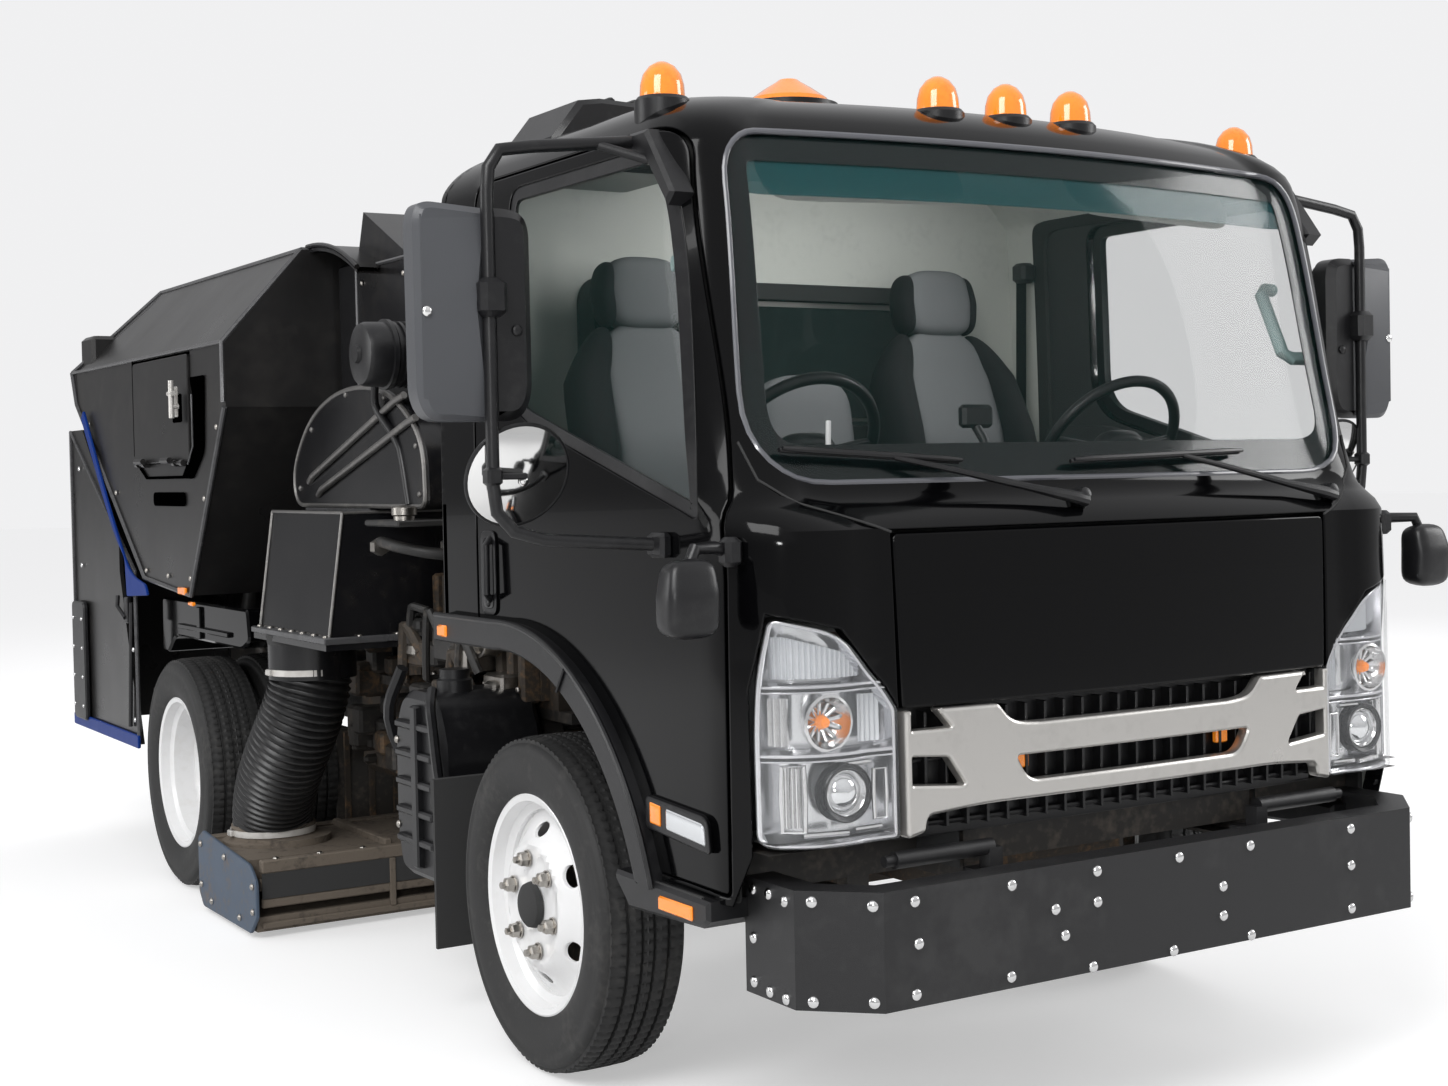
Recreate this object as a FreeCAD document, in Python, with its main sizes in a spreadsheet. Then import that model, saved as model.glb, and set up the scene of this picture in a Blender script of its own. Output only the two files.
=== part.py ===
"""Street sweeper truck: a cab-over chassis with a tilting hopper and a pickup head between the axles.

+X is the truck's left, the cab faces -Y and +Z is up. The origin is on the ground, at the middle of
the whole truck. Every place along the truck is given as a distance behind the front axle.
"""
import FreeCAD, Part
import Sketcher
import math
import os

from FreeCAD import Placement, Rotation, Vector

SIZES = {
    # Whole truck
    "front_reach": 1200, "rear_reach": 4380, "wheelbase": 2769, "overrun": 60, "side_cut": 80, "door_lip": 35, "seam": 5, "fit": 0.3,
    # Wheels
    "tyre_radius": 405, "tyre_width": 226, "tyre_shoulder": 26, "tyre_bead": 267.3, "tyre_wall": 34,
    "rim_radius": 255, "rim_width": 176, "rim_lip": 12, "rim_flange": 8, "disc_radius": 215,
    "disc_thickness": 12, "front_disc_out": 92, "rear_disc_in": 115, "hub_radius": 82, "hub_length": 46,
    "stud_circle": 222.25, "stud_hole_radius": 11, "stud_count": 6, "front_track_half": 855,
    "rear_outer_half": 925, "dual_spacing": 254, "hand_hole_radius": 22, "hand_hole_circle": 330,
    "drum_radius": 170, "drum_width": 110, "rear_drum_radius": 146, "spindle_radius": 32, "spindle_depth": 30, "running_fit": 0.05,
    # Steering knuckles and axles
    "kingpin_half": 690, "kingpin_radius": 17, "knuckle_width": 70, "knuckle_height": 190, "knuckle_depth": 84,
    "beam_width": 70, "beam_height": 70, "beam_drop": 30, "beam_fork": 96, "beam_eye_height": 76,
    "axle_tube_radius": 55, "axle_ball_radius": 170, "axle_ball_half": 60, "axle_cone": 130,
    "spring_half": 395, "spring_width": 60, "spring_thickness": 42, "spring_length": 1150,
    "spring_below_rail": 95, "rear_spring_length": 1250,
    # Frame
    "rail_half": 425, "rail_width": 65, "rail_height": 190, "rail_wall": 8, "rail_base": 560, "rest_front": 2700, "rest_back": 2880, "rest_high": 1034,
    "rail_front": 1015, "rail_rear": 4080, "cross_count": 9, "cross_width": 80, "cross_height": 110,
    # Bumper
    "bumper_half": 765, "bumper_chamfer": 127, "bumper_return": 186, "bumper_low": 374, "bumper_high": 612,
    "bumper_plate": 10, "bumper_shelf": 70, "bumper_bracket_width": 70,
    # Cab form
    "cab_half": 960, "cab_back": 480, "cab_wall": 55, "flat_half": 700, "corner_depth": 180,
    "sill_height": 560, "sill_nose": 1100, "hood_drop": 81, "hood_nose": 1085, "nose_bulge": 25,
    "base_height": 1395, "base_nose": 1000, "screen_flat": 760, "base_bulge": 55, "screen_corner": 110,
    "brow_height": 2150, "brow_nose": 835, "brow_bulge": 75, "brow_half": 942,
    "eave_height": 2222, "eave_nose": 765, "eave_half": 900, "eave_back": 450,
    "crown_height": 2272, "crown_nose": 640, "crown_half": 790, "crown_back": 390,
    "roof_height": 2305, "roof_nose": 380, "roof_half": 480, "roof_back": 230, "roof_flat": 560,
    "nose_low": 668, "nose_back": 870, "tunnel_half": 430, "tunnel_height": 940, "bumper_gap_half": 903,
    "pivot_set": 1068, "pivot_height": 640, "pivot_eye": 20, "pivot_pin": 12, "pivot_lug": 650,
    # Wheel arch, doors and side glass
    "arch_front": 600, "arch_height": 1016, "arch_flat_start": 116, "arch_low": 560,
    "door_front": 936, "door_back": 262, "door_low": 582, "door_high": 2168, "door_pillar_base": 1312,
    "door_pillar_mid": 882, "door_pillar_mid_height": 1500, "door_pillar_top": 735, "door_gap": 6, "screen_clearance": 12,
    "door_hinge_half": 950, "door_hinge_set": 925, "door_hinge_low": 660, "door_hinge_high": 1180, "door_pin": 10.7,
    "door_knuckle": 90, "glass_thickness": 6, "glass_inset": 22,
    "window_low_front": 1340, "window_low_back": 1565, "window_back": 40, "window_high": 2130,
    "window_front": 846, "window_front_mid": 760, "window_front_top": 672, "window_front_high": 1990,
    # Windscreen and rear window
    "screen_rise": 17, "screen_low_half": 690, "screen_side_half": 880, "screen_side_rise": 145,
    "screen_high": 2165, "screen_high_half": 800, "screen_side_high": 2060, "screen_side_top_half": 850,
    "rear_glass_half": 560, "rear_glass_low": 1530, "rear_glass_high": 1960,
    # Front panel, grille and lamps
    "panel_half_top": 634, "panel_half_low": 622, "panel_low": 946, "panel_drop": 83,
    "grille_half": 616, "grille_low": 668, "grille_depth": 60, "grille_bar": 62, "grille_mid": 828,
    "grille_slope": 70, "grille_end": 90,
    "lamp_low": 680, "lamp_inner": 628, "lamp_outer": 930, "lamp_step": 1003, "lamp_tip": 1149,
    "lamp_tip_half": 905, "lamp_depth": 130, "lamp_back": 972, "lamp_proud": 4,
    # Roof
    "dome_radius": 38, "dome_height": 62, "dome_base_radius": 48, "dome_base_height": 18,
    "dome_set": 640, "dome_mid_step": 200, "dome_corner_half": 800, "dome_sink": 8, "dome_corner_drop": 40,
    "beacon_radius": 120, "beacon_height": 120, "beacon_base_height": 55, "beacon_set": 120, "beacon_right": 250,
    "roof_box_left": 440, "roof_box_right": 800, "roof_box_front": 110, "roof_box_back": 420,
    "roof_box_low": 2262, "roof_box_high": 2400, "roof_box_taper": 50,
    # Flares and steps
    "flare_width": 66, "flare_half": 992, "flare_inner": 905, "flare_gap": 6,
    "step_front": 872, "step_back": 495, "step_low": 500, "step_outer": 988, "step_inner": 830,
    # Mirrors
    "mirror_plane": 600, "mirror_pipe_half": 1300, "mirror_pipe_radius": 14, "mirror_pipe_high": 2105,
    "mirror_pipe_low": 1335, "mirror_foot_high": 2095, "mirror_foot_low": 1288, "mirror_foot_set": 705,
    "mirror_foot_half": 930, "mirror_foot_top": 944.6, "mirror_inner": 1195, "mirror_outer": 1450, "mirror_low": 1560,
    "mirror_high": 2040, "mirror_depth": 90, "round_mirror_radius": 110, "round_mirror_height": 1438,
    "round_mirror_half": 1232, "round_mirror_depth": 34, "round_mirror_set": 655,
    "look_down_half": 1070, "look_down_set": 955, "look_down_low": 1115, "look_down_high": 1255,
    "look_down_width": 110, "look_down_depth": 80, "look_down_foot": 32, "mirror_bend": 56,
    # Cab inside
    "floor_height": 1071, "seat_half": 480, "seat_width": 480, "seat_front": 330, "seat_back": 200,
    "cushion_low": 1180, "cushion_high": 1310, "backrest_high": 1850, "backrest_depth": 120,
    "backrest_lean": 90, "headrest_width": 250, "headrest_high": 2010, "pedestal_half": 160,
    "middle_half": 150, "middle_high": 1640, "dash_front": 1180, "dash_back": 610, "dash_low": 1165,
    "dash_high": 1395, "dash_lip": 1320, "dash_half": 862, "wheel_rim_radius": 205, "wheel_grip": 15,
    "wheel_centre_set": 480, "wheel_rise": 85, "wheel_lean": 35, "wheel_half": 480,
    "column_radius": 30, "column_length": 165, "cowl_radius": 46, "shaft_radius": 18, "shaft_reach": 40, "cowl_length": 330,
    # Machinery behind the cab
    "engine_front": 700, "engine_back": 60, "engine_half": 300, "engine_low": 480, "engine_high": 900,
    "sweeper_front": 640, "sweeper_back": 1330, "sweeper_right": 560, "sweeper_left": 420,
    "sweeper_high": 1330, "sweeper_rib": 26,
    "guard_front": 960, "guard_back": 2060, "guard_high": 1725, "guard_half": 790,
    "guard_depth": 170, "guard_radius": 330,
    "cleaner_radius": 96, "cleaner_length": 330, "cleaner_half": 870, "cleaner_set": 1180,
    "cleaner_height": 1800, "cleaner_step": 14,
    "tower_front": 1500, "tower_back": 1960, "tower_right": 618, "tower_high": 2130,
    "tower_peak": 2310, "tower_left": 560, "tower_wall": 12,
    "chute_front": 1380, "chute_back": 2025, "chute_outer_low": 950, "chute_outer_high": 900,
    "chute_inner": 300, "chute_low": 952, "chute_high": 1336, "chute_lip": 18, "chute_lip_height": 26,
    "deck_thickness": 30, "deck_front": 560, "deck_back": 2150,
    "tank_front": 668, "tank_back": 989, "tank_outer": 900, "tank_inner": 592, "tank_low": 330, "tank_high": 830,
    "left_tank_front": 700, "left_tank_back": 1250, "left_tank_low": 420, "left_tank_high": 800,
    "flap_set": 560, "flap_outer": 968, "flap_inner": 742, "flap_low": 190, "flap_high": 560, "flap_thickness": 12,
    # Hoses
    "hose_radius": 132, "hose_top_half": 828, "hose_top_set": 1888, "hose_top": 800, "hose_bottom": 262,
    "hose_bottom_half": 850, "hose_bottom_set": 2090, "hose_bend": 150, "hose_drop": 170, "boot_radius": 140,
    # Pickup head
    "head_front": 1775, "head_back": 2320, "head_half": 1066, "head_top": 240, "head_plate": 10,
    "head_clear": 22, "head_bar": 46, "head_mouth": 60, "side_plate": 12, "side_plate_high": 262,
    "side_plate_low": 14, "side_plate_cut": 70, "head_lift": 120,
    # Hopper
    "hopper_half": 1000, "hopper_wall": 14, "hopper_front": 2177, "hopper_knee": 1684, "hopper_toe": 2620,
    "hopper_low": 1040, "hopper_heel": 3219, "hopper_heel_height": 1081, "hopper_tail": 4199,
    "hopper_tail_height": 1765, "hopper_tip": 4266, "hopper_tip_height": 1900, "shoulder_front": 1895,
    "shoulder_rear": 1925, "roof_edge_half": 727, "hopper_roof": 2212, "hopper_roof_rear": 3900,
    "hinge_set": 4190, "hinge_height": 1700, "hinge_eye": 30, "hinge_play": 0.05, "hinge_radius": 16, "hinge_half": 900, "hinge_boss": 34,
    "lid_hinge_half": 600, "lid_hinge_rise": 21, "hatch_hinge_out": 14, "small_pin": 6, "small_barrel": 12,
    "small_knuckle": 60, "rear_door_thickness": 30, "hatch_front": 2571, "hatch_back": 3302, "hatch_low": 1505, "hatch_high": 1892,
    "hatch_gap": 5,
    # Rear body
    "rear_panel_front": 3351, "rear_panel_slant": 3600, "rear_panel_back": 4326, "rear_panel_low": 440,
    "rear_panel_high": 1660, "rear_panel_thickness": 14, "rear_panel_mid": 1150,
    "tail_lamp_radius": 52, "tail_lamp_depth": 24, "tail_lamp_half": 860, "tail_lamp_height": 560,
    "rear_bar_low": 470, "rear_bar_high": 640,
    # Lift cylinders
    "lift_half": 500, "lift_foot_set": 3300, "lift_foot_height": 640, "lift_eye_set": 3690,
    "lift_eye_height": 1362, "lift_barrel_radius": 42, "lift_rod_radius": 24, "lift_barrel_length": 620,
    "lift_pin_radius": 14, "lift_eye_radius": 26, "lift_gap": 0.5,
}

doc = FreeCAD.newDocument("street_sweeper")
sheet = doc.addObject("Spreadsheet::Sheet", "Sizes")
for row, (word, number) in enumerate(SIZES.items(), start=1):
    sheet.set(f"A{row}", word)
    sheet.set(f"B{row}", str(number))
    sheet.setAlias(f"B{row}", word)
doc.recompute()


class Size:
    """A length together with the sheet expression that gives it."""

    def __init__(self, value, text):
        self.value = float(value)
        self.text = text

    def __add__(self, other):
        other = sized(other)
        return Size(self.value + other.value, f"({self.text} + {other.text})")

    def __radd__(self, other):
        return sized(other) + self

    def __sub__(self, other):
        other = sized(other)
        return Size(self.value - other.value, f"({self.text} - {other.text})")

    def __rsub__(self, other):
        return sized(other) - self

    def __mul__(self, factor):
        return Size(self.value * factor, f"({self.text} * {factor})")

    __rmul__ = __mul__

    def __truediv__(self, divisor):
        return Size(self.value / divisor, f"({self.text} / {divisor})")

    def __neg__(self):
        return Size(-self.value, f"(-{self.text})")

    def __float__(self):
        return self.value


def sized(value):
    """A plain number as a Size."""
    return value if isinstance(value, Size) else Size(value, f"({value})")


class Book:
    """Gives each named size of the sheet as an attribute."""

    def __getattr__(self, word):
        return Size(sheet.get(word), f"{sheet.Name}.{word}")


S = Book()
ZERO = sized(0)
TINY = 1e-6
S_SHARES = {"disc_root_share": 0.35}
FRONT_AXLE = (S.front_reach - S.rear_reach) / 2
NODES = {}


def behind(distance):
    """The place along the truck at a distance behind the front axle."""
    return FRONT_AXLE + distance


def ahead(distance):
    """The place along the truck at a distance ahead of the front axle."""
    return FRONT_AXLE - distance


def bind(thing, path, size):
    """Ties one property of a document object to the sheet."""
    thing.setExpression(path, sized(size).text)


def place(thing, x, y, z):
    """Ties an object's position to the sheet."""
    for axis, size in zip("xyz", (x, y, z)):
        bind(thing, f"Placement.Base.{axis}", size)


def keep(label, thing):
    """Names a finished sub-part, which is written to its own file."""
    thing.Label = label
    NODES[label] = thing
    return thing


def block(low, high):
    """A box between two corners."""
    box = doc.addObject("Part::Box", "block")
    for path, a, b in zip(("Length", "Width", "Height"), low, high):
        bind(box, path, sized(b) - a)
    place(box, *low)
    return box


TURNS = {
    "x": Rotation(Vector(0, 1, 0), 90),
    "y": Rotation(Vector(1, 0, 0), -90),
    "z": Rotation(),
}


def rod(axis, base, radius, length):
    """A round bar from its base point along +x, +y or +z."""
    bar = doc.addObject("Part::Cylinder", "rod")
    bar.Placement = Placement(Vector(), TURNS[axis])
    bind(bar, "Radius", radius)
    bind(bar, "Height", length)
    place(bar, *base)
    return bar


def ball(centre, radius):
    """A sphere."""
    sphere = doc.addObject("Part::Sphere", "ball")
    bind(sphere, "Radius", radius)
    place(sphere, *centre)
    return sphere


def sketch_on(body, role, outline, offset):
    """A closed outline of straight runs, every corner tied to the sheet."""
    sketch = body.newObject("Sketcher::SketchObject", "outline")
    plane = next(p for p in body.Origin.OriginFeatures if p.Role == role)
    sketch.AttachmentSupport = [(plane, "")]
    sketch.MapMode = "FlatFace"
    bind(sketch, "AttachmentOffset.Base.z", offset)
    corners = [Vector(float(a), float(b), 0) for a, b in outline]
    count = len(corners)
    lines = [Part.LineSegment(corners[i], corners[(i + 1) % count]) for i in range(count)]
    sketch.addGeometry(lines, False)
    for i in range(count):
        sketch.addConstraint(Sketcher.Constraint("Coincident", i, 2, (i + 1) % count, 1))
    for i, (a, b) in enumerate(outline):
        for kind, size in (("DistanceX", a), ("DistanceY", b)):
            number = sketch.addConstraint(Sketcher.Constraint(kind, i, 1, float(size)))
            bind(sketch, f"Constraints[{number}]", size)
    return sketch


def prism(plane, outline, start, depth):
    """A plate of straight-sided outline: in YZ it grows along +X, in XZ along +Y, in XY along +Z."""
    body = doc.addObject("PartDesign::Body", "plate")
    along_y = plane == "XZ"
    sketch = sketch_on(body, f"{plane}_Plane", outline, -sized(start) if along_y else sized(start))
    pad = body.newObject("PartDesign::Pad", "pad")
    pad.Profile = sketch
    pad.Reversed = along_y
    bind(pad, "Length", depth)
    sketch.Visibility = False
    return body


def turned(outline, centre):
    """A body turned about the X direction through a centre; the outline gives (x, radius)."""
    body = doc.addObject("PartDesign::Body", "turned")
    sketch = sketch_on(body, "XY_Plane", outline, ZERO)
    spin = body.newObject("PartDesign::Revolution", "revolution")
    spin.Profile = sketch
    spin.ReferenceAxis = (sketch, ["H_Axis"])
    spin.Angle = 360
    place(body, *centre)
    return body


def boolean(kind, base, tool):
    """A cut or a common of two objects."""
    made = doc.addObject(f"Part::{kind}", kind.lower())
    made.Base = base
    made.Tool = tool
    return made


def fused(parts):
    """Several objects joined to one solid."""
    made = doc.addObject("Part::MultiFuse", "fused")
    made.Shapes = parts
    made.Refine = True
    return made


def cut(base, *tools):
    """One object less others."""
    tool = tools[0] if len(tools) == 1 else fused(list(tools))
    return boolean("Cut", base, tool)


def group(parts):
    """Like pieces that don't touch, kept in one sub-part."""
    made = doc.addObject("Part::Compound", "group")
    made.Links = parts
    return made


def mirrored(source):
    """The same piece on the truck's other side."""
    made = doc.addObject("Part::Mirroring", "mirrored")
    made.Source = source
    made.Normal = Vector(1, 0, 0)
    return made


def both(label, source):
    """One sub-part with a piece on each side of the truck."""
    return keep(label, group([source, mirrored(source)]))


def each(label, source):
    """Two sub-parts, right as modelled and left as its mirror image."""
    keep(f"{label}_right", source)
    keep(f"{label}_left", mirrored(source))


def made_of(shape):
    """A document object that holds a shape worked out here."""
    made = doc.addObject("Part::Feature", "form")
    made.Shape = shape
    return made


def vec(x, y, z):
    """A point from three sizes."""
    return Vector(float(x), float(y), float(z))


def slab(plane, runs, start, depth):
    """A plate whose outline mixes corners and (middle, end) arcs; planes as in prism."""
    lift = {
        "YZ": lambda a, b: vec(start, a, b),
        "XZ": lambda a, b: vec(a, start, b),
        "XY": lambda a, b: vec(a, b, start),
    }[plane]
    way = {"YZ": vec(depth, 0, 0), "XZ": vec(0, depth, 0), "XY": vec(0, 0, depth)}[plane]
    edges = []
    first = here = lift(*runs[0])
    for run in runs[1:]:
        if isinstance(run[0], tuple):
            middle, end = lift(*run[0]), lift(*run[1])
            edges.append(Part.Arc(here, middle, end).toShape())
        else:
            end = lift(*run)
            edges.append(Part.LineSegment(here, end).toShape())
        here = end
    if not here.isEqual(first, TINY):
        edges.append(Part.LineSegment(here, first).toShape())
    return Part.Face(Part.Wire(edges)).extrude(way)


def rounded_path(points, bend):
    """Straight runs through the points, their corners rounded by arcs of one radius that touch both runs."""
    edges, here = [], points[0]
    for before, corner, after in zip(points, points[1:], points[2:]):
        run_in = (before - corner).normalize()
        run_out = (after - corner).normalize()
        half_angle = run_in.getAngle(run_out) / 2
        back = float(bend) / math.tan(half_angle)
        start, end = corner + run_in * back, corner + run_out * back
        inward = (run_in + run_out).normalize()
        middle = corner + inward * (float(bend) / math.sin(half_angle) - float(bend))
        edges += [Part.LineSegment(here, start).toShape(), Part.Arc(start, middle, end).toShape()]
        here = end
    edges.append(Part.LineSegment(here, points[-1]).toShape())
    return Part.Wire(edges)


def tube(points, radius, bend):
    """A round bar along a rounded path."""
    path = rounded_path(points, bend)
    ring = Part.Wire([Part.makeCircle(radius, points[0], points[1] - points[0])])
    return path.makePipeShell([ring], True, True)


def solid_of(shape):
    """The one solid inside a boolean's result."""
    return shape.Solids[0] if len(shape.Solids) == 1 else shape


# Cab: the outer form is a loft of level outlines, and the panels are cut from its skin.
LEVELS = ("sill", "hood", "base", "brow", "eave", "crown", "roof")


def level_outline(level, inset):
    """One level outline of the cab, its walls moved inwards by an inset."""
    upper = level in ("base", "brow", "eave")
    nose = float({"sill": S.sill_nose, "hood": S.hood_nose, "base": S.base_nose, "brow": S.brow_nose,
                  "eave": S.eave_nose, "crown": S.crown_nose, "roof": S.roof_nose}[level]) - inset
    bulge = float({"sill": S.nose_bulge, "hood": S.nose_bulge, "base": S.base_bulge,
                   "brow": S.brow_bulge, "eave": S.brow_bulge, "crown": S.brow_bulge,
                   "roof": S.nose_bulge}[level])
    half = float({"sill": S.cab_half, "hood": S.cab_half, "base": S.cab_half, "brow": S.brow_half,
                  "eave": S.eave_half, "crown": S.crown_half, "roof": S.roof_half}[level]) - inset
    back = float({"eave": S.eave_back, "crown": S.crown_back, "roof": S.roof_back}.get(level, S.cab_back)) - inset
    height = float(S.base_height - S.hood_drop if level == "hood" else getattr(S, f"{level}_height"))
    if level in ("eave", "crown", "roof"):
        height -= inset
    elif level == "sill":
        height += inset
    if level in ("crown", "roof"):
        flat = half * float(S.roof_flat) / float(S.crown_half)
    else:
        flat = float(S.screen_flat if upper else S.flat_half) * half / float(S.cab_half)
    depth = float(S.screen_corner if upper else S.corner_depth)
    if level in ("crown", "roof"):
        depth = float(S.screen_corner)
    axle = float(FRONT_AXLE)
    z = height

    def point(x, y):
        return Vector(x, axle + y, z)

    front, side = -(nose - bulge), -(nose - bulge - depth)
    middle_x, middle_y = (flat + 3 * half) / 4, (3 * front + side) / 4
    edges = [
        Part.Arc(point(-flat, front), point(0, -nose), point(flat, front)).toShape(),
        Part.Arc(point(flat, front), point(middle_x, middle_y), point(half, side)).toShape(),
        Part.LineSegment(point(half, side), point(half, back)).toShape(),
        Part.LineSegment(point(half, back), point(-half, back)).toShape(),
        Part.LineSegment(point(-half, back), point(-half, side)).toShape(),
        Part.Arc(point(-half, side), point(-middle_x, middle_y), point(-flat, front)).toShape(),
    ]
    return Part.Wire(edges)


def cab_form(inset):
    """The closed cab form with its walls moved inwards by an inset."""
    return Part.makeLoft([level_outline(level, inset) for level in LEVELS], True, True)


def across(outline):
    """A cutter right across the truck from an outline of (distance behind the axle, height)."""
    half = S.cab_half + S.overrun
    return slab("YZ", outline, -half, half * 2)


def through_nose(outline, start, depth):
    """A cutter along the truck from an outline of (x, height)."""
    return slab("XZ", outline, start, depth)


def box_shape(low, high):
    """A plain box between two corners, as a shape."""
    size = [float(b) - float(a) for a, b in zip(low, high)]
    return Part.makeBox(*size, vec(*low))


def arch_outline(grow):
    """The wheel arch from the side, grown by a band; it runs out behind the cab and below it."""
    reach = S.arch_flat_start + S.arch_front
    rise = S.arch_height - S.arch_low
    out = behind(S.cab_back + S.overrun)
    low = S.sill_height - S.overrun
    return [
        (out, low), (out, S.arch_height + grow), (behind(S.arch_flat_start), S.arch_height + grow),
        ((ahead(S.arch_front) + reach * 0.36 - grow * 0.7, S.arch_low + rise * 0.72 + grow * 0.7),
         (ahead(S.arch_front + grow), S.arch_low)),
        (ahead(S.arch_front + grow), low),
    ]


def door_outline(shrink):
    """A door from the side, drawn in by half the gap round it."""
    reach = S.arch_flat_start + S.arch_front
    rise = S.arch_height - S.arch_low
    grow = shrink
    return [
        (ahead(S.door_front - shrink), S.door_low + shrink),
        (ahead(S.door_front - shrink), S.door_pillar_base),
        (ahead(S.door_pillar_mid - shrink), S.door_pillar_mid_height),
        (ahead(S.door_pillar_top - shrink), S.door_high - shrink),
        (behind(S.door_back - shrink), S.door_high - shrink),
        (behind(S.door_back - shrink), S.arch_height + S.flare_gap + grow),
        (behind(S.arch_flat_start), S.arch_height + S.flare_gap + grow),
        ((ahead(S.arch_front) + reach * 0.36 - grow * 0.7, S.arch_low + rise * 0.72 + S.flare_gap + grow * 0.7),
         (ahead(S.arch_front + S.flare_gap + grow), S.door_low + shrink)),
    ]


def window_outline(shrink):
    """The door's window from the side."""
    return [
        (ahead(S.window_front - shrink), S.window_low_front + shrink),
        (ahead(S.window_front_mid - shrink), S.window_front_high),
        (ahead(S.window_front_top - shrink), S.window_high - shrink),
        (ahead(S.window_back + shrink), S.window_high - shrink),
        (ahead(S.window_back + shrink), S.window_low_back + shrink),
    ]


def screen_outline(shrink):
    """The windscreen from the front."""
    return [
        (-(S.screen_low_half - shrink), S.base_height + S.screen_rise + shrink),
        (S.screen_low_half - shrink, S.base_height + S.screen_rise + shrink),
        (S.screen_side_half - shrink, S.base_height + S.screen_side_rise),
        (S.screen_side_top_half - shrink, S.screen_side_high),
        (S.screen_high_half - shrink, S.screen_high - shrink),
        (-(S.screen_high_half - shrink), S.screen_high - shrink),
        (-(S.screen_side_top_half - shrink), S.screen_side_high),
        (-(S.screen_side_half - shrink), S.base_height + S.screen_side_rise),
    ]


def lamp_outline(side, shrink):
    """A headlamp from the front, on the right (-1) or the left (1)."""
    inner, outer = S.lamp_inner + shrink, S.lamp_outer - shrink
    points = [
        (inner, S.lamp_low + shrink), (outer, S.lamp_low + shrink), (outer, S.lamp_step),
        (S.lamp_tip_half - shrink, S.lamp_tip - shrink), (inner, S.lamp_step - shrink),
    ]
    return [(x * side, z) for x, z in points]


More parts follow.
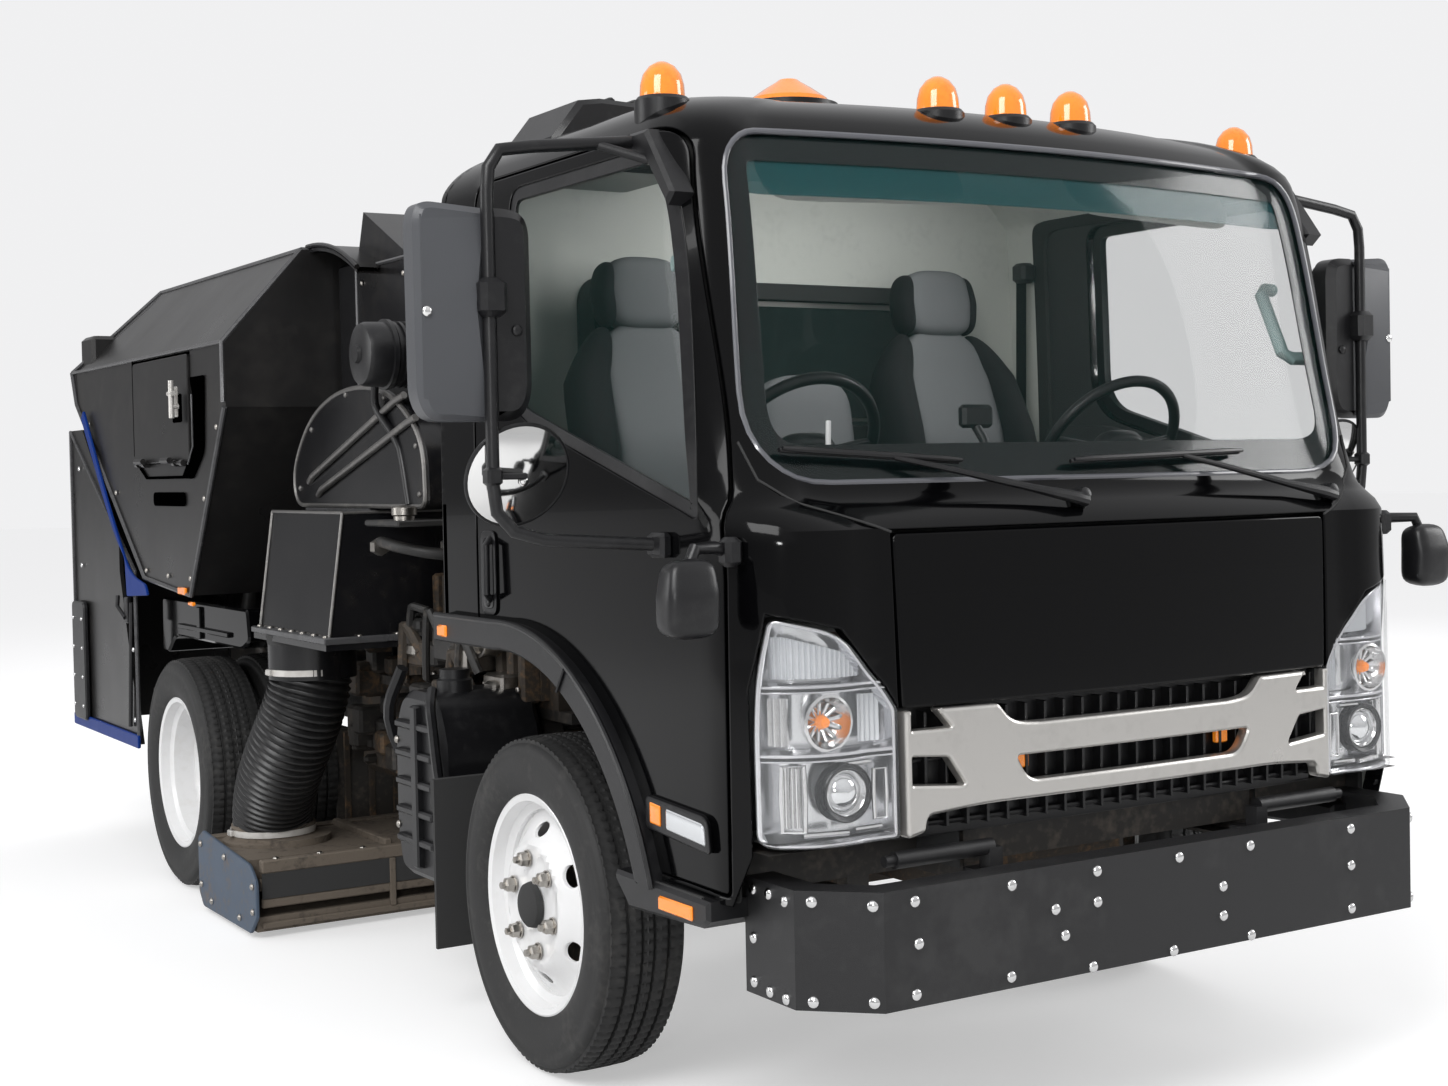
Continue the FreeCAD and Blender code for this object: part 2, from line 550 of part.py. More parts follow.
def build_cab():
    """Cab shell, doors, glass, front panel, grille, headlamps, flares and steps."""
    wall, gap, trim = float(S.cab_wall), S.door_gap, S.fit
    outer, inner = cab_form(0.0), cab_form(wall)
    nose_y = ahead(S.sill_nose + S.overrun)
    far = S.cab_half + S.overrun

    arch = across(arch_outline(ZERO))
    arch_box = across(arch_outline(S.cab_wall))
    tunnel = box_shape((-S.tunnel_half, nose_y, S.sill_height - S.overrun),
                       (S.tunnel_half, behind(S.cab_back + S.overrun), S.tunnel_height))
    tunnel_box = box_shape((-(S.tunnel_half + S.cab_wall), nose_y, S.sill_height - S.overrun),
                           (S.tunnel_half + S.cab_wall, behind(S.cab_back + S.overrun),
                            S.tunnel_height + S.cab_wall))
    nose_void = box_shape((-S.bumper_gap_half, nose_y, S.sill_height - S.overrun),
                          (S.bumper_gap_half, ahead(S.nose_back), S.nose_low))
    nose_box = box_shape((-S.bumper_gap_half, nose_y, S.sill_height - S.overrun),
                         (S.bumper_gap_half, ahead(S.nose_back - S.cab_wall), S.nose_low + S.cab_wall))
    hollow = inner.cut([arch_box, tunnel_box, nose_box])
    skin = outer.cut([inner, arch, tunnel, nose_void])
    body = outer.cut([hollow, arch, tunnel, nose_void])

    door_hole = slab("YZ", door_outline(ZERO), -far, S.overrun + S.cab_wall + S.side_cut)
    door_holes = [door_hole, door_hole.mirror(Vector(), Vector(1, 0, 0))]
    screen_hole = through_nose(screen_outline(ZERO), nose_y, S.sill_nose)
    rear_hole = box_shape((-S.rear_glass_half, behind(S.cab_back) - S.cab_wall * 3, S.rear_glass_low),
                          (S.rear_glass_half, behind(S.cab_back + S.overrun), S.rear_glass_high))
    panel = [(-S.panel_half_low, S.panel_low), (S.panel_half_low, S.panel_low),
             (S.panel_half_top, S.base_height - S.panel_drop), (-S.panel_half_top, S.base_height - S.panel_drop)]
    panel_hole = through_nose(panel, nose_y, S.overrun + S.nose_bulge + S.cab_wall * 2)
    grille_hole = box_shape((-S.panel_half_low, nose_y, S.nose_low - S.overrun),
                            (S.panel_half_low, ahead(S.base_nose) + S.cab_wall, S.panel_low))
    lamp_holes = [through_nose(lamp_outline(side, ZERO), nose_y, S.sill_nose + S.overrun - S.lamp_back + trim)
                  for side in (-1, 1)]
    shell = body.cut(door_holes + [screen_hole, rear_hole, panel_hole, grille_hole] + lamp_holes)
    pivot_y, pivot_z, eye = ahead(S.pivot_set), S.pivot_height, S.pivot_eye
    for side in (-1, 1):
        start = S.pivot_lug if side > 0 else -(S.pivot_lug + S.hopper_wall)
        lug = Part.makeCylinder(float(eye), float(S.hopper_wall), vec(start, pivot_y, pivot_z), Vector(1, 0, 0))
        web = box_shape((start, pivot_y - eye, pivot_z), (start + S.hopper_wall, pivot_y + eye, S.nose_low + S.seam))
        bore = Part.makeCylinder(float(S.pivot_pin + S.hinge_play), float(S.hopper_wall) * 3,
                                 vec(start - S.hopper_wall, pivot_y, pivot_z), Vector(1, 0, 0))
        shell = shell.fuse([lug, web]).cut(bore)
    keep("cab_shell", made_of(solid_of(shell)))

    door_cutter = slab("YZ", door_outline(gap), -far, S.overrun + S.cab_wall + S.door_lip)
    sill_clear = box_shape((-(S.cab_half - S.cab_wall), nose_y, S.sill_height - S.overrun),
                           (ZERO, behind(S.cab_back), S.sill_height + S.cab_wall + S.seam))
    window_hole = slab("YZ", window_outline(ZERO), -far, S.overrun + S.cab_wall * 3)
    screen_clear = through_nose(screen_outline(-S.screen_clearance), nose_y, S.sill_nose)
    door = skin.common(door_cutter).cut([window_hole, screen_clear, sill_clear])
    barrels = [Part.makeCylinder(float(S.door_pin), float(S.door_knuckle),
                                 vec(-S.door_hinge_half, ahead(S.door_hinge_set), height), Vector(0, 0, 1))
               for height in (S.door_hinge_low, S.door_hinge_high)]
    door = door.fuse(barrels)
    each("door", made_of(solid_of(door)))

    glass_out, glass_in = cab_form(float(S.glass_inset)), cab_form(float(S.glass_inset + S.glass_thickness))
    pane = glass_out.cut(glass_in)
    window = pane.common(slab("YZ", window_outline(S.fit), -far, S.overrun + S.cab_wall * 3)).cut(screen_clear)
    each("door_glass", made_of(solid_of(window)))
    screen = pane.common(through_nose(screen_outline(S.fit), nose_y, S.sill_nose))
    rear_cut = box_shape((-(S.rear_glass_half - S.fit), behind(S.cab_back) - S.cab_wall * 2, S.rear_glass_low + S.fit),
                         (S.rear_glass_half - S.fit, behind(S.cab_back + S.overrun), S.rear_glass_high - S.fit))
    rear = pane.common(rear_cut)
    keep("cab_glass", made_of(Part.makeCompound(screen.Solids + rear.Solids)))

    panel_cut = [(-(S.panel_half_low - trim), S.panel_low), (S.panel_half_low - trim, S.panel_low),
                 (S.panel_half_top - trim, S.base_height - S.panel_drop - trim), (-(S.panel_half_top - trim), S.base_height - S.panel_drop - trim)]
    front = skin.common(through_nose(panel_cut, nose_y, S.overrun + S.nose_bulge + S.cab_wall * 2))
    keep("front_panel", made_of(solid_of(front)))

    lamps = []
    lamp_form = cab_form(-float(S.lamp_proud)).cut(cab_form(float(S.lamp_depth)))
    for side in (-1, 1):
        cutter = through_nose(lamp_outline(side, trim), nose_y - S.lamp_proud,
                              S.sill_nose + S.overrun + S.lamp_proud - S.lamp_back)
        lamps += lamp_form.common(cutter).Solids
    keep("headlamps", made_of(Part.makeCompound(lamps)))
    build_grille()


def build_grille():
    """Two bars that fall towards the middle, joined by uprights at their ends."""
    layer = cab_form(0.0).cut(cab_form(float(S.grille_depth)))
    half, end, bar, slope = S.grille_half, S.grille_end, S.grille_bar, S.grille_slope
    top, middle, low = S.panel_low - S.fit, S.grille_mid, S.grille_low
    outer = [(-half, low + slope), (-(half - end * 2), low), (half - end * 2, low), (half, low + slope),
             (half, top), (-half, top)]
    inside = half - end * 2.4
    upper = [(-inside - end, top - bar * 0.35), (-inside + end * 0.4, middle + bar * 0.75),
             (inside - end * 0.4, middle + bar * 0.75), (inside + end, top - bar * 0.35)]
    lower = [(-inside, middle - bar * 0.05), (-inside + end, low + bar), (inside - end, low + bar),
             (inside, middle - bar * 0.05)]
    nose_y = ahead(S.sill_nose + S.overrun)
    depth = S.overrun * 2 + S.nose_bulge + S.grille_depth
    shape = layer.common(through_nose(outer, nose_y, depth))
    shape = shape.cut([through_nose(upper, nose_y, depth), through_nose(lower, nose_y, depth)])
    keep("grille", made_of(solid_of(shape)))


def build_flares_and_steps():
    """Fender flares along the wheel arches, and the steps below the doors."""
    reach = S.arch_flat_start + S.arch_front
    rise = S.arch_height - S.arch_low

    def arc_middle(grow):
        return (ahead(S.arch_front) + reach * 0.36 - grow * 0.7, S.arch_low + rise * 0.72 + grow * 0.7)

    band = -S.flare_width
    outline = [
        (behind(S.cab_back), S.arch_height), (behind(S.arch_flat_start), S.arch_height),
        (arc_middle(ZERO), (ahead(S.arch_front), S.arch_low)),
        (ahead(S.arch_front + band), S.arch_low),
        (arc_middle(band), (behind(S.arch_flat_start), S.arch_height + band)),
        (behind(S.cab_back), S.arch_height + band),
    ]
    flare = slab("YZ", outline, -S.flare_half, S.flare_half - S.flare_inner)
    both("fender_flares", made_of(flare))
    step = block((-S.step_outer, ahead(S.step_front), S.step_low), (-S.step_inner, ahead(S.step_back), S.sill_height))
    both("cab_steps", step)


def build_roof():
    """Five dome marker lights, the low beacon and the box on the roof's rear edge."""
    parts = []
    for x in (-S.dome_corner_half, -S.dome_mid_step, ZERO, S.dome_mid_step, S.dome_corner_half):
        corner = abs(x.value) > float(S.dome_mid_step)
        level = S.crown_height - S.dome_corner_drop if corner else S.crown_height
        base = rod("z", (x, ahead(S.dome_set), level), S.dome_base_radius, S.dome_base_height)
        lens = rod("z", (x, ahead(S.dome_set), level + S.dome_base_height), S.dome_radius,
                   S.dome_height - S.dome_radius)
        cap = ball((x, ahead(S.dome_set), level + S.dome_base_height + S.dome_height - S.dome_radius), S.dome_radius)
        parts.append(cut(fused([base, lens, cap]), made_of(cab_form(-TINY))))
    foot = rod("z", (-S.beacon_right, ahead(S.beacon_set), S.roof_height - S.dome_sink), S.beacon_radius, S.beacon_base_height)
    cone = doc.addObject("Part::Cone", "beacon")
    bind(cone, "Radius1", S.beacon_radius)
    bind(cone, "Radius2", S.beacon_radius / 4)
    bind(cone, "Height", S.beacon_height)
    place(cone, -S.beacon_right, ahead(S.beacon_set), S.roof_height - S.dome_sink + S.beacon_base_height)
    parts.append(cut(fused([foot, cone]), made_of(cab_form(-TINY))))
    keep("roof_lights", group(parts))
    taper = S.roof_box_taper
    outline = [
        (-S.roof_box_right, S.roof_box_low), (-S.roof_box_left, S.roof_box_low),
        (-S.roof_box_left, S.roof_box_high), (-S.roof_box_right + taper, S.roof_box_high),
    ]
    box = prism("XZ", outline, behind(S.roof_box_front), S.roof_box_back - S.roof_box_front)
    keep("roof_box", cut(box, made_of(cab_form(-TINY))))


def build_mirrors():
    """Tube loop on the door with the large mirror, the round mirror and the look-down mirror."""
    half, radius = S.mirror_pipe_half, float(S.mirror_pipe_radius)
    plane, foot_y, foot_x = ahead(S.mirror_plane), ahead(S.mirror_foot_set), -S.mirror_foot_half
    pipe = tube([
        vec(foot_x, foot_y, S.mirror_foot_high), vec(-half, plane, S.mirror_pipe_high),
        vec(-half, plane, S.mirror_pipe_low), vec(foot_x, foot_y, S.mirror_foot_low),
    ], radius, S.mirror_bend)
    heads = [
        box_shape((-S.mirror_outer, ahead(S.mirror_plane + S.mirror_depth / 2), S.mirror_low),
                  (-S.mirror_inner, ahead(S.mirror_plane - S.mirror_depth / 2), S.mirror_high)),
        Part.makeCylinder(float(S.round_mirror_radius), float(S.round_mirror_depth + S.mirror_pipe_radius * 2),
                          vec(-S.round_mirror_half, ahead(S.round_mirror_set), S.round_mirror_height),
                          Vector(0, 1, 0)),
    ]
    inside = [box_shape((-(S.cab_half + S.fit), ahead(S.door_front), S.door_low), (ZERO, ZERO, S.base_height)),
              box_shape((-S.mirror_foot_top, ahead(S.door_front), S.base_height), (ZERO, ZERO, S.roof_height))]
    shape = pipe.multiFuse(heads).cut(inside)
    biggest = max(shape.Solids, key=lambda solid: solid.Volume)
    each("mirror", made_of(biggest))

    middle = vec(-S.look_down_half, ahead(S.look_down_set) - S.look_down_depth / 2, (S.look_down_high + S.look_down_low) / 2)
    foot = vec(-S.mirror_foot_half, ahead(S.door_front + S.look_down_foot), S.look_down_high)
    arm = Part.makeCylinder(radius, (middle - foot).Length, foot, middle - foot)
    head = box_shape((-(S.look_down_half + S.look_down_width / 2), ahead(S.look_down_set + S.look_down_depth), S.look_down_low),
                     (-(S.look_down_half - S.look_down_width / 2), ahead(S.look_down_set), S.look_down_high))
    look_down = head.fuse(arm).cut(cab_form(-float(S.fit)))
    both("look_down_mirrors", made_of(max(look_down.Solids, key=lambda solid: solid.Volume)))


def build_interior():
    """Seats, dash and the two steering wheels."""
    seats = []
    lean = S.backrest_lean
    for x in (-S.seat_half, S.seat_half):
        outline = [
            (ahead(S.seat_front), S.cushion_low), (behind(S.seat_back), S.cushion_low),
            (behind(S.seat_back) + lean, S.backrest_high),
            (behind(S.seat_back) + lean - S.backrest_depth * 0.8, S.backrest_high),
            (behind(S.seat_back) - S.backrest_depth, S.cushion_high), (ahead(S.seat_front), S.cushion_high),
        ]
        seat = prism("YZ", outline, x - S.seat_width / 2, S.seat_width)
        head = block((x - S.headrest_width / 2, behind(S.seat_back) + lean - S.backrest_depth * 0.8, S.backrest_high),
                     (x + S.headrest_width / 2, behind(S.seat_back) + lean, S.headrest_high))
        foot = block((x - S.pedestal_half, ahead(S.seat_front) + S.backrest_depth, S.floor_height + S.fit),
                     (x + S.pedestal_half, behind(S.seat_back) - S.backrest_depth, S.cushion_low))
        seats.append(fused([seat, head, foot]))
    outline = [
        (ahead(S.seat_front), S.cushion_low), (behind(S.seat_back), S.cushion_low),
        (behind(S.seat_back) + lean / 2, S.middle_high),
        (behind(S.seat_back) + lean / 2 - S.backrest_depth * 0.8, S.middle_high),
        (behind(S.seat_back) - S.backrest_depth, S.cushion_high), (ahead(S.seat_front), S.cushion_high),
    ]
    middle = prism("YZ", outline, -S.middle_half, S.middle_half * 2)
    base = block((-S.middle_half, ahead(S.seat_front) + S.backrest_depth, S.floor_height + S.fit),
                 (S.middle_half, behind(S.seat_back) - S.backrest_depth, S.cushion_low))
    seats.append(fused([middle, base]))
    keep("seats", cut(group(seats), made_of(across(arch_outline(S.cab_wall + S.fit)))))

    outline = [
        (ahead(S.dash_front), S.dash_low), (ahead(S.dash_back), S.dash_low), (ahead(S.dash_back), S.dash_lip),
        (ahead(S.dash_back) - S.backrest_depth / 2, S.dash_high), (ahead(S.dash_front), S.dash_lip + S.fit),
    ]
    dash = prism("YZ", outline, -S.dash_half, S.dash_half * 2)
    tilt = math.radians(float(S.wheel_lean))
    axis = Vector(0, -math.cos(tilt), -math.sin(tilt))
    across_axis = Vector(0, -math.sin(tilt), math.cos(tilt))
    centre = vec(-S.wheel_half, ahead(S.wheel_centre_set), S.dash_high + S.wheel_rise)
    cowl_start = centre + axis * float(S.column_length + S.seam)
    cowl = Part.makeCylinder(float(S.cowl_radius), float(S.cowl_length - S.column_length), cowl_start, axis)
    socket = Part.makeCylinder(float(S.shaft_radius + S.hinge_play), float(S.shaft_reach + S.seam), cowl_start, axis)
    cowls = made_of(cowl.fuse(cowl.mirror(Vector(), Vector(1, 0, 0))))
    sockets = made_of(Part.makeCompound([socket, socket.mirror(Vector(), Vector(1, 0, 0))]))
    keep("dash", cut(boolean("Common", fused([dash, cowls]), made_of(cab_form(float(S.cab_wall + S.fit)))), sockets))

    ring = Part.makeTorus(float(S.wheel_rim_radius), float(S.wheel_grip), centre, axis)
    pieces = [Part.makeCylinder(float(S.column_radius) * 1.6, float(S.column_radius) * 2, centre - axis * float(S.column_radius), axis),
              Part.makeCylinder(float(S.column_radius), float(S.column_length), centre, axis),
              Part.makeCylinder(float(S.shaft_radius), float(S.column_length + S.shaft_reach), centre, axis)]
    for turn in (90, 210, 330):
        way = Rotation(axis, turn).multVec(across_axis)
        pieces.append(Part.makeCylinder(float(S.wheel_grip) * 0.7, float(S.wheel_rim_radius), centre, way))
    wheel = pieces[0].multiFuse(pieces[1:]).fuse(ring)
    each("steering_wheel", made_of(solid_of(wheel)))


def wheel_profile(shoulder):
    """Half the tyre's section as (x, radius), from the inner bead round the tread."""
    half, radius = S.tyre_width / 2, S.tyre_radius
    bead, wall = S.tyre_bead, S.tyre_wall
    return [
        (-S.rim_width / 2, bead), (-half, bead + (radius - bead) * 0.45), (-half + shoulder * 0.3, radius - shoulder),
        (-half + shoulder * 1.2, radius), (half - shoulder * 1.2, radius), (half - shoulder * 0.3, radius - shoulder),
        (half, bead + (radius - bead) * 0.45), (S.rim_width / 2, bead), (S.rim_width / 2 - wall / 2, bead),
        (half - wall, bead + (radius - bead) * 0.45), (half - wall * 1.5, radius - wall),
        (-half + wall * 1.5, radius - wall), (-half + wall, bead + (radius - bead) * 0.45),
        (-S.rim_width / 2 + wall / 2, bead),
    ]


def rim_body(x, y, disc, thick_way):
    """One rim with its dished disc; thick_way says on which side of its outer face the disc's thickness lies."""
    half, lip, radius = S.rim_width / 2, S.rim_lip, S.rim_radius
    thick, flange = S.disc_thickness, S.rim_flange
    well = radius - lip * 2
    ring = [
        (-half - flange, radius + lip), (-half, radius + lip), (-half, radius), (-half + flange * 2, well),
        (half - flange * 2, well), (half, radius), (half, radius + lip), (half + flange, radius + lip),
        (half + flange, radius - thick / 2), (half - flange * 2, well - thick),
        (-half + flange * 2, well - thick), (-half - flange, radius - thick / 2),
    ]
    barrel = turned(ring, (x, y, S.tyre_radius))
    flat = S.stud_circle / 2 + S.stud_hole_radius * 2.5
    root = disc * S_SHARES["disc_root_share"]
    shift = thick * thick_way
    face = [(disc, ZERO), (disc, flat), (root, well - thick / 2), (root + shift, well - thick / 2),
            (disc + shift, flat), (disc + shift, ZERO)]
    plate = turned(face, (x, y, S.tyre_radius))
    holes = []
    count = int(float(S.stud_count))
    low = min(float(disc), float(root))
    reach = S.disc_thickness * 16
    for i in range(count):
        angle = 2 * math.pi * (i + 0.5) / count
        spot = S.hand_hole_circle / 2
        holes.append(rod("x", (x + (disc + root) / 2 - reach / 2, y + spot * math.cos(angle),
                               S.tyre_radius + spot * math.sin(angle)), S.hand_hole_radius, reach))
    return cut(fused([barrel, plate]), *holes)


def build_wheels():
    """Single front wheels, dished outwards, and twin rear wheels whose discs meet back to back."""
    axle_height = S.tyre_radius
    x, y = -S.front_track_half, FRONT_AXLE
    each("front_tyre", turned(wheel_profile(S.tyre_shoulder), (x, y, axle_height)))
    hub = rod("x", (x - S.front_disc_out - S.hub_length, y, axle_height), S.hub_radius * 0.7, S.hub_length)
    bore = rod("x", (x - S.front_disc_out - S.spindle_depth, y, axle_height), S.spindle_radius + S.running_fit,
               S.spindle_depth + S.hub_length)
    each("front_rim", cut(fused([rim_body(x, y, -S.front_disc_out, 1), hub]), bore))

    x, y = -S.rear_outer_half, behind(S.wheelbase)
    inner = x + S.dual_spacing
    each("rear_tyres", group([turned(wheel_profile(S.tyre_shoulder), (at, y, axle_height)) for at in (x, inner)]))
    outer_rim = rim_body(x, y, S.rear_disc_in, 1)
    inner_rim = rim_body(inner, y, -S.rear_disc_in, -1)
    hub = rod("x", (x + S.rear_disc_in - S.hub_length * 2, y, axle_height), S.hub_radius, S.hub_length * 2)
    bore = rod("x", (x + S.rear_disc_in - S.spindle_depth, y, axle_height), S.spindle_radius + S.running_fit,
               S.spindle_depth + S.hub_length)
    each("rear_rims", cut(fused([outer_rim, inner_rim, hub]), bore))


def build_front_axle():
    """I-beam front axle, the knuckles on their kingpins, and the springs."""
    half = S.kingpin_half
    beam = block((-half, FRONT_AXLE - S.beam_width / 2, S.tyre_radius - S.beam_drop - S.beam_height / 2),
                 (half, FRONT_AXLE + S.beam_width / 2, S.tyre_radius - S.beam_drop + S.beam_height / 2))
    parts = [beam]
    for side in (-1, 1):
        x = S.kingpin_half * side
        parts.append(rod("z", (x, FRONT_AXLE, S.tyre_radius - S.beam_eye_height / 2), S.beam_fork / 2, S.beam_eye_height))
        parts.append(rod("z", (x, FRONT_AXLE, S.tyre_radius - S.beam_drop - S.beam_height / 2), S.beam_width / 2,
                         S.beam_drop + S.beam_height / 2))
    pins = [rod("z", (S.kingpin_half * side, FRONT_AXLE, S.tyre_radius - S.knuckle_height),
                S.kingpin_radius + S.running_fit, S.knuckle_height * 2) for side in (-1, 1)]
    keep("front_axle", cut(fused(parts), *pins))

    x = -S.kingpin_half
    low, high = S.tyre_radius - S.knuckle_height / 2, S.tyre_radius + S.knuckle_height / 2
    fork = block((x - S.knuckle_width * 1.2, FRONT_AXLE - S.knuckle_depth / 2, low),
                 (x + S.knuckle_width / 2, FRONT_AXLE + S.knuckle_depth / 2, high))
    slot_low = S.tyre_radius - S.beam_drop - S.beam_height / 2 - S.seam
    slot = block((x - S.beam_fork / 2 - S.seam * 2, FRONT_AXLE - S.knuckle_depth, slot_low),
                 (x + S.knuckle_width, FRONT_AXLE + S.knuckle_depth, S.tyre_radius + S.beam_eye_height / 2 + S.seam))
    pin = rod("z", (x, FRONT_AXLE, low - S.seam * 3), S.kingpin_radius, high - low + S.seam * 6)
    spindle_end = S.front_track_half + S.front_disc_out + S.spindle_depth - S.seam
    spindle = rod("x", (-spindle_end, FRONT_AXLE, S.tyre_radius), S.spindle_radius,
                  spindle_end - S.kingpin_half - S.knuckle_width)
    drum = rod("x", (-S.front_track_half, FRONT_AXLE, S.tyre_radius), S.drum_radius,
               S.front_track_half - S.kingpin_half - S.knuckle_width * 1.1)
    each("knuckle", fused([cut(fused([fork, spindle, drum]), slot), pin]))

    springs = []
    top = S.rail_base - S.seam
    for y, length, seat in ((FRONT_AXLE, S.spring_length, S.tyre_radius - S.beam_drop + S.beam_height / 2),
                            (behind(S.wheelbase), S.rear_spring_length, S.tyre_radius + S.axle_tube_radius)):
        leaf = block((-S.spring_half - S.spring_width / 2, y - length / 2, seat + S.fit),
                     (-S.spring_half + S.spring_width / 2, y + length / 2, seat + S.fit + S.spring_thickness))
        hangers = [block((-S.spring_half - S.spring_width / 2, end, seat + S.fit + S.spring_thickness),
                         (-S.spring_half + S.spring_width / 2, end + S.spring_thickness, S.rail_base - S.fit))
                   for end in (y - length / 2, y + length / 2 - S.spring_thickness)]
        spring = fused([leaf] + hangers)
        springs += [spring, mirrored(spring)]
    keep("leaf_springs", group(springs))


def build_rear_axle():
    """Rear axle: its housing, tubes, brake drums and spindles, turned as one."""
    reach = S.rear_outer_half - S.dual_spacing / 2 - S.disc_thickness - S.seam * 3
    shaft = S.rear_outer_half - S.rear_disc_in + S.spindle_depth - S.seam
    steps = [
        (S.axle_ball_half, S.axle_ball_radius), (S.axle_ball_half + S.axle_cone, S.axle_tube_radius),
        (reach - S.drum_width, S.axle_tube_radius), (reach - S.drum_width, S.rear_drum_radius),
        (reach, S.rear_drum_radius),
        (reach, S.spindle_radius), (shaft, S.spindle_radius),
    ]
    outline = [(-shaft, ZERO)] + [(-x, radius) for x, radius in reversed(steps)] + steps + [(shaft, ZERO)]
    keep("rear_axle", turned(outline, (ZERO, behind(S.wheelbase), S.tyre_radius)))


def build_frame():
    """Channel rails, cross members, bumper and the chassis engine."""
    half, width, wall = S.rail_half, S.rail_width, S.rail_wall
    low, high = S.rail_base, S.rail_base + S.rail_height
    channel = [
        (-half, low), (-half + width, low), (-half + width, low + wall), (-half + wall, low + wall),
        (-half + wall, high - wall), (-half + width, high - wall), (-half + width, high), (-half, high),
    ]
    rail = prism("XZ", channel, ahead(S.rail_front), S.rail_front + S.rail_rear)
    rest = block((-half, behind(S.rest_front), high), (-half + width, behind(S.rest_back), S.rest_high))
    reach = S.lift_half - S.lift_barrel_radius - S.seam
    pin_end = S.lift_half + S.lift_eye_radius / 2 + S.seam
    lift_pin = rod("x", (-pin_end, behind(S.lift_foot_set), S.lift_foot_height), S.lift_pin_radius, pin_end - half)
    bracket = block((-reach, behind(S.lift_foot_set) - S.lift_eye_radius, S.lift_foot_height - S.lift_eye_radius),
                    (-half, behind(S.lift_foot_set) + S.lift_eye_radius, S.lift_foot_height + S.lift_eye_radius))
    each("frame_rail", fused([rail, rest, bracket, lift_pin]))
    members, places = [], []
    count = int(float(S.cross_count))
    span = S.rail_front + S.rail_rear - S.cross_width
    for i in range(count):
        y = ahead(S.rail_front) + span * (i / (count - 1))
        places.append(y)
        middle = (low + high) / 2
        members.append(block((-half + wall, y, middle - S.cross_height / 2),
                             (half - wall, y + S.cross_width, middle + S.cross_height / 2)))
    keep("cross_members", group(members))

    plate, low, high = S.bumper_plate, S.bumper_low, S.bumper_high
    face = ahead(S.front_reach)

    def bumper_outline(inset, past):
        """Half octagon seen from above, drawn in by an inset; the open back runs on past the ends."""
        side = S.bumper_half + S.bumper_chamfer - inset
        slack = inset * (2 ** 0.5 - 1)
        end = face + S.bumper_chamfer + S.bumper_return + past
        return [(-side, end), (-side, face + S.bumper_chamfer + slack), (-S.bumper_half + slack, face + inset),
                (S.bumper_half - slack, face + inset), (side, face + S.bumper_chamfer + slack), (side, end)]

    outer = prism("XY", bumper_outline(ZERO, ZERO), low, high - low)
    void = prism("XY", bumper_outline(plate, plate), low - plate, high - low)
    shelf_void = prism("XY", bumper_outline(S.bumper_shelf, S.bumper_shelf), low - plate, high - low + plate * 2)
    ring = cut(outer, void, shelf_void)
    brackets, horns = [], []
    for side in (-1, 1):
        x = (S.rail_half - S.rail_width / 2) * side
        half = S.bumper_bracket_width / 2
        brackets.append(block((x - half, face + plate, S.rail_base - S.seam * 8),
                              (x + half, ahead(S.rail_front) - S.fit, S.bumper_high - plate * 2)))
        horns.append(block((x - half / 2, ahead(S.pivot_set) - S.pivot_eye * 0.9, S.bumper_high - plate * 2),
                           (x + half / 2, ahead(S.pivot_set) + S.pivot_eye * 0.9, S.pivot_height)))
        post, lug, reach = S.rail_half - S.rail_width / 2, S.pivot_lug - S.seam, S.pivot_lug + S.hopper_wall + S.seam
        for radius, end in ((S.pivot_eye * 0.9, lug), (S.pivot_pin, reach)):
            start = x if side > 0 else -end
            horns.append(rod("x", (start, ahead(S.pivot_set), S.pivot_height), radius, end - post))
    keep("bumper", fused([ring] + brackets + horns))

    engine = block((-S.engine_half, ahead(S.engine_front), S.engine_low),
                   (S.engine_half, ahead(S.engine_back), S.engine_high))
    middle = S.rail_base + S.rail_height / 2
    slot = S.cross_height / 2 + S.fit
    notches = [block((-S.rail_half, y - S.seam, middle - slot), (S.rail_half, y + S.cross_width + S.seam, middle + slot))
               for y in places if float(ahead(S.engine_front)) - 100 < float(y) < float(ahead(S.engine_back))]
    keep("chassis_engine", cut(engine, *notches))


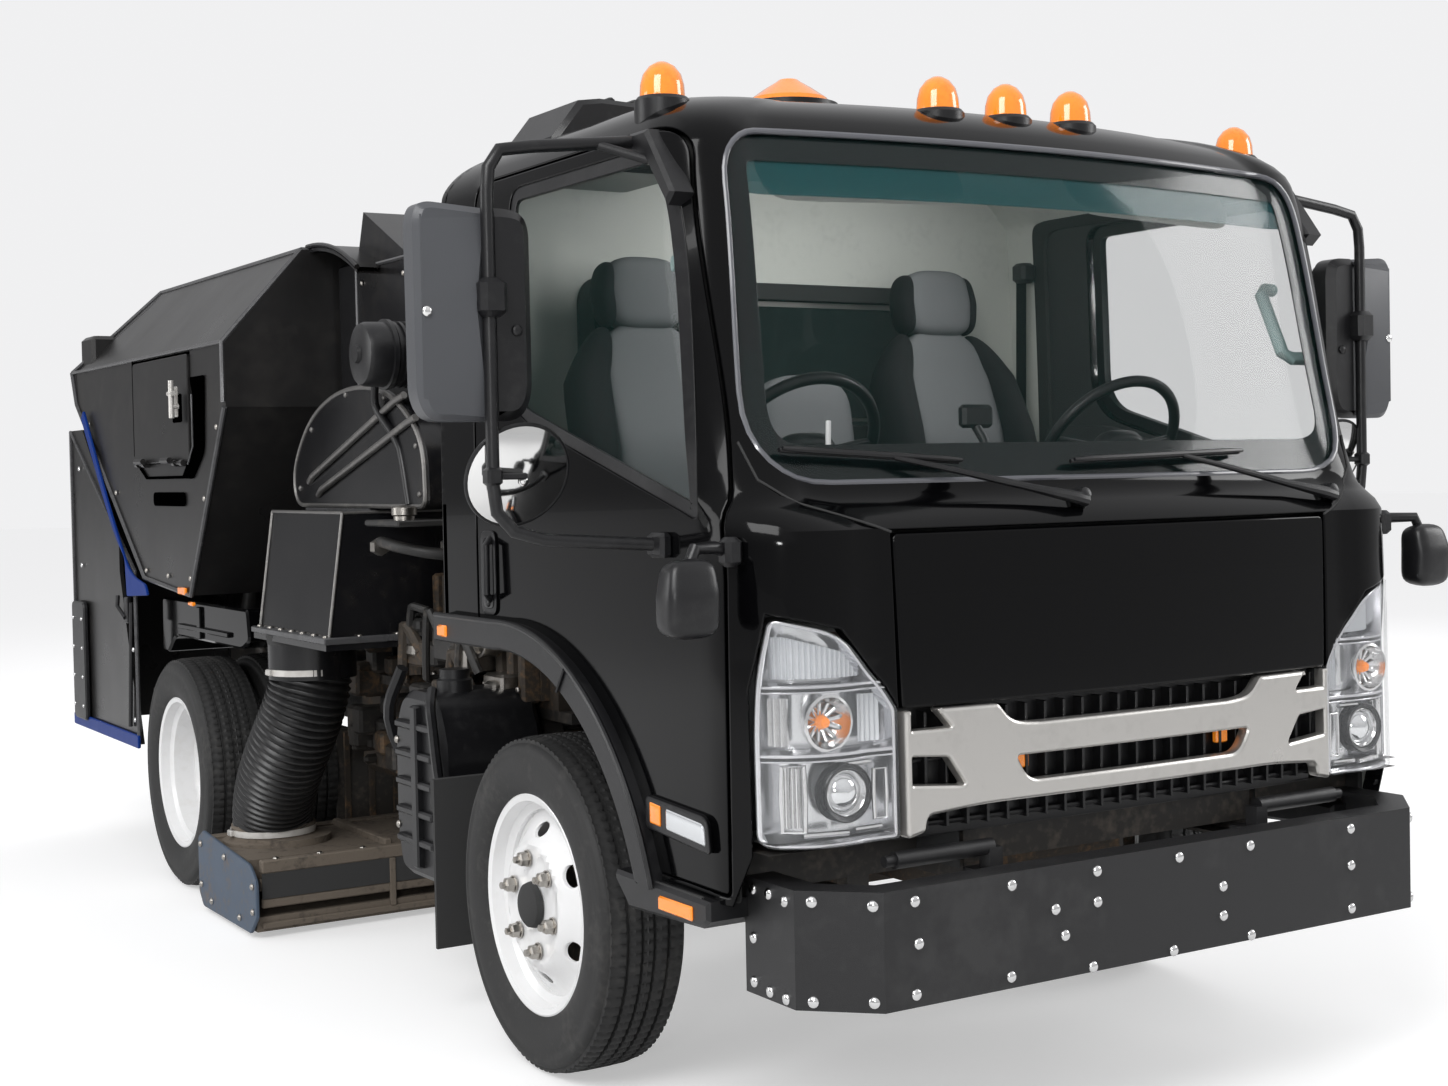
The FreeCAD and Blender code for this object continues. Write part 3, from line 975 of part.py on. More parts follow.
def build_machinery():
    """Deck, sweeper engine, belt guard, air cleaner, duct tower and suction chute."""
    deck_low = S.rail_base + S.rail_height + S.fit
    deck = block((-S.sweeper_right, behind(S.deck_front), deck_low),
                 (S.sweeper_right, behind(S.deck_back), deck_low + S.deck_thickness))
    keep("deck", deck)
    base = deck_low + S.deck_thickness
    engine = block((-S.sweeper_right, behind(S.sweeper_front), base),
                   (S.sweeper_left, behind(S.sweeper_back), S.sweeper_high))
    ribs = [block((-S.sweeper_right - S.sweeper_rib, behind(S.sweeper_front) + S.sweeper_rib * (i * 3 + 2), base + S.sweeper_rib),
                  (-S.sweeper_right, behind(S.sweeper_front) + S.sweeper_rib * (i * 3 + 3), S.sweeper_high - S.sweeper_rib))
            for i in range(8)]
    keep("sweeper_engine", fused([engine] + ribs))

    front, back, low, high = S.guard_front, S.guard_back, S.chute_high + S.fit, S.guard_high
    radius = S.guard_radius
    outline = [
        (behind(front), low), (behind(back - radius / 2), low), (behind(back), low + radius * 0.45),
        ((behind(back - radius * 0.3), high - radius * 0.3), (behind(back - radius), high)),
        (behind(front + radius), high), ((behind(front + radius * 0.3), high - radius * 0.3), (behind(front), high - radius)),
    ]
    guard = slab("YZ", outline, -S.guard_half, S.guard_depth)
    keep("belt_guard", made_of(guard))

    body = rod("x", (-S.cleaner_half, behind(S.cleaner_set), S.cleaner_height), S.cleaner_radius, S.cleaner_length)
    neck = rod("x", (-S.cleaner_half + S.cleaner_length / 3, behind(S.cleaner_set), S.cleaner_height),
               S.cleaner_radius + S.cleaner_step, S.cleaner_step * 2)
    foot = block((-S.guard_half + S.cleaner_step, behind(S.cleaner_set) - S.cleaner_step, S.guard_high - S.cleaner_radius),
                 (-S.guard_half + S.guard_depth - S.cleaner_step, behind(S.cleaner_set) + S.cleaner_step,
                  S.cleaner_height))
    keep("air_cleaner", cut(fused([body, neck, foot]), made_of(guard)))

    tower = [
        (behind(S.tower_front), S.chute_high + S.fit), (behind(S.tower_back), S.chute_high + S.fit),
        (behind(S.tower_back), S.tower_high), (behind(S.tower_back - S.tower_wall * 6), S.tower_peak),
        (behind(S.tower_front), S.tower_high),
    ]
    keep("duct_tower", prism("YZ", tower, -S.tower_right, S.tower_right + S.tower_left))

    lip = S.chute_lip
    side = [(-S.chute_outer_low, S.chute_low), (-S.chute_inner, S.chute_low), (-S.chute_inner, S.chute_high),
            (-S.chute_outer_high, S.chute_high)]
    chute = prism("XZ", side, behind(S.chute_front), S.chute_back - S.chute_front)
    rim = block((-S.chute_outer_low - lip, behind(S.chute_front) - lip, S.chute_low - S.chute_lip_height),
                (-S.chute_inner, behind(S.chute_back) + lip, S.chute_low))
    boot = rod("z", (-S.hose_top_half, behind(S.hose_top_set), S.hose_top + S.fit), S.boot_radius,
               S.chute_low - S.chute_lip_height - S.hose_top - S.fit)
    legs = [block((-S.sweeper_right + S.cleaner_step, behind(S.chute_front) + start, base),
                  (-S.chute_inner - S.cleaner_step, behind(S.chute_front) + start + S.flap_thickness,
                   S.chute_low - S.chute_lip_height))
            for start in (S.overrun, S.chute_back - S.chute_front - S.overrun * 2)]
    keep("suction_chute", fused([chute, rim, boot] + legs))


def build_tanks_and_flaps():
    """The bracketed tanks behind the cab's corners and the flaps behind the front wheels."""
    right = block((-S.tank_outer, behind(S.tank_front), S.tank_low), (-S.tank_inner, behind(S.tank_back), S.tank_high))
    left = block((S.tank_inner, behind(S.left_tank_front), S.left_tank_low),
                 (S.tank_outer, behind(S.left_tank_back), S.left_tank_high))
    arms = []
    for side, tank_front, tank_back, height in ((-1, S.tank_front, S.tank_back, S.tank_high),
                                                (1, S.left_tank_front, S.left_tank_back, S.left_tank_high)):
        y = behind((tank_front + tank_back) / 2)
        ends = sorted((S.tank_inner * side, (S.rail_half + S.fit) * side), key=float)
        arms.append(block((ends[0], y - S.flap_thickness * 2, S.rail_base + S.flap_thickness * 2),
                          (ends[1], y + S.flap_thickness * 2, S.rail_base + S.rail_height / 2)))
    keep("side_tanks", group([fused([right, arms[0]]), fused([left, arms[1]])]))
    flap = block((-S.flap_outer, behind(S.flap_set), S.flap_low),
                 (-S.flap_inner, behind(S.flap_set) + S.flap_thickness, S.flap_high))
    hanger = block((-S.flap_outer, behind(S.flap_set), S.flap_high),
                   (-(S.rail_half + S.fit), behind(S.flap_set) + S.flap_thickness * 2, S.flap_high + S.cross_width))
    both("mud_flaps", fused([flap, hanger]))


def build_hoses():
    """The suction hose on the right and the blast hose on the left."""
    hoses = []
    for side in (-1, 1):
        top = vec(S.hose_top_half * side, behind(S.hose_top_set), S.hose_top)
        low = vec(S.hose_bottom_half * side, behind(S.hose_bottom_set), S.hose_bottom + S.fit)
        drop = Vector(0, 0, float(S.hose_drop))
        hoses.append(tube([top, top - drop, low + drop, low], float(S.hose_radius), S.hose_bend))
    keep("air_hoses", made_of(Part.makeCompound(hoses)))
    boot = rod("z", (S.hose_top_half, behind(S.hose_top_set), S.hose_top + S.fit), S.boot_radius,
               S.chute_low - S.hose_top - S.fit)
    elbow = block((S.chute_inner, behind(S.chute_front), S.chute_low),
                  (S.chute_outer_low, behind(S.chute_back), S.chute_high))
    base = S.rail_base + S.rail_height + S.fit + S.deck_thickness
    legs = [block((S.chute_inner + S.cleaner_step, behind(S.chute_front) + start, base),
                  (S.sweeper_right - S.cleaner_step, behind(S.chute_front) + start + S.flap_thickness, S.chute_low))
            for start in (S.overrun, S.chute_back - S.chute_front - S.overrun * 2)]
    keep("blast_chute", fused([boot, elbow] + legs))


def build_head():
    """Pickup head: deck, rear wall, mouth bar and the bolted side plates."""
    front, back, half = behind(S.head_front), behind(S.head_back), S.head_half
    plate, low, top = S.head_plate, S.head_clear, S.head_top
    outer = [
        (front, low), (back, low), (back, top), (front + S.head_mouth, top), (front + S.head_mouth, top - S.head_mouth),
        (back - S.head_mouth * 2, top - S.head_mouth), (back - S.head_mouth * 2, low + S.head_bar * 2),
        (front + S.head_bar, low + S.head_bar), (front, low + S.head_bar),
    ]
    inside = [
        (front + S.head_bar, low + plate), (back - plate, low + plate), (back - plate, top - plate),
        (front + S.head_mouth + plate, top - plate), (front + S.head_mouth + plate, top - plate * 2),
        (back - plate * 3, top - plate * 2), (back - plate * 3, low + plate * 2), (front + S.head_bar, low + plate * 2),
    ]
    body = prism("YZ", outer, -half, half * 2)
    collars = [rod("z", (S.hose_bottom_half * side, behind(S.hose_bottom_set), top), S.hose_radius,
                   S.hose_bottom - top) for side in (-1, 1)]
    keep("pickup_head", fused([body] + collars))
    cut_corner = S.side_plate_cut
    outline = [
        (front - S.head_bar / 2, S.side_plate_low), (back - cut_corner, S.side_plate_low),
        (back, S.side_plate_low + cut_corner), (back, S.side_plate_high),
        (front - S.head_bar / 2 + cut_corner / 2, S.side_plate_high),
        (front - S.head_bar / 2, S.side_plate_high - cut_corner / 2),
    ]
    both("head_side_plates", prism("YZ", outline, -half - S.side_plate, S.side_plate))


def hopper_profile(inset):
    """The hopper from the side, its walls moved inwards by an inset."""
    return [
        (behind(S.hopper_front + inset), S.hopper_knee + inset * 0.4),
        (behind(S.hopper_toe + inset * 0.8), S.hopper_low + inset), (behind(S.hopper_heel - inset * 0.2), S.hopper_heel_height + inset),
        (behind(S.hopper_tail - inset), S.hopper_tail_height + inset * 0.8),
        (behind(S.hopper_tip - inset), S.hopper_tip_height), (behind(S.hopper_roof_rear - inset), S.hopper_roof - inset),
        (behind(S.hopper_front + inset), S.hopper_roof - inset),
    ]


def hopper_form(inset):
    """The hopper's closed form: its side outline less the two sloping upper edges."""
    half = S.hopper_half - inset
    body = slab("YZ", hopper_profile(inset), -half, half * 2)
    edge = S.roof_edge_half - inset * 0.4
    section = [
        (-half, S.hopper_low - S.overrun), (half, S.hopper_low - S.overrun), (half, S.shoulder_front - inset * 0.4),
        (edge, S.hopper_roof - inset), (-edge, S.hopper_roof - inset), (-half, S.shoulder_front - inset * 0.4),
    ]
    return body.common(slab("XZ", section, behind(S.hopper_front - S.overrun), S.hopper_tip - S.hopper_front + S.overrun * 2))


def build_hopper():
    """Hopper shell with its rear door and side hatches."""
    wall = S.hopper_wall
    outer, inner = hopper_form(ZERO), hopper_form(wall)
    door_reach = [
        (behind(S.hopper_tail - S.seam), S.hopper_tail_height - S.overrun),
        (behind(S.hopper_tip + S.overrun), S.hopper_tail_height - S.overrun),
        (behind(S.hopper_tip + S.overrun), S.hopper_roof + S.overrun),
        (behind(S.hopper_roof_rear - wall * 2), S.hopper_roof + S.overrun),
        (behind(S.hopper_roof_rear - wall * 2), S.hopper_roof - S.rear_door_thickness * 2),
        (behind(S.hopper_tip - S.rear_door_thickness * 2), S.hopper_tip_height),
    ]
    half = S.hopper_half
    opening = slab("YZ", door_reach, -half - S.overrun, half * 2 + S.overrun * 2)
    hatch_hole = box_shape((-half - wall, behind(S.hatch_front), S.hatch_low),
                           (-half + wall * 2, behind(S.hatch_back), S.hatch_high))
    shell = outer.cut([inner, opening, hatch_hole])
    lug = S.hinge_boss / 2
    eyes = []
    for side in (-1, 1):
        x = S.lift_half * side
        eye = Part.makeCylinder(float(S.lift_eye_radius), float(S.hopper_wall * 2),
                                vec(x + S.lift_eye_radius + S.seam, behind(S.lift_eye_set), S.lift_eye_height), Vector(1, 0, 0))
        web = box_shape((x + S.lift_eye_radius + S.seam, behind(S.lift_eye_set) - lug, S.lift_eye_height),
                        (x + S.lift_eye_radius + S.seam + S.hopper_wall * 2, behind(S.lift_eye_set) + lug,
                         S.lift_eye_height + S.lift_eye_radius * 2.2))
        eyes += [eye, web]
    pin_reach = S.rail_half - S.rail_width / 2 + S.hinge_boss / 2 + S.seam
    for side in (-1, 1):
        start = pin_reach if side > 0 else -(pin_reach + S.hopper_wall)
        eye = Part.makeCylinder(float(S.hinge_eye), float(S.hopper_wall),
                                vec(start, behind(S.hinge_set), S.hinge_height), Vector(1, 0, 0))
        web = slab("YZ", [
            (behind(S.hinge_set) - S.hinge_eye, S.hinge_height), (behind(S.hinge_set) + S.hinge_eye, S.hinge_height),
            (behind(S.hopper_tail) + S.seam, S.hopper_tail_height + S.seam),
            (behind(S.hinge_set) - S.hinge_eye, S.hopper_tail_height + S.seam),
        ], start, S.hopper_wall)
        bore = Part.makeCylinder(float(S.hinge_radius + S.hinge_play), float(S.hopper_wall) * 3,
                                 vec(start - S.hopper_wall, behind(S.hinge_set), S.hinge_height), Vector(1, 0, 0))
        eyes.append(eye.fuse(web).cut(bore))
    shell = shell.fuse(eyes).cut(inner)
    hinge_y, hinge_z = behind(S.hopper_roof_rear) - wall * 2 + S.seam, S.hopper_roof + S.lid_hinge_rise
    fixed, moving = [], []
    for x in (-S.lid_hinge_half, S.lid_hinge_half):
        pin, knuckle = hinge(vec(x, hinge_y, hinge_z), Vector(1, 0, 0), Vector(0, -1, 0), Vector(0, 1, 0), Vector(0, 0, -1))
        fixed += pin
        moving += knuckle
    hatch_pins, hatch_knuckles = [], []
    for y in (S.hatch_front + S.overrun * 2, S.hatch_back - S.overrun * 2):
        pin, knuckle = hinge(vec(-half - S.hatch_hinge_out, behind(y), S.hatch_low), Vector(0, 1, 0),
                             Vector(0, 0, -1), Vector(0, 0, 1), Vector(1, 0, 0))
        hatch_pins += pin
        hatch_knuckles += knuckle
    shell = shell.fuse(fixed + hatch_pins).cut(inner)
    keep("hopper_shell", made_of(max(shell.Solids, key=lambda solid: solid.Volume)))
    door_wall = hopper_form(S.rear_door_thickness)
    shrunk = [(y + S.seam * 1.4, z) for y, z in door_reach]
    door = outer.cut(door_wall).common(slab("YZ", shrunk, -half - S.overrun, half * 2 + S.overrun * 2))
    door = max(door.Solids, key=lambda solid: solid.Volume).fuse(moving)
    keep("hopper_door", made_of(solid_of(door)))
    gap = S.hatch_gap
    hatch = box_shape((-half, behind(S.hatch_front) + gap, S.hatch_low + gap),
                      (-half + wall, behind(S.hatch_back) - gap, S.hatch_high - gap)).fuse(hatch_knuckles)
    keep("side_hatch", made_of(solid_of(hatch)))


def hinge(centre, axis, to_fixed, to_moving, to_skin):
    """A pin with two ears on the fixed side and a knuckle on the moving side, joined to a skin below the axis."""
    pin, barrel, width = float(S.small_pin), float(S.small_barrel), float(S.small_knuckle)
    gap, depth = float(S.seam) / 5, float(S.lid_hinge_rise) + float(S.seam)

    def web(start, length, side):
        corner = centre + axis * start
        plate = Part.Face(Part.makePolygon([
            corner + side * barrel * 0.2, corner + side * barrel, corner + side * barrel + to_skin * depth,
            corner + side * barrel * 0.35 + to_skin * depth, corner + side * barrel * 0.2,
        ]))
        return plate.extrude(axis * length)

    knuckle = Part.makeCylinder(barrel, width, centre - axis * width / 2, axis)
    bore = Part.makeCylinder(pin + float(S.hinge_play), width * 2, centre - axis * width, axis)
    knuckle = knuckle.fuse(web(-width / 2, width, to_moving)).cut(bore)
    ears = [Part.makeCylinder(pin, width * 2 + gap * 2, centre - axis * (width + gap), axis)]
    for start in (-width - gap, width / 2 + gap):
        ears.append(Part.makeCylinder(barrel, width / 2, centre + axis * start, axis))
        ears.append(web(start, width / 2, to_fixed))
    return ears, [knuckle]


def build_rear_body():
    """Fixed side panels behind the rear wheels, the rear bar, the hinge posts and the tail lamps."""
    thick = S.rear_panel_thickness
    outline = [
        (behind(S.rear_panel_front), S.rear_panel_low), (behind(S.rear_panel_back), S.rear_panel_low),
        (behind(S.rear_panel_back), S.rear_panel_high), (behind(S.hopper_tail) - S.overrun, S.rear_panel_high),
        (behind(S.rear_panel_slant), S.rear_panel_mid + S.overrun), (behind(S.rear_panel_slant), S.rear_panel_mid - S.overrun),
    ]
    both("rear_side_panels", prism("YZ", outline, -S.hopper_half, thick))
    inner = S.hopper_half - thick
    back = behind(S.rear_panel_back)
    wall = block((-inner, back - thick, S.rear_panel_low), (inner, back, S.rear_panel_high))
    posts = []
    for side in (-1, 1):
        x = (S.rail_half - S.rail_width / 2) * side
        posts.append(prism("YZ", [
            (behind(S.hinge_set) - S.hinge_eye, S.rear_panel_low + S.overrun), (back - thick, S.rear_panel_low + S.overrun),
            (back - thick, S.rear_panel_high), (behind(S.hinge_set) + S.hinge_eye, S.hinge_height),
            (behind(S.hinge_set) - S.hinge_eye, S.hinge_height),
        ], x - S.hinge_boss / 2, S.hinge_boss))
        posts.append(rod("x", (x - S.hinge_boss / 2, behind(S.hinge_set), S.hinge_height), S.hinge_eye, S.hinge_boss))
        pin_length = S.hinge_boss + S.seam * 2 + S.hopper_wall + S.seam
        start = x - S.hinge_boss / 2 if side > 0 else x + S.hinge_boss / 2 - pin_length
        posts.append(rod("x", (start, behind(S.hinge_set), S.hinge_height), S.hinge_radius, pin_length))
    bar = block((-inner, back, S.rear_bar_low), (inner, behind(S.rear_reach), S.rear_bar_high))
    ties = [block((x, behind(S.rail_rear), S.rail_base), (x + S.rail_width, back - thick, S.rail_base + S.rail_height))
            for x in (-S.rail_half, S.rail_half - S.rail_width)]
    keep("rear_panel", fused([wall, bar] + posts + ties))
    lamps = [rod("y", (x, behind(S.rear_reach) - S.tail_lamp_depth, S.tail_lamp_height), S.tail_lamp_radius, S.tail_lamp_depth)
             for x in (-S.tail_lamp_half, S.tail_lamp_half)]
    holes = [rod("y", (x, behind(S.rear_reach) - S.tail_lamp_depth, S.tail_lamp_height), S.tail_lamp_radius, S.overrun)
             for x in (-S.tail_lamp_half, S.tail_lamp_half)]
    keep("rear_panel", cut(fused([wall, bar] + posts + ties), *holes))
    keep("tail_lamps", group(lamps))


def build_lift():
    """Two cylinders that tip the hopper: barrels on the frame and their rods."""
    foot = vec(ZERO, behind(S.lift_foot_set), S.lift_foot_height)
    eye = vec(ZERO, behind(S.lift_eye_set), S.lift_eye_height)
    way = (eye - foot).normalize()
    barrels, rods = [], []
    for side in (-1, 1):
        shift = Vector(float(S.lift_half) * side, 0, 0)
        clear = float(S.lift_eye_radius)
        barrel = Part.makeCylinder(float(S.lift_barrel_radius), float(S.lift_barrel_length) - clear * 0.8,
                                   foot + shift + way * clear * 0.8, way)
        pin_bore = Part.makeCylinder(float(S.lift_pin_radius + S.hinge_play), clear * 4,
                                     foot + shift - Vector(clear * 2, 0, 0), Vector(1, 0, 0))
        bore = Part.makeCylinder(float(S.lift_rod_radius) + float(S.lift_gap), float(S.lift_barrel_length),
                                 foot + shift + way * float(S.lift_barrel_radius) * 1.5, way)
        eye_foot = Part.makeCylinder(float(S.lift_eye_radius), float(S.lift_eye_radius),
                                     foot + shift - Vector(float(S.lift_eye_radius) / 2, 0, 0), Vector(1, 0, 0))
        barrels.append(barrel.fuse(eye_foot).cut([bore, pin_bore]))
        length = (eye - foot).Length - float(S.lift_barrel_radius) * 2
        rod_bar = Part.makeCylinder(float(S.lift_rod_radius), length, foot + shift + way * float(S.lift_barrel_radius) * 2, way)
        eye_top = Part.makeCylinder(float(S.lift_eye_radius), float(S.lift_eye_radius),
                                    eye + shift - Vector(float(S.lift_eye_radius) / 2, 0, 0), Vector(1, 0, 0))
        rods.append(rod_bar.fuse(eye_top))
    keep("lift_barrels", made_of(Part.makeCompound(barrels)))
    keep("lift_rods", made_of(Part.makeCompound(rods)))


def check(thing):
    """Stops on a failed object or an empty or broken shape."""
    if {"Invalid", "Error"} & set(thing.State):
        raise RuntimeError(f"{thing.Label} failed: {thing.State}")


def main():
    """Builds every sub-part, checks them and writes one file for each."""
    build_cab()
    build_flares_and_steps()
    build_roof()
    build_mirrors()
    build_interior()
    build_wheels()
    build_front_axle()
    build_rear_axle()
    build_frame()
    build_machinery()
    build_tanks_and_flaps()
    build_hoses()
    build_head()
    build_hopper()
    build_rear_body()
    build_lift()
    doc.recompute()
    for thing in doc.Objects:
        check(thing)
    os.makedirs("parts", exist_ok=True)
    for label, thing in NODES.items():
        shape = thing.Shape
        if shape.isNull() or not shape.isValid():
            print("BAD", label)
            continue
        shape.exportStep(f"parts/{label}.step")
        box = shape.BoundBox
        print(label, len(shape.Solids), [round(v) for v in (box.XMin, box.XMax, box.YMin, box.YMax, box.ZMin, box.ZMax)])


main()
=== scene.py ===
"""Street sweeper truck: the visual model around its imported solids.

Lengths are in metres: +X is the truck's left, the cab faces -Y and +Z is up. Solids are built with y
measured from the front axle, and Solid.put moves them into the row frame, where that axle stands at AXLE.
"""
import logging
import math
from dataclasses import dataclass, fields
from enum import Enum
from typing import Callable, Optional, Sequence

import bmesh
import bpy
import numpy as np
from mathutils import Matrix, Vector
from mathutils.geometry import delaunay_2d_cdt, tessellate_polygon


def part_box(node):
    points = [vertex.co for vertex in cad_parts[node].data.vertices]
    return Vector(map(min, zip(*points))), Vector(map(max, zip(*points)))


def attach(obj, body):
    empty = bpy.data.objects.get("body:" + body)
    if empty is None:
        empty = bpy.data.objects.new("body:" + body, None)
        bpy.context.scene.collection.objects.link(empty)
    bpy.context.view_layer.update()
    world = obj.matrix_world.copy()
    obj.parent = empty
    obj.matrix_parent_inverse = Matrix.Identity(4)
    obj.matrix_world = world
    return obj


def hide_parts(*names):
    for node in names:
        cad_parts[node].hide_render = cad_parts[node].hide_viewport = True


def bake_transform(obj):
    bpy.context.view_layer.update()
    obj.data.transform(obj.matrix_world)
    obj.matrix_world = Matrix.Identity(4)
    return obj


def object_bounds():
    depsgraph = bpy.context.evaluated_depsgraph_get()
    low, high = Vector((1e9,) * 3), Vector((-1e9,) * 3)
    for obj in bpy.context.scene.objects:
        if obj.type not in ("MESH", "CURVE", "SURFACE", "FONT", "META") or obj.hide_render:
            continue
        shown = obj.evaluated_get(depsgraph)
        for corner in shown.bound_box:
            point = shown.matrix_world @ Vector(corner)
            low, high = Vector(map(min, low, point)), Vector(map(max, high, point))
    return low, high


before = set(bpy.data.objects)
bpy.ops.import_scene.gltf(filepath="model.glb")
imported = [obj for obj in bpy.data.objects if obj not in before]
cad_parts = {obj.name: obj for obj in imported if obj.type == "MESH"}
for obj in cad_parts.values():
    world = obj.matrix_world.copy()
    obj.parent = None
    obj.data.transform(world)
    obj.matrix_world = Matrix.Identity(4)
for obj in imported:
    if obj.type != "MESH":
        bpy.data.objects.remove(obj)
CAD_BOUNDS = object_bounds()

logging.basicConfig(level=logging.INFO, format="%(message)s")
log = logging.getLogger("sweeper")

AXLE = -1.59
SIDES = ((-1.0, "right"), (1.0, "left"))
REACH_SHARE = 0.49
CORNER_STEPS = 9
MITRE_LIMIT = 0.35
CLEAR_SHARE = 0.45
Point = tuple[float, float, float]
Flat = tuple[float, float]


class Body(str, Enum):
    """The rigid bodies that pieces of this scene ride on."""

    CHASSIS = "chassis"
    CAB = "cab"
    DOOR_R = "door_r"
    DOOR_L = "door_l"
    WHEEL_R = "wheel_r"
    WHEEL_L = "wheel_l"
    FRONT_R = "front_r"
    FRONT_L = "front_l"
    REAR_R = "rear_r"
    REAR_L = "rear_l"
    HOPPER = "hopper"
    HATCH = "hatch"
    HEAD = "head"


class Wave:
    """A shader value with the usual arithmetic, so that a finish reads as a formula."""

    def __init__(self, tree: bpy.types.NodeTree, socket: bpy.types.NodeSocket) -> None:
        """Wraps one output socket of a node tree."""
        self.tree = tree
        self.socket = socket

    def _math(self, kind: str, *others: "Wave | float") -> "Wave":
        """A Math node of a kind on this value and the others.

        Args:
            kind: The node's operation.
            others: Its further inputs.

        Returns:
            The node's output.
        """
        node = self.tree.nodes.new("ShaderNodeMath")
        node.operation = kind
        self.tree.links.new(self.socket, node.inputs[0])
        for place, other in enumerate(others, start=1):
            if isinstance(other, Wave):
                self.tree.links.new(other.socket, node.inputs[place])
            else:
                node.inputs[place].default_value = float(other)
        return Wave(self.tree, node.outputs[0])

    def __add__(self, other: "Wave | float") -> "Wave":
        """Sum."""
        return self._math("ADD", other)

    def __sub__(self, other: "Wave | float") -> "Wave":
        """Difference."""
        return self._math("SUBTRACT", other)

    def __mul__(self, other: "Wave | float") -> "Wave":
        """Product."""
        return self._math("MULTIPLY", other)

    def clamp(self) -> "Wave":
        """Value held between 0 and 1."""
        return self._math("MAXIMUM", 0.0)._math("MINIMUM", 1.0)

    def power(self, exponent: float) -> "Wave":
        """Value raised to a power."""
        return self._math("POWER", exponent)


@dataclass(frozen=True)
class Finish:
    """One material: a base look, its cloudy wear, dust that gathers low down, and a fine bump."""

    name: str
    colour: Point
    rough: float = 0.5
    metal: float = 0.0
    coat: float = 0.0
    coat_rough: float = 0.05
    wear: Point = (0.1, 0.09, 0.08)
    wear_share: float = 0.0
    wear_scale: float = 6.0
    dust: float = 0.0
    dust_top: float = 0.9
    grain: float = 0.0
    grain_scale: float = 400.0
    rough_swing: float = 0.08
    alpha: float = 1.0
    glow: float = 0.0
    glow_colour: Point = (1.0, 1.0, 1.0)
    ior: float = 1.45

    GRAZING_POWER = 5.0
    GRAZING_SHARE = 0.7
    WEAR_LEVEL = 0.52
    WEAR_CONTRAST = 6.0
    FINE_RATIO = 7
    DUST_SWING = 0.8
    DUST_BASE = 0.35
    GRAIN_DEPTH = 0.002

    def build(self) -> bpy.types.Material:
        """Makes the material, or finds it if it was made before.

        The colour turns to the wear's where wear_share * contrast * (mean noise - level) and the dust, which
        fades to nothing at dust_top, add up. A see-through finish gets more solid at grazing angles:
        alpha + share * facing^power.

        Returns:
            The material.
        """
        made = bpy.data.materials.get(self.name)
        if made:
            return made
        made = bpy.data.materials.new(self.name)
        made.use_nodes = True
        tree = made.node_tree
        shader = tree.nodes["Principled BSDF"]
        for socket, value in (("Metallic", self.metal), ("Coat Weight", self.coat), ("IOR", self.ior),
                              ("Coat Roughness", self.coat_rough), ("Alpha", self.alpha)):
            shader.inputs[socket].default_value = value
        if self.alpha < 1.0:
            edge = tree.nodes.new("ShaderNodeLayerWeight")
            grazing = Wave(tree, edge.outputs["Facing"]).power(self.GRAZING_POWER)
            solidness = grazing * self.GRAZING_SHARE + self.alpha
            tree.links.new(solidness.clamp().socket, shader.inputs["Alpha"])
        if self.glow:
            shader.inputs["Emission Color"].default_value = (*self.glow_colour, 1.0)
            shader.inputs["Emission Strength"].default_value = self.glow
        place = tree.nodes.new("ShaderNodeTexCoord")
        clouds = self.noise(tree, place, self.wear_scale, 4.0)
        fine = self.noise(tree, place, self.wear_scale * self.FINE_RATIO, 3.0)
        rough = (clouds - 0.5) * (self.rough_swing * 2) + self.rough
        tree.links.new(rough.clamp().socket, shader.inputs["Roughness"])
        split = tree.nodes.new("ShaderNodeSeparateXYZ")
        tree.links.new(place.outputs["Object"], split.inputs[0])
        height = Wave(tree, split.outputs["Z"])
        worn = ((clouds + fine) * 0.5 - self.WEAR_LEVEL) * self.WEAR_CONTRAST
        worn = worn.clamp() * self.wear_share
        low = (height * (-1.0 / self.dust_top) + 1.0).clamp() * self.dust
        amount = (worn + low * (fine * self.DUST_SWING + self.DUST_BASE)).clamp()
        mix = tree.nodes.new("ShaderNodeMix")
        mix.data_type = "RGBA"
        mix.inputs["A"].default_value = (*self.colour, 1.0)
        mix.inputs["B"].default_value = (*self.wear, 1.0)
        tree.links.new(amount.socket, mix.inputs["Factor"])
        tree.links.new(mix.outputs["Result"], shader.inputs["Base Color"])
        if self.grain:
            bump = tree.nodes.new("ShaderNodeBump")
            bump.inputs["Strength"].default_value = self.grain
            bump.inputs["Distance"].default_value = self.GRAIN_DEPTH
            tree.links.new(self.noise(tree, place, self.grain_scale, 2.0).socket, bump.inputs["Height"])
            tree.links.new(bump.outputs[0], shader.inputs["Normal"])
        return made

    @staticmethod
    def noise(tree: bpy.types.NodeTree, place: bpy.types.Node, scale: float, detail: float) -> Wave:
        """Cloudy noise over object coordinates.

        Args:
            tree: The node tree.
            place: Its texture coordinate node.
            scale: Clouds to a metre.
            detail: Octaves.

        Returns:
            The noise, about 0 to 1.
        """
        node = tree.nodes.new("ShaderNodeTexNoise")
        node.inputs["Scale"].default_value = scale
        node.inputs["Detail"].default_value = detail
        tree.links.new(place.outputs["Object"], node.inputs["Vector"])
        return Wave(tree, node.outputs["Fac"])


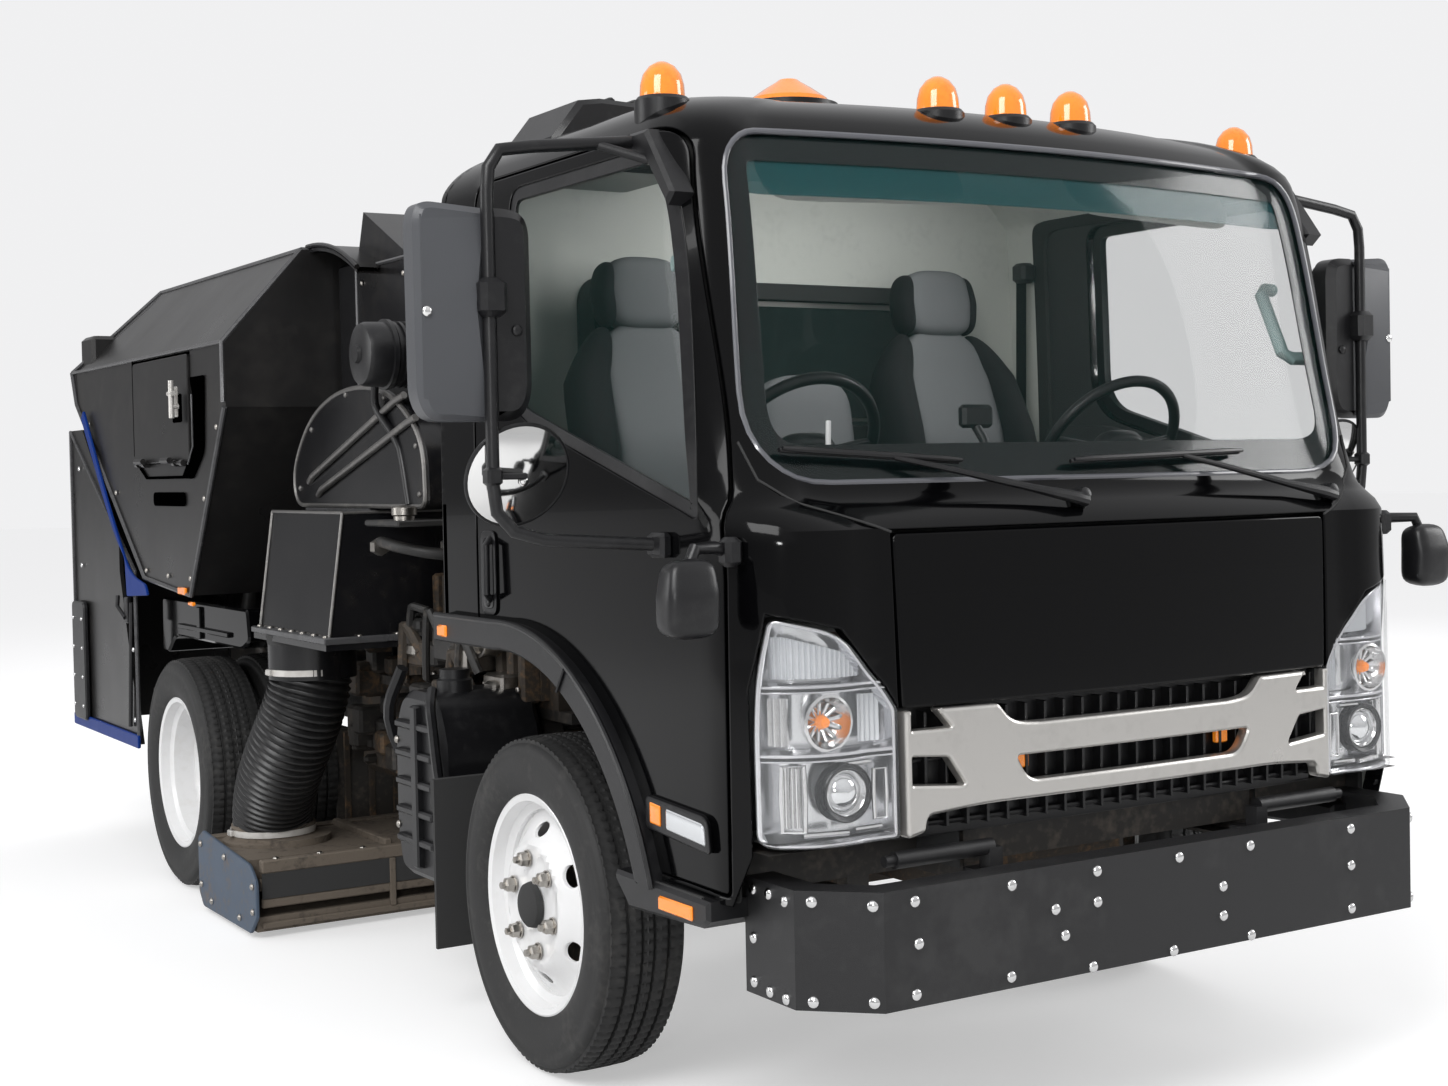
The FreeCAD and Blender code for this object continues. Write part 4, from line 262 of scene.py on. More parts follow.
BLACK_PAINT = Finish("gloss black paint", (0.0015, 0.0015, 0.0018), rough=0.1, coat=0.12, coat_rough=0.01,
                     rough_swing=0.01, wear=(0.003, 0.003, 0.003), wear_share=0.15, wear_scale=2.0, ior=1.22)
TRIM = Finish("black trim", (0.008, 0.008, 0.009), rough=0.34, grain=0.12, wear=(0.04, 0.04, 0.04),
              wear_share=0.3)
SATIN_BLACK = Finish("satin black steel", (0.016, 0.016, 0.017), rough=0.36, wear=(0.05, 0.047, 0.043),
                     wear_share=0.5, wear_scale=5.0, dust=0.25, dust_top=1.3)
BUMPER_BLACK = Finish("bumper coating", (0.014, 0.014, 0.015), rough=0.4, grain=0.25, grain_scale=700,
                      wear=(0.05, 0.05, 0.05), wear_share=0.35, wear_scale=3.0)
RUBBER = Finish("rubber", (0.012, 0.012, 0.012), rough=0.6, wear=(0.05, 0.048, 0.045), wear_share=0.4)
TYRE = Finish("tyre rubber", (0.018, 0.018, 0.018), rough=0.62, wear=(0.055, 0.053, 0.05), wear_share=0.6,
              wear_scale=7.0, grain=0.2, grain_scale=260)
WHITE_STEEL = Finish("white wheel paint", (0.8, 0.8, 0.8), rough=0.3, coat=0.5, wear=(0.62, 0.6, 0.56),
                     wear_share=0.25, wear_scale=5.0)
SILVER = Finish("satin silver", (0.56, 0.545, 0.52), rough=0.3, metal=0.85, wear=(0.4, 0.39, 0.37),
                wear_share=0.3)
CHROME = Finish("bright steel", (0.72, 0.72, 0.72), rough=0.16, metal=1.0, wear=(0.45, 0.42, 0.38),
                wear_share=0.35, wear_scale=20)
NUT_STEEL = Finish("worn nut steel", (0.42, 0.4, 0.37), rough=0.32, metal=1.0, wear=(0.2, 0.15, 0.1),
                   wear_share=0.6, wear_scale=40)
BROWN_IRON = Finish("brown iron", (0.055, 0.045, 0.036), rough=0.7, metal=0.2, wear=(0.2, 0.12, 0.06),
                    wear_share=0.8, wear_scale=9, grain=0.6, grain_scale=90)
DUSTY_DECK = Finish("dusty steel", (0.14, 0.115, 0.09), rough=0.75, wear=(0.05, 0.042, 0.035), wear_share=1.0,
                    wear_scale=8, grain=0.5, grain_scale=120)
CHASSIS = Finish("chassis black", (0.02, 0.0195, 0.019), rough=0.5, wear=(0.1, 0.085, 0.07), wear_share=0.7,
                 wear_scale=7, dust=0.5, dust_top=1.0)
HOPPER_GREY = Finish("hopper grey", (0.013, 0.0125, 0.0125), rough=0.3, wear=(0.03, 0.028, 0.026),
                     wear_share=0.5, wear_scale=2.5, rough_swing=0.1)
DUCT_BLACK = Finish("duct black", (0.007, 0.007, 0.008), rough=0.24, wear=(0.022, 0.02, 0.018),
                    wear_share=0.6, wear_scale=4.0)
BLUE = Finish("blue paint", (0.004, 0.03, 0.2), rough=0.4, wear=(0.01, 0.04, 0.16), wear_share=0.5,
              wear_scale=9, ior=1.22)
BLUE_GREY = Finish("worn blue grey steel", (0.075, 0.105, 0.15), rough=0.5, metal=0.3,
                   wear=(0.16, 0.12, 0.09), wear_share=0.7, wear_scale=8)
AMBER = Finish("amber lens", (0.95, 0.24, 0.01), rough=0.12, coat=1.0, glow=0.25,
               glow_colour=(1.0, 0.32, 0.02), wear=(0.7, 0.14, 0.0), wear_share=0.6, wear_scale=12)
RED = Finish("red lens", (0.5, 0.01, 0.01), rough=0.12, coat=1.0, glow=0.05, glow_colour=(1, 0.05, 0.03))
LINER = Finish("cab lining", (0.56, 0.58, 0.54), rough=0.7, grain=0.15, grain_scale=300,
               wear=(0.38, 0.38, 0.36), wear_share=0.3)
DARK_TRIM = Finish("dark cab trim", (0.035, 0.036, 0.037), rough=0.55, grain=0.25, grain_scale=350)
CLOTH = Finish("grey seat cloth", (0.13, 0.135, 0.14), rough=0.85, grain=0.6, grain_scale=900,
               wear=(0.15, 0.155, 0.16), wear_share=0.5, wear_scale=30)
CLOTH_DARK = Finish("dark seat cloth", (0.008, 0.008, 0.009), rough=0.8, grain=0.6, grain_scale=900)
MIRROR_GLASS = Finish("mirror glass", (0.85, 0.86, 0.87), rough=0.03, metal=1.0, rough_swing=0.01)
GLASS = Finish("cab glass", (0.008, 0.036, 0.032), rough=0.02, rough_swing=0.0, alpha=0.1, ior=1.45)
# Pure black without shine: painted shade in the hopper's slots and behind the hatch latch, and the dark seam
# line.
SLOT_PAINTED_SHADE = Finish("painted slot shade", (0.0, 0.0, 0.0), rough=0.9, rough_swing=0.0, ior=1.02)
# Nearly opaque dark pane: painted shade of the dark space behind the cab, seen through the rear window.
REAR_GLASS_PAINTED_SHADE = Finish("rear glass with painted shade", (0.004, 0.012, 0.011), rough=0.04, rough_swing=0.0, alpha=0.9, ior=1.3)
BORDER = Finish("glass border", (0.006, 0.006, 0.007), rough=0.12, rough_swing=0.0)
TINT = Finish("tinted band", (0.0, 0.09, 0.1), rough=0.1, rough_swing=0.0, alpha=0.62)
REFLECTOR = Finish("lamp reflector", (0.78, 0.79, 0.8), rough=0.18, metal=0.9, rough_swing=0.05)
LAMP_TRIM = Finish("lamp trim", (0.66, 0.66, 0.68), rough=0.16, metal=0.9)
# Grey where the rubber is black: painted highlight along the windscreen seal.
SEAL_PAINTED_HIGHLIGHT = Finish("seal with painted highlight", (0.11, 0.112, 0.125), rough=0.22, coat=0.5)
# Lighter worn steel: painted highlight on rolled edges, ribs and flange folds, and wear; also the air
# cleaner's clamp bands.
WORN_EDGE_AND_HIGHLIGHT = Finish("worn steel edge and painted highlight", (0.16, 0.155, 0.15), rough=0.35, metal=0.6, wear=(0.3, 0.29, 0.27),
                   wear_share=0.7, wear_scale=14)
RIBBED = Finish("ribbed hose rubber", (0.01, 0.01, 0.0105), rough=0.34, wear=(0.035, 0.033, 0.031),
                wear_share=0.5, wear_scale=9, dust=0.25, dust_top=0.8)
GRAB = Finish("pale grab handle", (0.3, 0.42, 0.41), rough=0.5)
CLAMP = Finish("clamp band", (0.62, 0.6, 0.57), rough=0.3, metal=0.35, wear=(0.35, 0.33, 0.3), wear_share=0.4)
# Edge beads lighter than the black steel they fold from: painted highlight along the edges, and rubbed wear.
BEAD_WEAR_AND_HIGHLIGHT = Finish("rubbed edge and painted highlight", (0.085, 0.085, 0.088), rough=0.28, metal=0.3, wear=(0.02, 0.02, 0.02),
              wear_share=0.6, wear_scale=5)
MIRROR_BACK = Finish("grey mirror housing", (0.075, 0.078, 0.085), rough=0.36, grain=0.1,
                     wear=(0.07, 0.07, 0.07), wear_share=0.3)
POLISHED = Finish("polished steel", (0.86, 0.86, 0.85), rough=0.08, metal=1.0, rough_swing=0.03)
CLEAR = Finish("clear lamp window", (0.72, 0.74, 0.76), rough=0.08, metal=0.5, coat=1.0)
LENS = Finish("clear lens", (0.85, 0.88, 0.9), rough=0.03, rough_swing=0.0, alpha=0.05, coat=1.0, ior=1.5)


class Solid:
    """Collects vertices and faces of one piece, and puts it in the scene.

    All places have y measured from the front axle until put moves them into the row frame.
    """

    THIN = 1e-4
    WELD = 1e-5
    UPRIGHT = 1e-3
    BOLT_STEPS = 14
    BOLT_CROWN = ((1.0, 0.0), (1.0, 0.25), (0.86, 0.6), (0.55, 0.9), (0.0, 1.0))
    ROLL_SHARES = (0.0, 0.3, 0.7, 1.0)

    def __init__(self) -> None:
        """Starts empty."""
        self.points: list[np.ndarray] = []
        self.faces: list[tuple[int, ...]] = []
        self.marks: list[int] = []
        self.count = 0

    def add(self, points: np.ndarray, faces: Sequence[Sequence[int]], mark: int = 0) -> "Solid":
        """Adds vertices and the faces between them.

        Args:
            points: An (n, 3) array.
            faces: Corner numbers within these points.
            mark: Material place of the faces.

        Returns:
            This solid.
        """
        points = np.asarray(points, float).reshape(-1, 3)
        self.points.append(points)
        self.faces += [tuple(int(c) + self.count for c in f) for f in faces]
        self.marks += [mark] * len(faces)
        self.count += len(points)
        return self

    def grid(self, points: np.ndarray, close_u: bool = False, close_v: bool = False,
             mark: int = 0) -> "Solid":
        """Adds a sheet of quads over an (nu, nv, 3) array; it may close on itself either way.

        Args:
            points: An (nu, nv, 3) array.
            close_u: Whether the last row joins the first.
            close_v: Whether each row closes on itself.
            mark: Material place of the faces.

        Returns:
            This solid.
        """
        nu, nv = points.shape[:2]
        faces = []
        for i in range(nu if close_u else nu - 1):
            for j in range(nv if close_v else nv - 1):
                a, b = i * nv + j, ((i + 1) % nu) * nv + j
                c, d = ((i + 1) % nu) * nv + (j + 1) % nv, i * nv + (j + 1) % nv
                faces.append((a, b, c, d))
        return self.add(points.reshape(-1, 3), faces, mark)

    def lathe(self, profile: Sequence[Flat], centre: Point, axis: str = "x", steps: int = 48,
              mark: int = 0) -> "Solid":
        """Turns (along, radius) points about an axis through a centre.

        A point at angle a stands at centre + along * axis + radius * (cos a, sin a) in the plane across.

        Args:
            profile: (along, radius) points.
            centre: Where along and radius are 0.
            axis: x, y or z.
            steps: Facets round it.
            mark: Material place of the faces.

        Returns:
            This solid.
        """
        turn = turns(steps)
        rows = []
        for along, radius in profile:
            flat = (np.full(steps, along), radius * np.cos(turn), radius * np.sin(turn))
            rows.append(np.stack(flat, axis=1))
        points = np.array(rows)
        order = {"x": (0, 1, 2), "y": (2, 0, 1), "z": (1, 2, 0)}[axis]
        return self.grid(points[..., order] + np.array(centre), close_v=True, mark=mark)

    def tube(self, path: Sequence[Point], radius: float | Sequence[float], steps: int = 16,
             mark: int = 0) -> "Solid":
        """A round bar along a path, its section carried along without twist.

        Args:
            path: Points along its middle.
            radius: Its radius.
            steps: Facets round it.
            mark: Material place of the faces.

        Returns:
            This solid.
        """
        path = np.array(path, float)
        radii = np.full(len(path), radius) if np.isscalar(radius) else np.asarray(radius, float)
        way = np.gradient(path, axis=0)
        way /= np.linalg.norm(way, axis=1)[:, None]
        side = np.cross(way[0], (0.0, 0.0, 1.0))
        if np.linalg.norm(side) < self.UPRIGHT:
            side = np.array([1.0, 0.0, 0.0])
        rows = []
        turn = turns(steps)
        for place, d, r in zip(path, way, radii):
            side = side - d * side.dot(d)
            side /= np.linalg.norm(side)
            up = np.cross(d, side)
            rows.append(place + r * (np.cos(turn)[:, None] * side + np.sin(turn)[:, None] * up))
        rows = np.array(rows)
        start = self.count
        self.grid(rows, close_v=True, mark=mark)
        last = start + (len(path) - 1) * steps
        return self.close(range(start, start + steps), range(last + steps - 1, last - 1, -1), mark)

    def close(self, first: Sequence[int], last: Sequence[int], mark: int) -> "Solid":
        """Adds the two faces that close a row of rings, each given by its corner numbers.

        Args:
            first: Corner numbers of the first face.
            last: Corner numbers of the last face.
            mark: Material place of the faces.

        Returns:
            This solid.
        """
        self.faces += [tuple(first), tuple(last)]
        self.marks += [mark, mark]
        return self

    def pipe(self, path: Sequence[Point], radius: float, mark: int = 0, steps: int = 12,
             bends: int = 0) -> "Solid":
        """A round bar; with bends it runs as a smooth curve through its points.

        Args:
            path: Points along its middle.
            radius: Its radius.
            mark: Material place of the faces.
            steps: Facets round it.
            bends: Points of the smooth curve, or 0 for straight runs.

        Returns:
            This solid.
        """
        points = np.array(path, float)
        if bends:
            knots = np.arange(len(points))
            share = np.linspace(0, len(points) - 1, bends)
            points = np.stack([monotone(share, knots, points[:, k]) for k in range(3)], axis=1)
        return self.tube(points, radius, steps, mark)

    def box(self, low: Point, high: Point, soft: float = 0.006, mark: int = 0) -> "Solid":
        """A box between two corners; its edges are cut back by a small bevel if soft is given.

        Args:
            low: One corner.
            high: The opposite corner.
            soft: Width of the bevel on its edges.
            mark: Material place of the faces.

        Returns:
            This solid.
        """
        low, high = np.minimum(low, high), np.maximum(low, high)
        r = min(soft, *(REACH_SHARE * (high - low)))
        if r <= 0:
            corners = np.array([[(low, high)[k][0], (low, high)[j][1], (low, high)[i][2]] for i in (0, 1)
                                for j in (0, 1) for k in (0, 1)])
            faces = [(0, 2, 3, 1), (4, 5, 7, 6), (0, 1, 5, 4), (2, 6, 7, 3), (0, 4, 6, 2), (1, 3, 7, 5)]
            return self.add(corners, faces, mark)
        rings = []
        (x0, y0), (x1, y1) = low[:2], high[:2]
        outline = [(x0 + r, y0), (x1 - r, y0), (x1, y0 + r), (x1, y1 - r), (x1 - r, y1), (x0 + r, y1),
                   (x0, y1 - r), (x0, y0 + r)]
        middle = (low + high)[:2] / 2
        for z, shrink in ((low[2], r), (low[2] + r, 0.0), (high[2] - r, 0.0), (high[2], r)):
            scale = 1 - shrink / ((high - low)[:2] / 2)
            rings.append([[*(middle + (np.array(p) - middle) * scale), z] for p in outline])
        start = self.count
        self.grid(np.array(rings), close_v=True, mark=mark)
        n = len(outline)
        return self.close(range(start + n - 1, start - 1, -1), range(start + 3 * n, start + 4 * n), mark)

    def plate(self, outline: Sequence[Flat], lift: Callable[[float, float, float], Point], depth: float,
              soft: float = 0.0, mark: int = 0) -> "Solid":
        """A plate of an outline: lift(a, b, d) gives the place of a point at a depth d behind the face.

        Args:
            outline: The outline.
            lift: lift(a, b, d) gives the place of a point at a depth d behind the face.
            depth: Thickness.
            soft: Width of the bevel.
            mark: Material place of the faces.

        Returns:
            This solid.
        """
        ring = np.array(outline, float)
        if area(ring) < 0:
            ring = ring[::-1]
        bevelled = [(soft, 0.0), (0.0, soft), (0.0, depth - soft), (soft, depth)]
        layers = bevelled if soft else [(0.0, 0.0), (0.0, depth)]
        rows = []
        for inset, deep in layers:
            shrunk = offset(ring, -inset) if inset else ring
            rows.append([lift(a, b, deep) for a, b in shrunk])
        start, n = self.count, len(ring)
        self.grid(np.array(rows), close_v=True, mark=mark)
        for row, flip in ((0, False), (len(layers) - 1, True)):
            flat = offset(ring, -layers[row][0]) if layers[row][0] else ring
            for tri in triangles(flat):
                corners = [start + row * n + int(c) for c in tri]
                self.faces.append(tuple(corners[::-1] if flip else corners))
                self.marks.append(mark)
        return self

    def bolt(self, place: Point, way: Point, radius: float = 0.011, height: float = 0.007,
             mark: int = 0) -> "Solid":
        """A domed bolt head that stands out of a face.

        Args:
            place: Its foot.
            way: The direction it stands out.
            radius: Its radius.
            height: How far it stands out.
            mark: Material place of the faces.

        Returns:
            This solid.
        """
        way = Vector(way).normalized()
        turn = way.to_track_quat("Z", "Y").to_matrix()
        angle = turns(self.BOLT_STEPS)
        rows = [np.stack([radius * share * np.cos(angle), radius * share * np.sin(angle),
                          np.full_like(angle, height * rise)], axis=1) for share, rise in self.BOLT_CROWN]
        return self.grid(np.array(rows) @ np.array(turn).T + np.array(place), close_v=True, mark=mark)

    def studs(self, places: Sequence[Point], way: Point, radius: float = 0.01, mark: int = 0) -> "Solid":
        """Bolt heads on a face.

        Args:
            places: Their feet.
            way: The direction it stands out.
            radius: Their radius.
            mark: Material place of the faces.

        Returns:
            This solid.
        """
        for place in places:
            self.bolt(place, way, radius, radius * 0.7, mark)
        return self

    def side_plate(self, outline: Sequence[Sequence[float]], x: float, depth: float, soft: float = 0.004,
                   mark: int = 0) -> "Solid":
        """A plate seen from the right side, from its outer face at x inwards."""
        return self.plate(rounded(outline), lambda a, b, d: (x + d, a, b), depth, soft, mark)

    def skin(self, outer: np.ndarray, holes: Sequence[np.ndarray], lift: Callable[..., np.ndarray],
             depth: float, step: float = 0.045, roll: float = 0.006, mark: int = 0,
             inner_mark: int = 0) -> "Solid":
        """A panel of real thickness bent on a form: outer face, rolled rims, and an inner face.

        Args:
            outer: Outline in the panel's own two directions.
            holes: Openings in it.
            lift: Gives the place of (a, b) at an inset from the outer surface.
            depth: Thickness.
            step: Spacing of inner points.
            roll: Radius of the rolled rims.
            mark: Material place outside and on the rims.
            inner_mark: Material place inside.

        Returns:
            This solid.
        """
        outer = np.asarray(outer, float)
        outer = outer if area(outer) > 0 else outer[::-1]
        holes = [h if area(h) > 0 else h[::-1] for h in (np.asarray(h, float) for h in holes)]
        face_outer = offset(outer, -roll)
        face_holes = [offset(h, roll) for h in holes]
        where, faces = filled(face_outer, face_holes, step)
        self.add(lift(where[:, 0], where[:, 1], 0.0), faces, mark)
        self.add(lift(where[:, 0], where[:, 1], depth), [f[::-1] for f in faces], inner_mark)
        for ring, way in [(outer, -1.0), *[(h, 1.0) for h in holes]]:
            rows = []
            for share in self.ROLL_SHARES:
                turn = share * math.pi / 2
                moved = offset(ring, way * roll * (1 - math.sin(turn)))
                rows.append(lift(moved[:, 0], moved[:, 1], roll * (1 - math.cos(turn))))
            rows.append(lift(ring[:, 0], ring[:, 1], max(depth - self.THIN, roll)))
            moved = offset(ring, way * roll)
            rows.append(lift(moved[:, 0], moved[:, 1], depth))
            self.grid(np.array(rows), close_v=True, mark=mark)
        return self

    def mirrored(self) -> "Solid":
        """The same piece on the truck's other side.

        Returns:
            A new solid with x turned round.
        """
        other = Solid()
        other.points = [p * np.array([-1.0, 1.0, 1.0]) for p in self.points]
        other.faces = [f[::-1] for f in self.faces]
        other.marks = list(self.marks)
        other.count = self.count
        return other

    def join(self, other: "Solid") -> "Solid":
        """Takes in another solid.

        Args:
            other: The solid taken in.

        Returns:
            This solid.
        """
        if other.count:
            marks = list(other.marks)
            start = len(self.marks)
            self.add(np.concatenate(other.points), other.faces)
            self.marks[start:] = marks
        return self

    def put(self, name: str, body: Optional[Body], finishes: Finish | Sequence[Finish],
            replaces: Sequence[str] = (), slot: Optional[str] = None, crease: float = 32.0,
            outward: bool = True) -> bpy.types.Object:
        """Makes the object, smooths it below a crease angle, and lets it ride on its body.

        Args:
            name: The object's name.
            body: The body it rides on.
            finishes: One finish, or one for each mark.
            replaces: CAD nodes it stands for.
            slot: Not used.
            crease: Edges sharper than this many degrees stay sharp.
            outward: Whether face directions are worked out again from the closed form.

        Returns:
            The object.
        """
        name = name.replace(" ", "_")
        mesh = bpy.data.meshes.new(name)
        mesh.from_pydata((np.concatenate(self.points) + (0.0, AXLE, 0.0)).tolist(), [], self.faces)
        for finish in ([finishes] if isinstance(finishes, Finish) else finishes):
            mesh.materials.append(finish.build())
        mesh.polygons.foreach_set("material_index", self.marks)
        mesh.validate()
        thing = bpy.data.objects.new(name, mesh)
        bpy.context.scene.collection.objects.link(thing)
        if outward:
            work = bmesh.new()
            work.from_mesh(mesh)
            bmesh.ops.remove_doubles(work, verts=work.verts, dist=self.WELD)
            bmesh.ops.recalc_face_normals(work, faces=work.faces)
            work.to_mesh(mesh)
            work.free()
        mesh.shade_smooth()
        mesh.set_sharp_from_angle(angle=math.radians(crease))
        if body:
            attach(thing, body.value)
        if replaces:
            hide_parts(*replaces)
        log.info("%s: %d faces on %s", name, len(mesh.polygons), body.value if body else "two bodies")
        return thing


def monotone(x: np.ndarray, xs: np.ndarray, ys: np.ndarray) -> np.ndarray:
    """A cubic through (xs, ys) that never swings past them: slopes are harmonic means of the runs beside.

    Args:
        x: Where it is read.
        xs: Places of the known values, rising.
        ys: The known values.

    Returns:
        The values at x.
    """
    x = np.asarray(x, float)
    gaps = np.diff(xs)
    runs = np.diff(ys) / gaps
    slopes = np.concatenate([[runs[0]], np.zeros(len(runs) - 1), [runs[-1]]])
    same = runs[:-1] * runs[1:] > 0
    total = np.where(same, runs[:-1] + runs[1:], 1.0)
    slopes[1:-1] = np.where(same, 2 * runs[:-1] * runs[1:] / total, 0.0)
    k = np.clip(np.searchsorted(xs, x, side="right") - 1, 0, len(gaps) - 1)
    u = np.clip((x - xs[k]) / gaps[k], 0.0, 1.0)
    rise = (3 - 2 * u) * u * u
    swing = slopes[k] * u * (1 - u) ** 2 - slopes[k + 1] * u * u * (1 - u)
    return ys[k] * (1 - rise) + ys[k + 1] * rise + gaps[k] * swing


def arc(start: Flat, middle: Flat, end: Flat, steps: int = 24) -> list[Flat]:
    """Points along the circle through three points.

    Args:
        start: First point.
        middle: A point between.
        end: Last point.
        steps: How many points.

    Returns:
        The points.
    """
    (ax, ay), (bx, by), (cx, cy) = start, middle, end
    d = 2 * (ax * (by - cy) + bx * (cy - ay) + cx * (ay - by))
    p, q, r = ax * ax + ay * ay, bx * bx + by * by, cx * cx + cy * cy
    ox = (p * (by - cy) + q * (cy - ay) + r * (ay - by)) / d
    oy = (p * (cx - bx) + q * (ax - cx) + r * (bx - ax)) / d
    radius = math.hypot(ax - ox, ay - oy)
    angles = [math.atan2(y - oy, x - ox) for x, y in (start, middle, end)]
    for i in (1, 2):
        while angles[i] - angles[i - 1] > math.pi:
            angles[i] -= math.tau
        while angles[i] - angles[i - 1] < -math.pi:
            angles[i] += math.tau
    return [(ox + radius * math.cos(a), oy + radius * math.sin(a))
            for a in np.linspace(angles[0], angles[2], steps)]


def area(ring: np.ndarray) -> float:
    """Signed area of a closed outline."""
    x, y = ring[:, 0], ring[:, 1]
    return 0.5 * float(np.sum(x * np.roll(y, -1) - np.roll(x, -1) * y))


def offset(ring: np.ndarray, grow: float) -> np.ndarray:
    """An outline moved outwards by a distance, corners kept.

    Args:
        ring: The closed outline.
        grow: The distance.

    Returns:
        The moved outline.
    """
    ring = np.asarray(ring, float)
    turn = 1.0 if area(ring) > 0 else -1.0
    back, ahead = ring - np.roll(ring, 1, axis=0), np.roll(ring, -1, axis=0) - ring
    unit = [v / np.maximum(np.linalg.norm(v, axis=1), 1e-12)[:, None] for v in (back, ahead)]
    normals = [np.stack([v[:, 1], -v[:, 0]], axis=1) * turn for v in unit]
    bisector = normals[0] + normals[1]
    length = np.maximum(np.sum(bisector * normals[0], axis=1), MITRE_LIMIT)
    return ring + bisector * (grow / length)[:, None]


def turns(steps: int) -> np.ndarray:
    """Angles of a full turn, evenly spaced."""
    return np.linspace(0, math.tau, steps, endpoint=False)


def rect(a0: float, a1: float, b0: float, b1: float, radius: float = 0.0) -> list[Point]:
    """The (a, b, radius) corners of a rectangle, for rounded."""
    return [(a0, b0, radius), (a1, b0, radius), (a1, b1, radius), (a0, b1, radius)]


def flipped(corners: Sequence[Point]) -> list[Point]:
    """An (a, b, radius) outline mirrored in its first direction."""
    return [(-a, b, radius) for a, b, radius in corners]


def triangles(ring: np.ndarray) -> list[tuple[int, int, int]]:
    """Triangles that fill a closed outline, by its corner numbers."""
    return tessellate_polygon([[Vector((float(a), float(b), 0.0)) for a, b in ring]])


def inside(points: np.ndarray, ring: np.ndarray) -> np.ndarray:
    """Which points lie inside a closed outline, by counting crossings of a level ray.

    Args:
        points: An (n, 2) array.
        ring: The closed outline.

    Returns:
        True for each point inside.
    """
    x, y = points[:, 0], points[:, 1]
    hit = np.zeros(len(points), bool)
    for (x0, y0), (x1, y1) in zip(ring, np.roll(ring, -1, axis=0)):
        if y0 == y1:
            continue
        crosses = ((y0 > y) != (y1 > y)) & (x < (x1 - x0) * (y - y0) / (y1 - y0) + x0)
        hit ^= crosses
    return hit


def rounded(corners: Sequence[Sequence[float]], step: float = 0.02) -> np.ndarray:
    """A closed outline from (a, b, radius) corners, its corners rounded and its runs divided.

    Each rounding is a curve p = (1-t)^2 p0 + 2 t (1-t) corner + t^2 p1 between its two touch points.

    Args:
        corners: (a, b, radius) of each corner; the radius may be left out.
        step: Greatest run between points.

    Returns:
        An (n, 2) array of the outline's points.
    """
    marks = [np.array(c[:2], float) for c in corners]
    radii = [float(c[2]) if len(c) > 2 else 0.0 for c in corners]
    out: list[np.ndarray] = []
    n = len(marks)
    for i in range(n):
        here, before, after = marks[i], marks[i - 1], marks[(i + 1) % n]
        r = radii[i]
        if r <= 0:
            out.append(here)
            continue
        to_before, to_after = before - here, after - here
        p0, p1 = (here + way / np.linalg.norm(way) * min(r, REACH_SHARE * np.linalg.norm(way))
                  for way in (to_before, to_after))
        for t in np.linspace(0, 1, CORNER_STEPS):
            out.append((1 - t) ** 2 * p0 + 2 * t * (1 - t) * here + t * t * p1)
    dense: list[np.ndarray] = []
    for a, b in zip(out, out[1:] + out[:1]):
        pieces = max(1, int(np.linalg.norm(b - a) / step))
        dense += [a + (b - a) * k / pieces for k in range(pieces)]
    kept = [dense[0]]
    for p in dense[1:]:
        if np.linalg.norm(p - kept[-1]) > Solid.WELD:
            kept.append(p)
    return np.array(kept)


@dataclass(frozen=True)
class Level:
    """The cab's outline at one height, in metres ahead of or behind the front axle."""

    height: float
    nose: float
    bulge: float
    half: float
    back: float
    flat: float
    corner: float


HALF = 0.96
LEVELS = (Level(0.56, 1.1, 0.025, HALF, 0.48, 0.7, 0.18),
          Level(1.314, 1.085, 0.025, HALF, 0.48, 0.7, 0.18),
          Level(1.395, 1.0, 0.055, HALF, 0.48, 0.76, 0.11),
          Level(2.15, 0.835, 0.075, 0.942, 0.48, 0.746, 0.11),
          Level(2.222, 0.765, 0.075, 0.9, 0.45, 0.7125, 0.11),
          Level(2.272, 0.64, 0.075, 0.79, 0.39, 0.56, 0.11),
          Level(2.305, 0.38, 0.025, 0.48, 0.23, 0.34, 0.11))


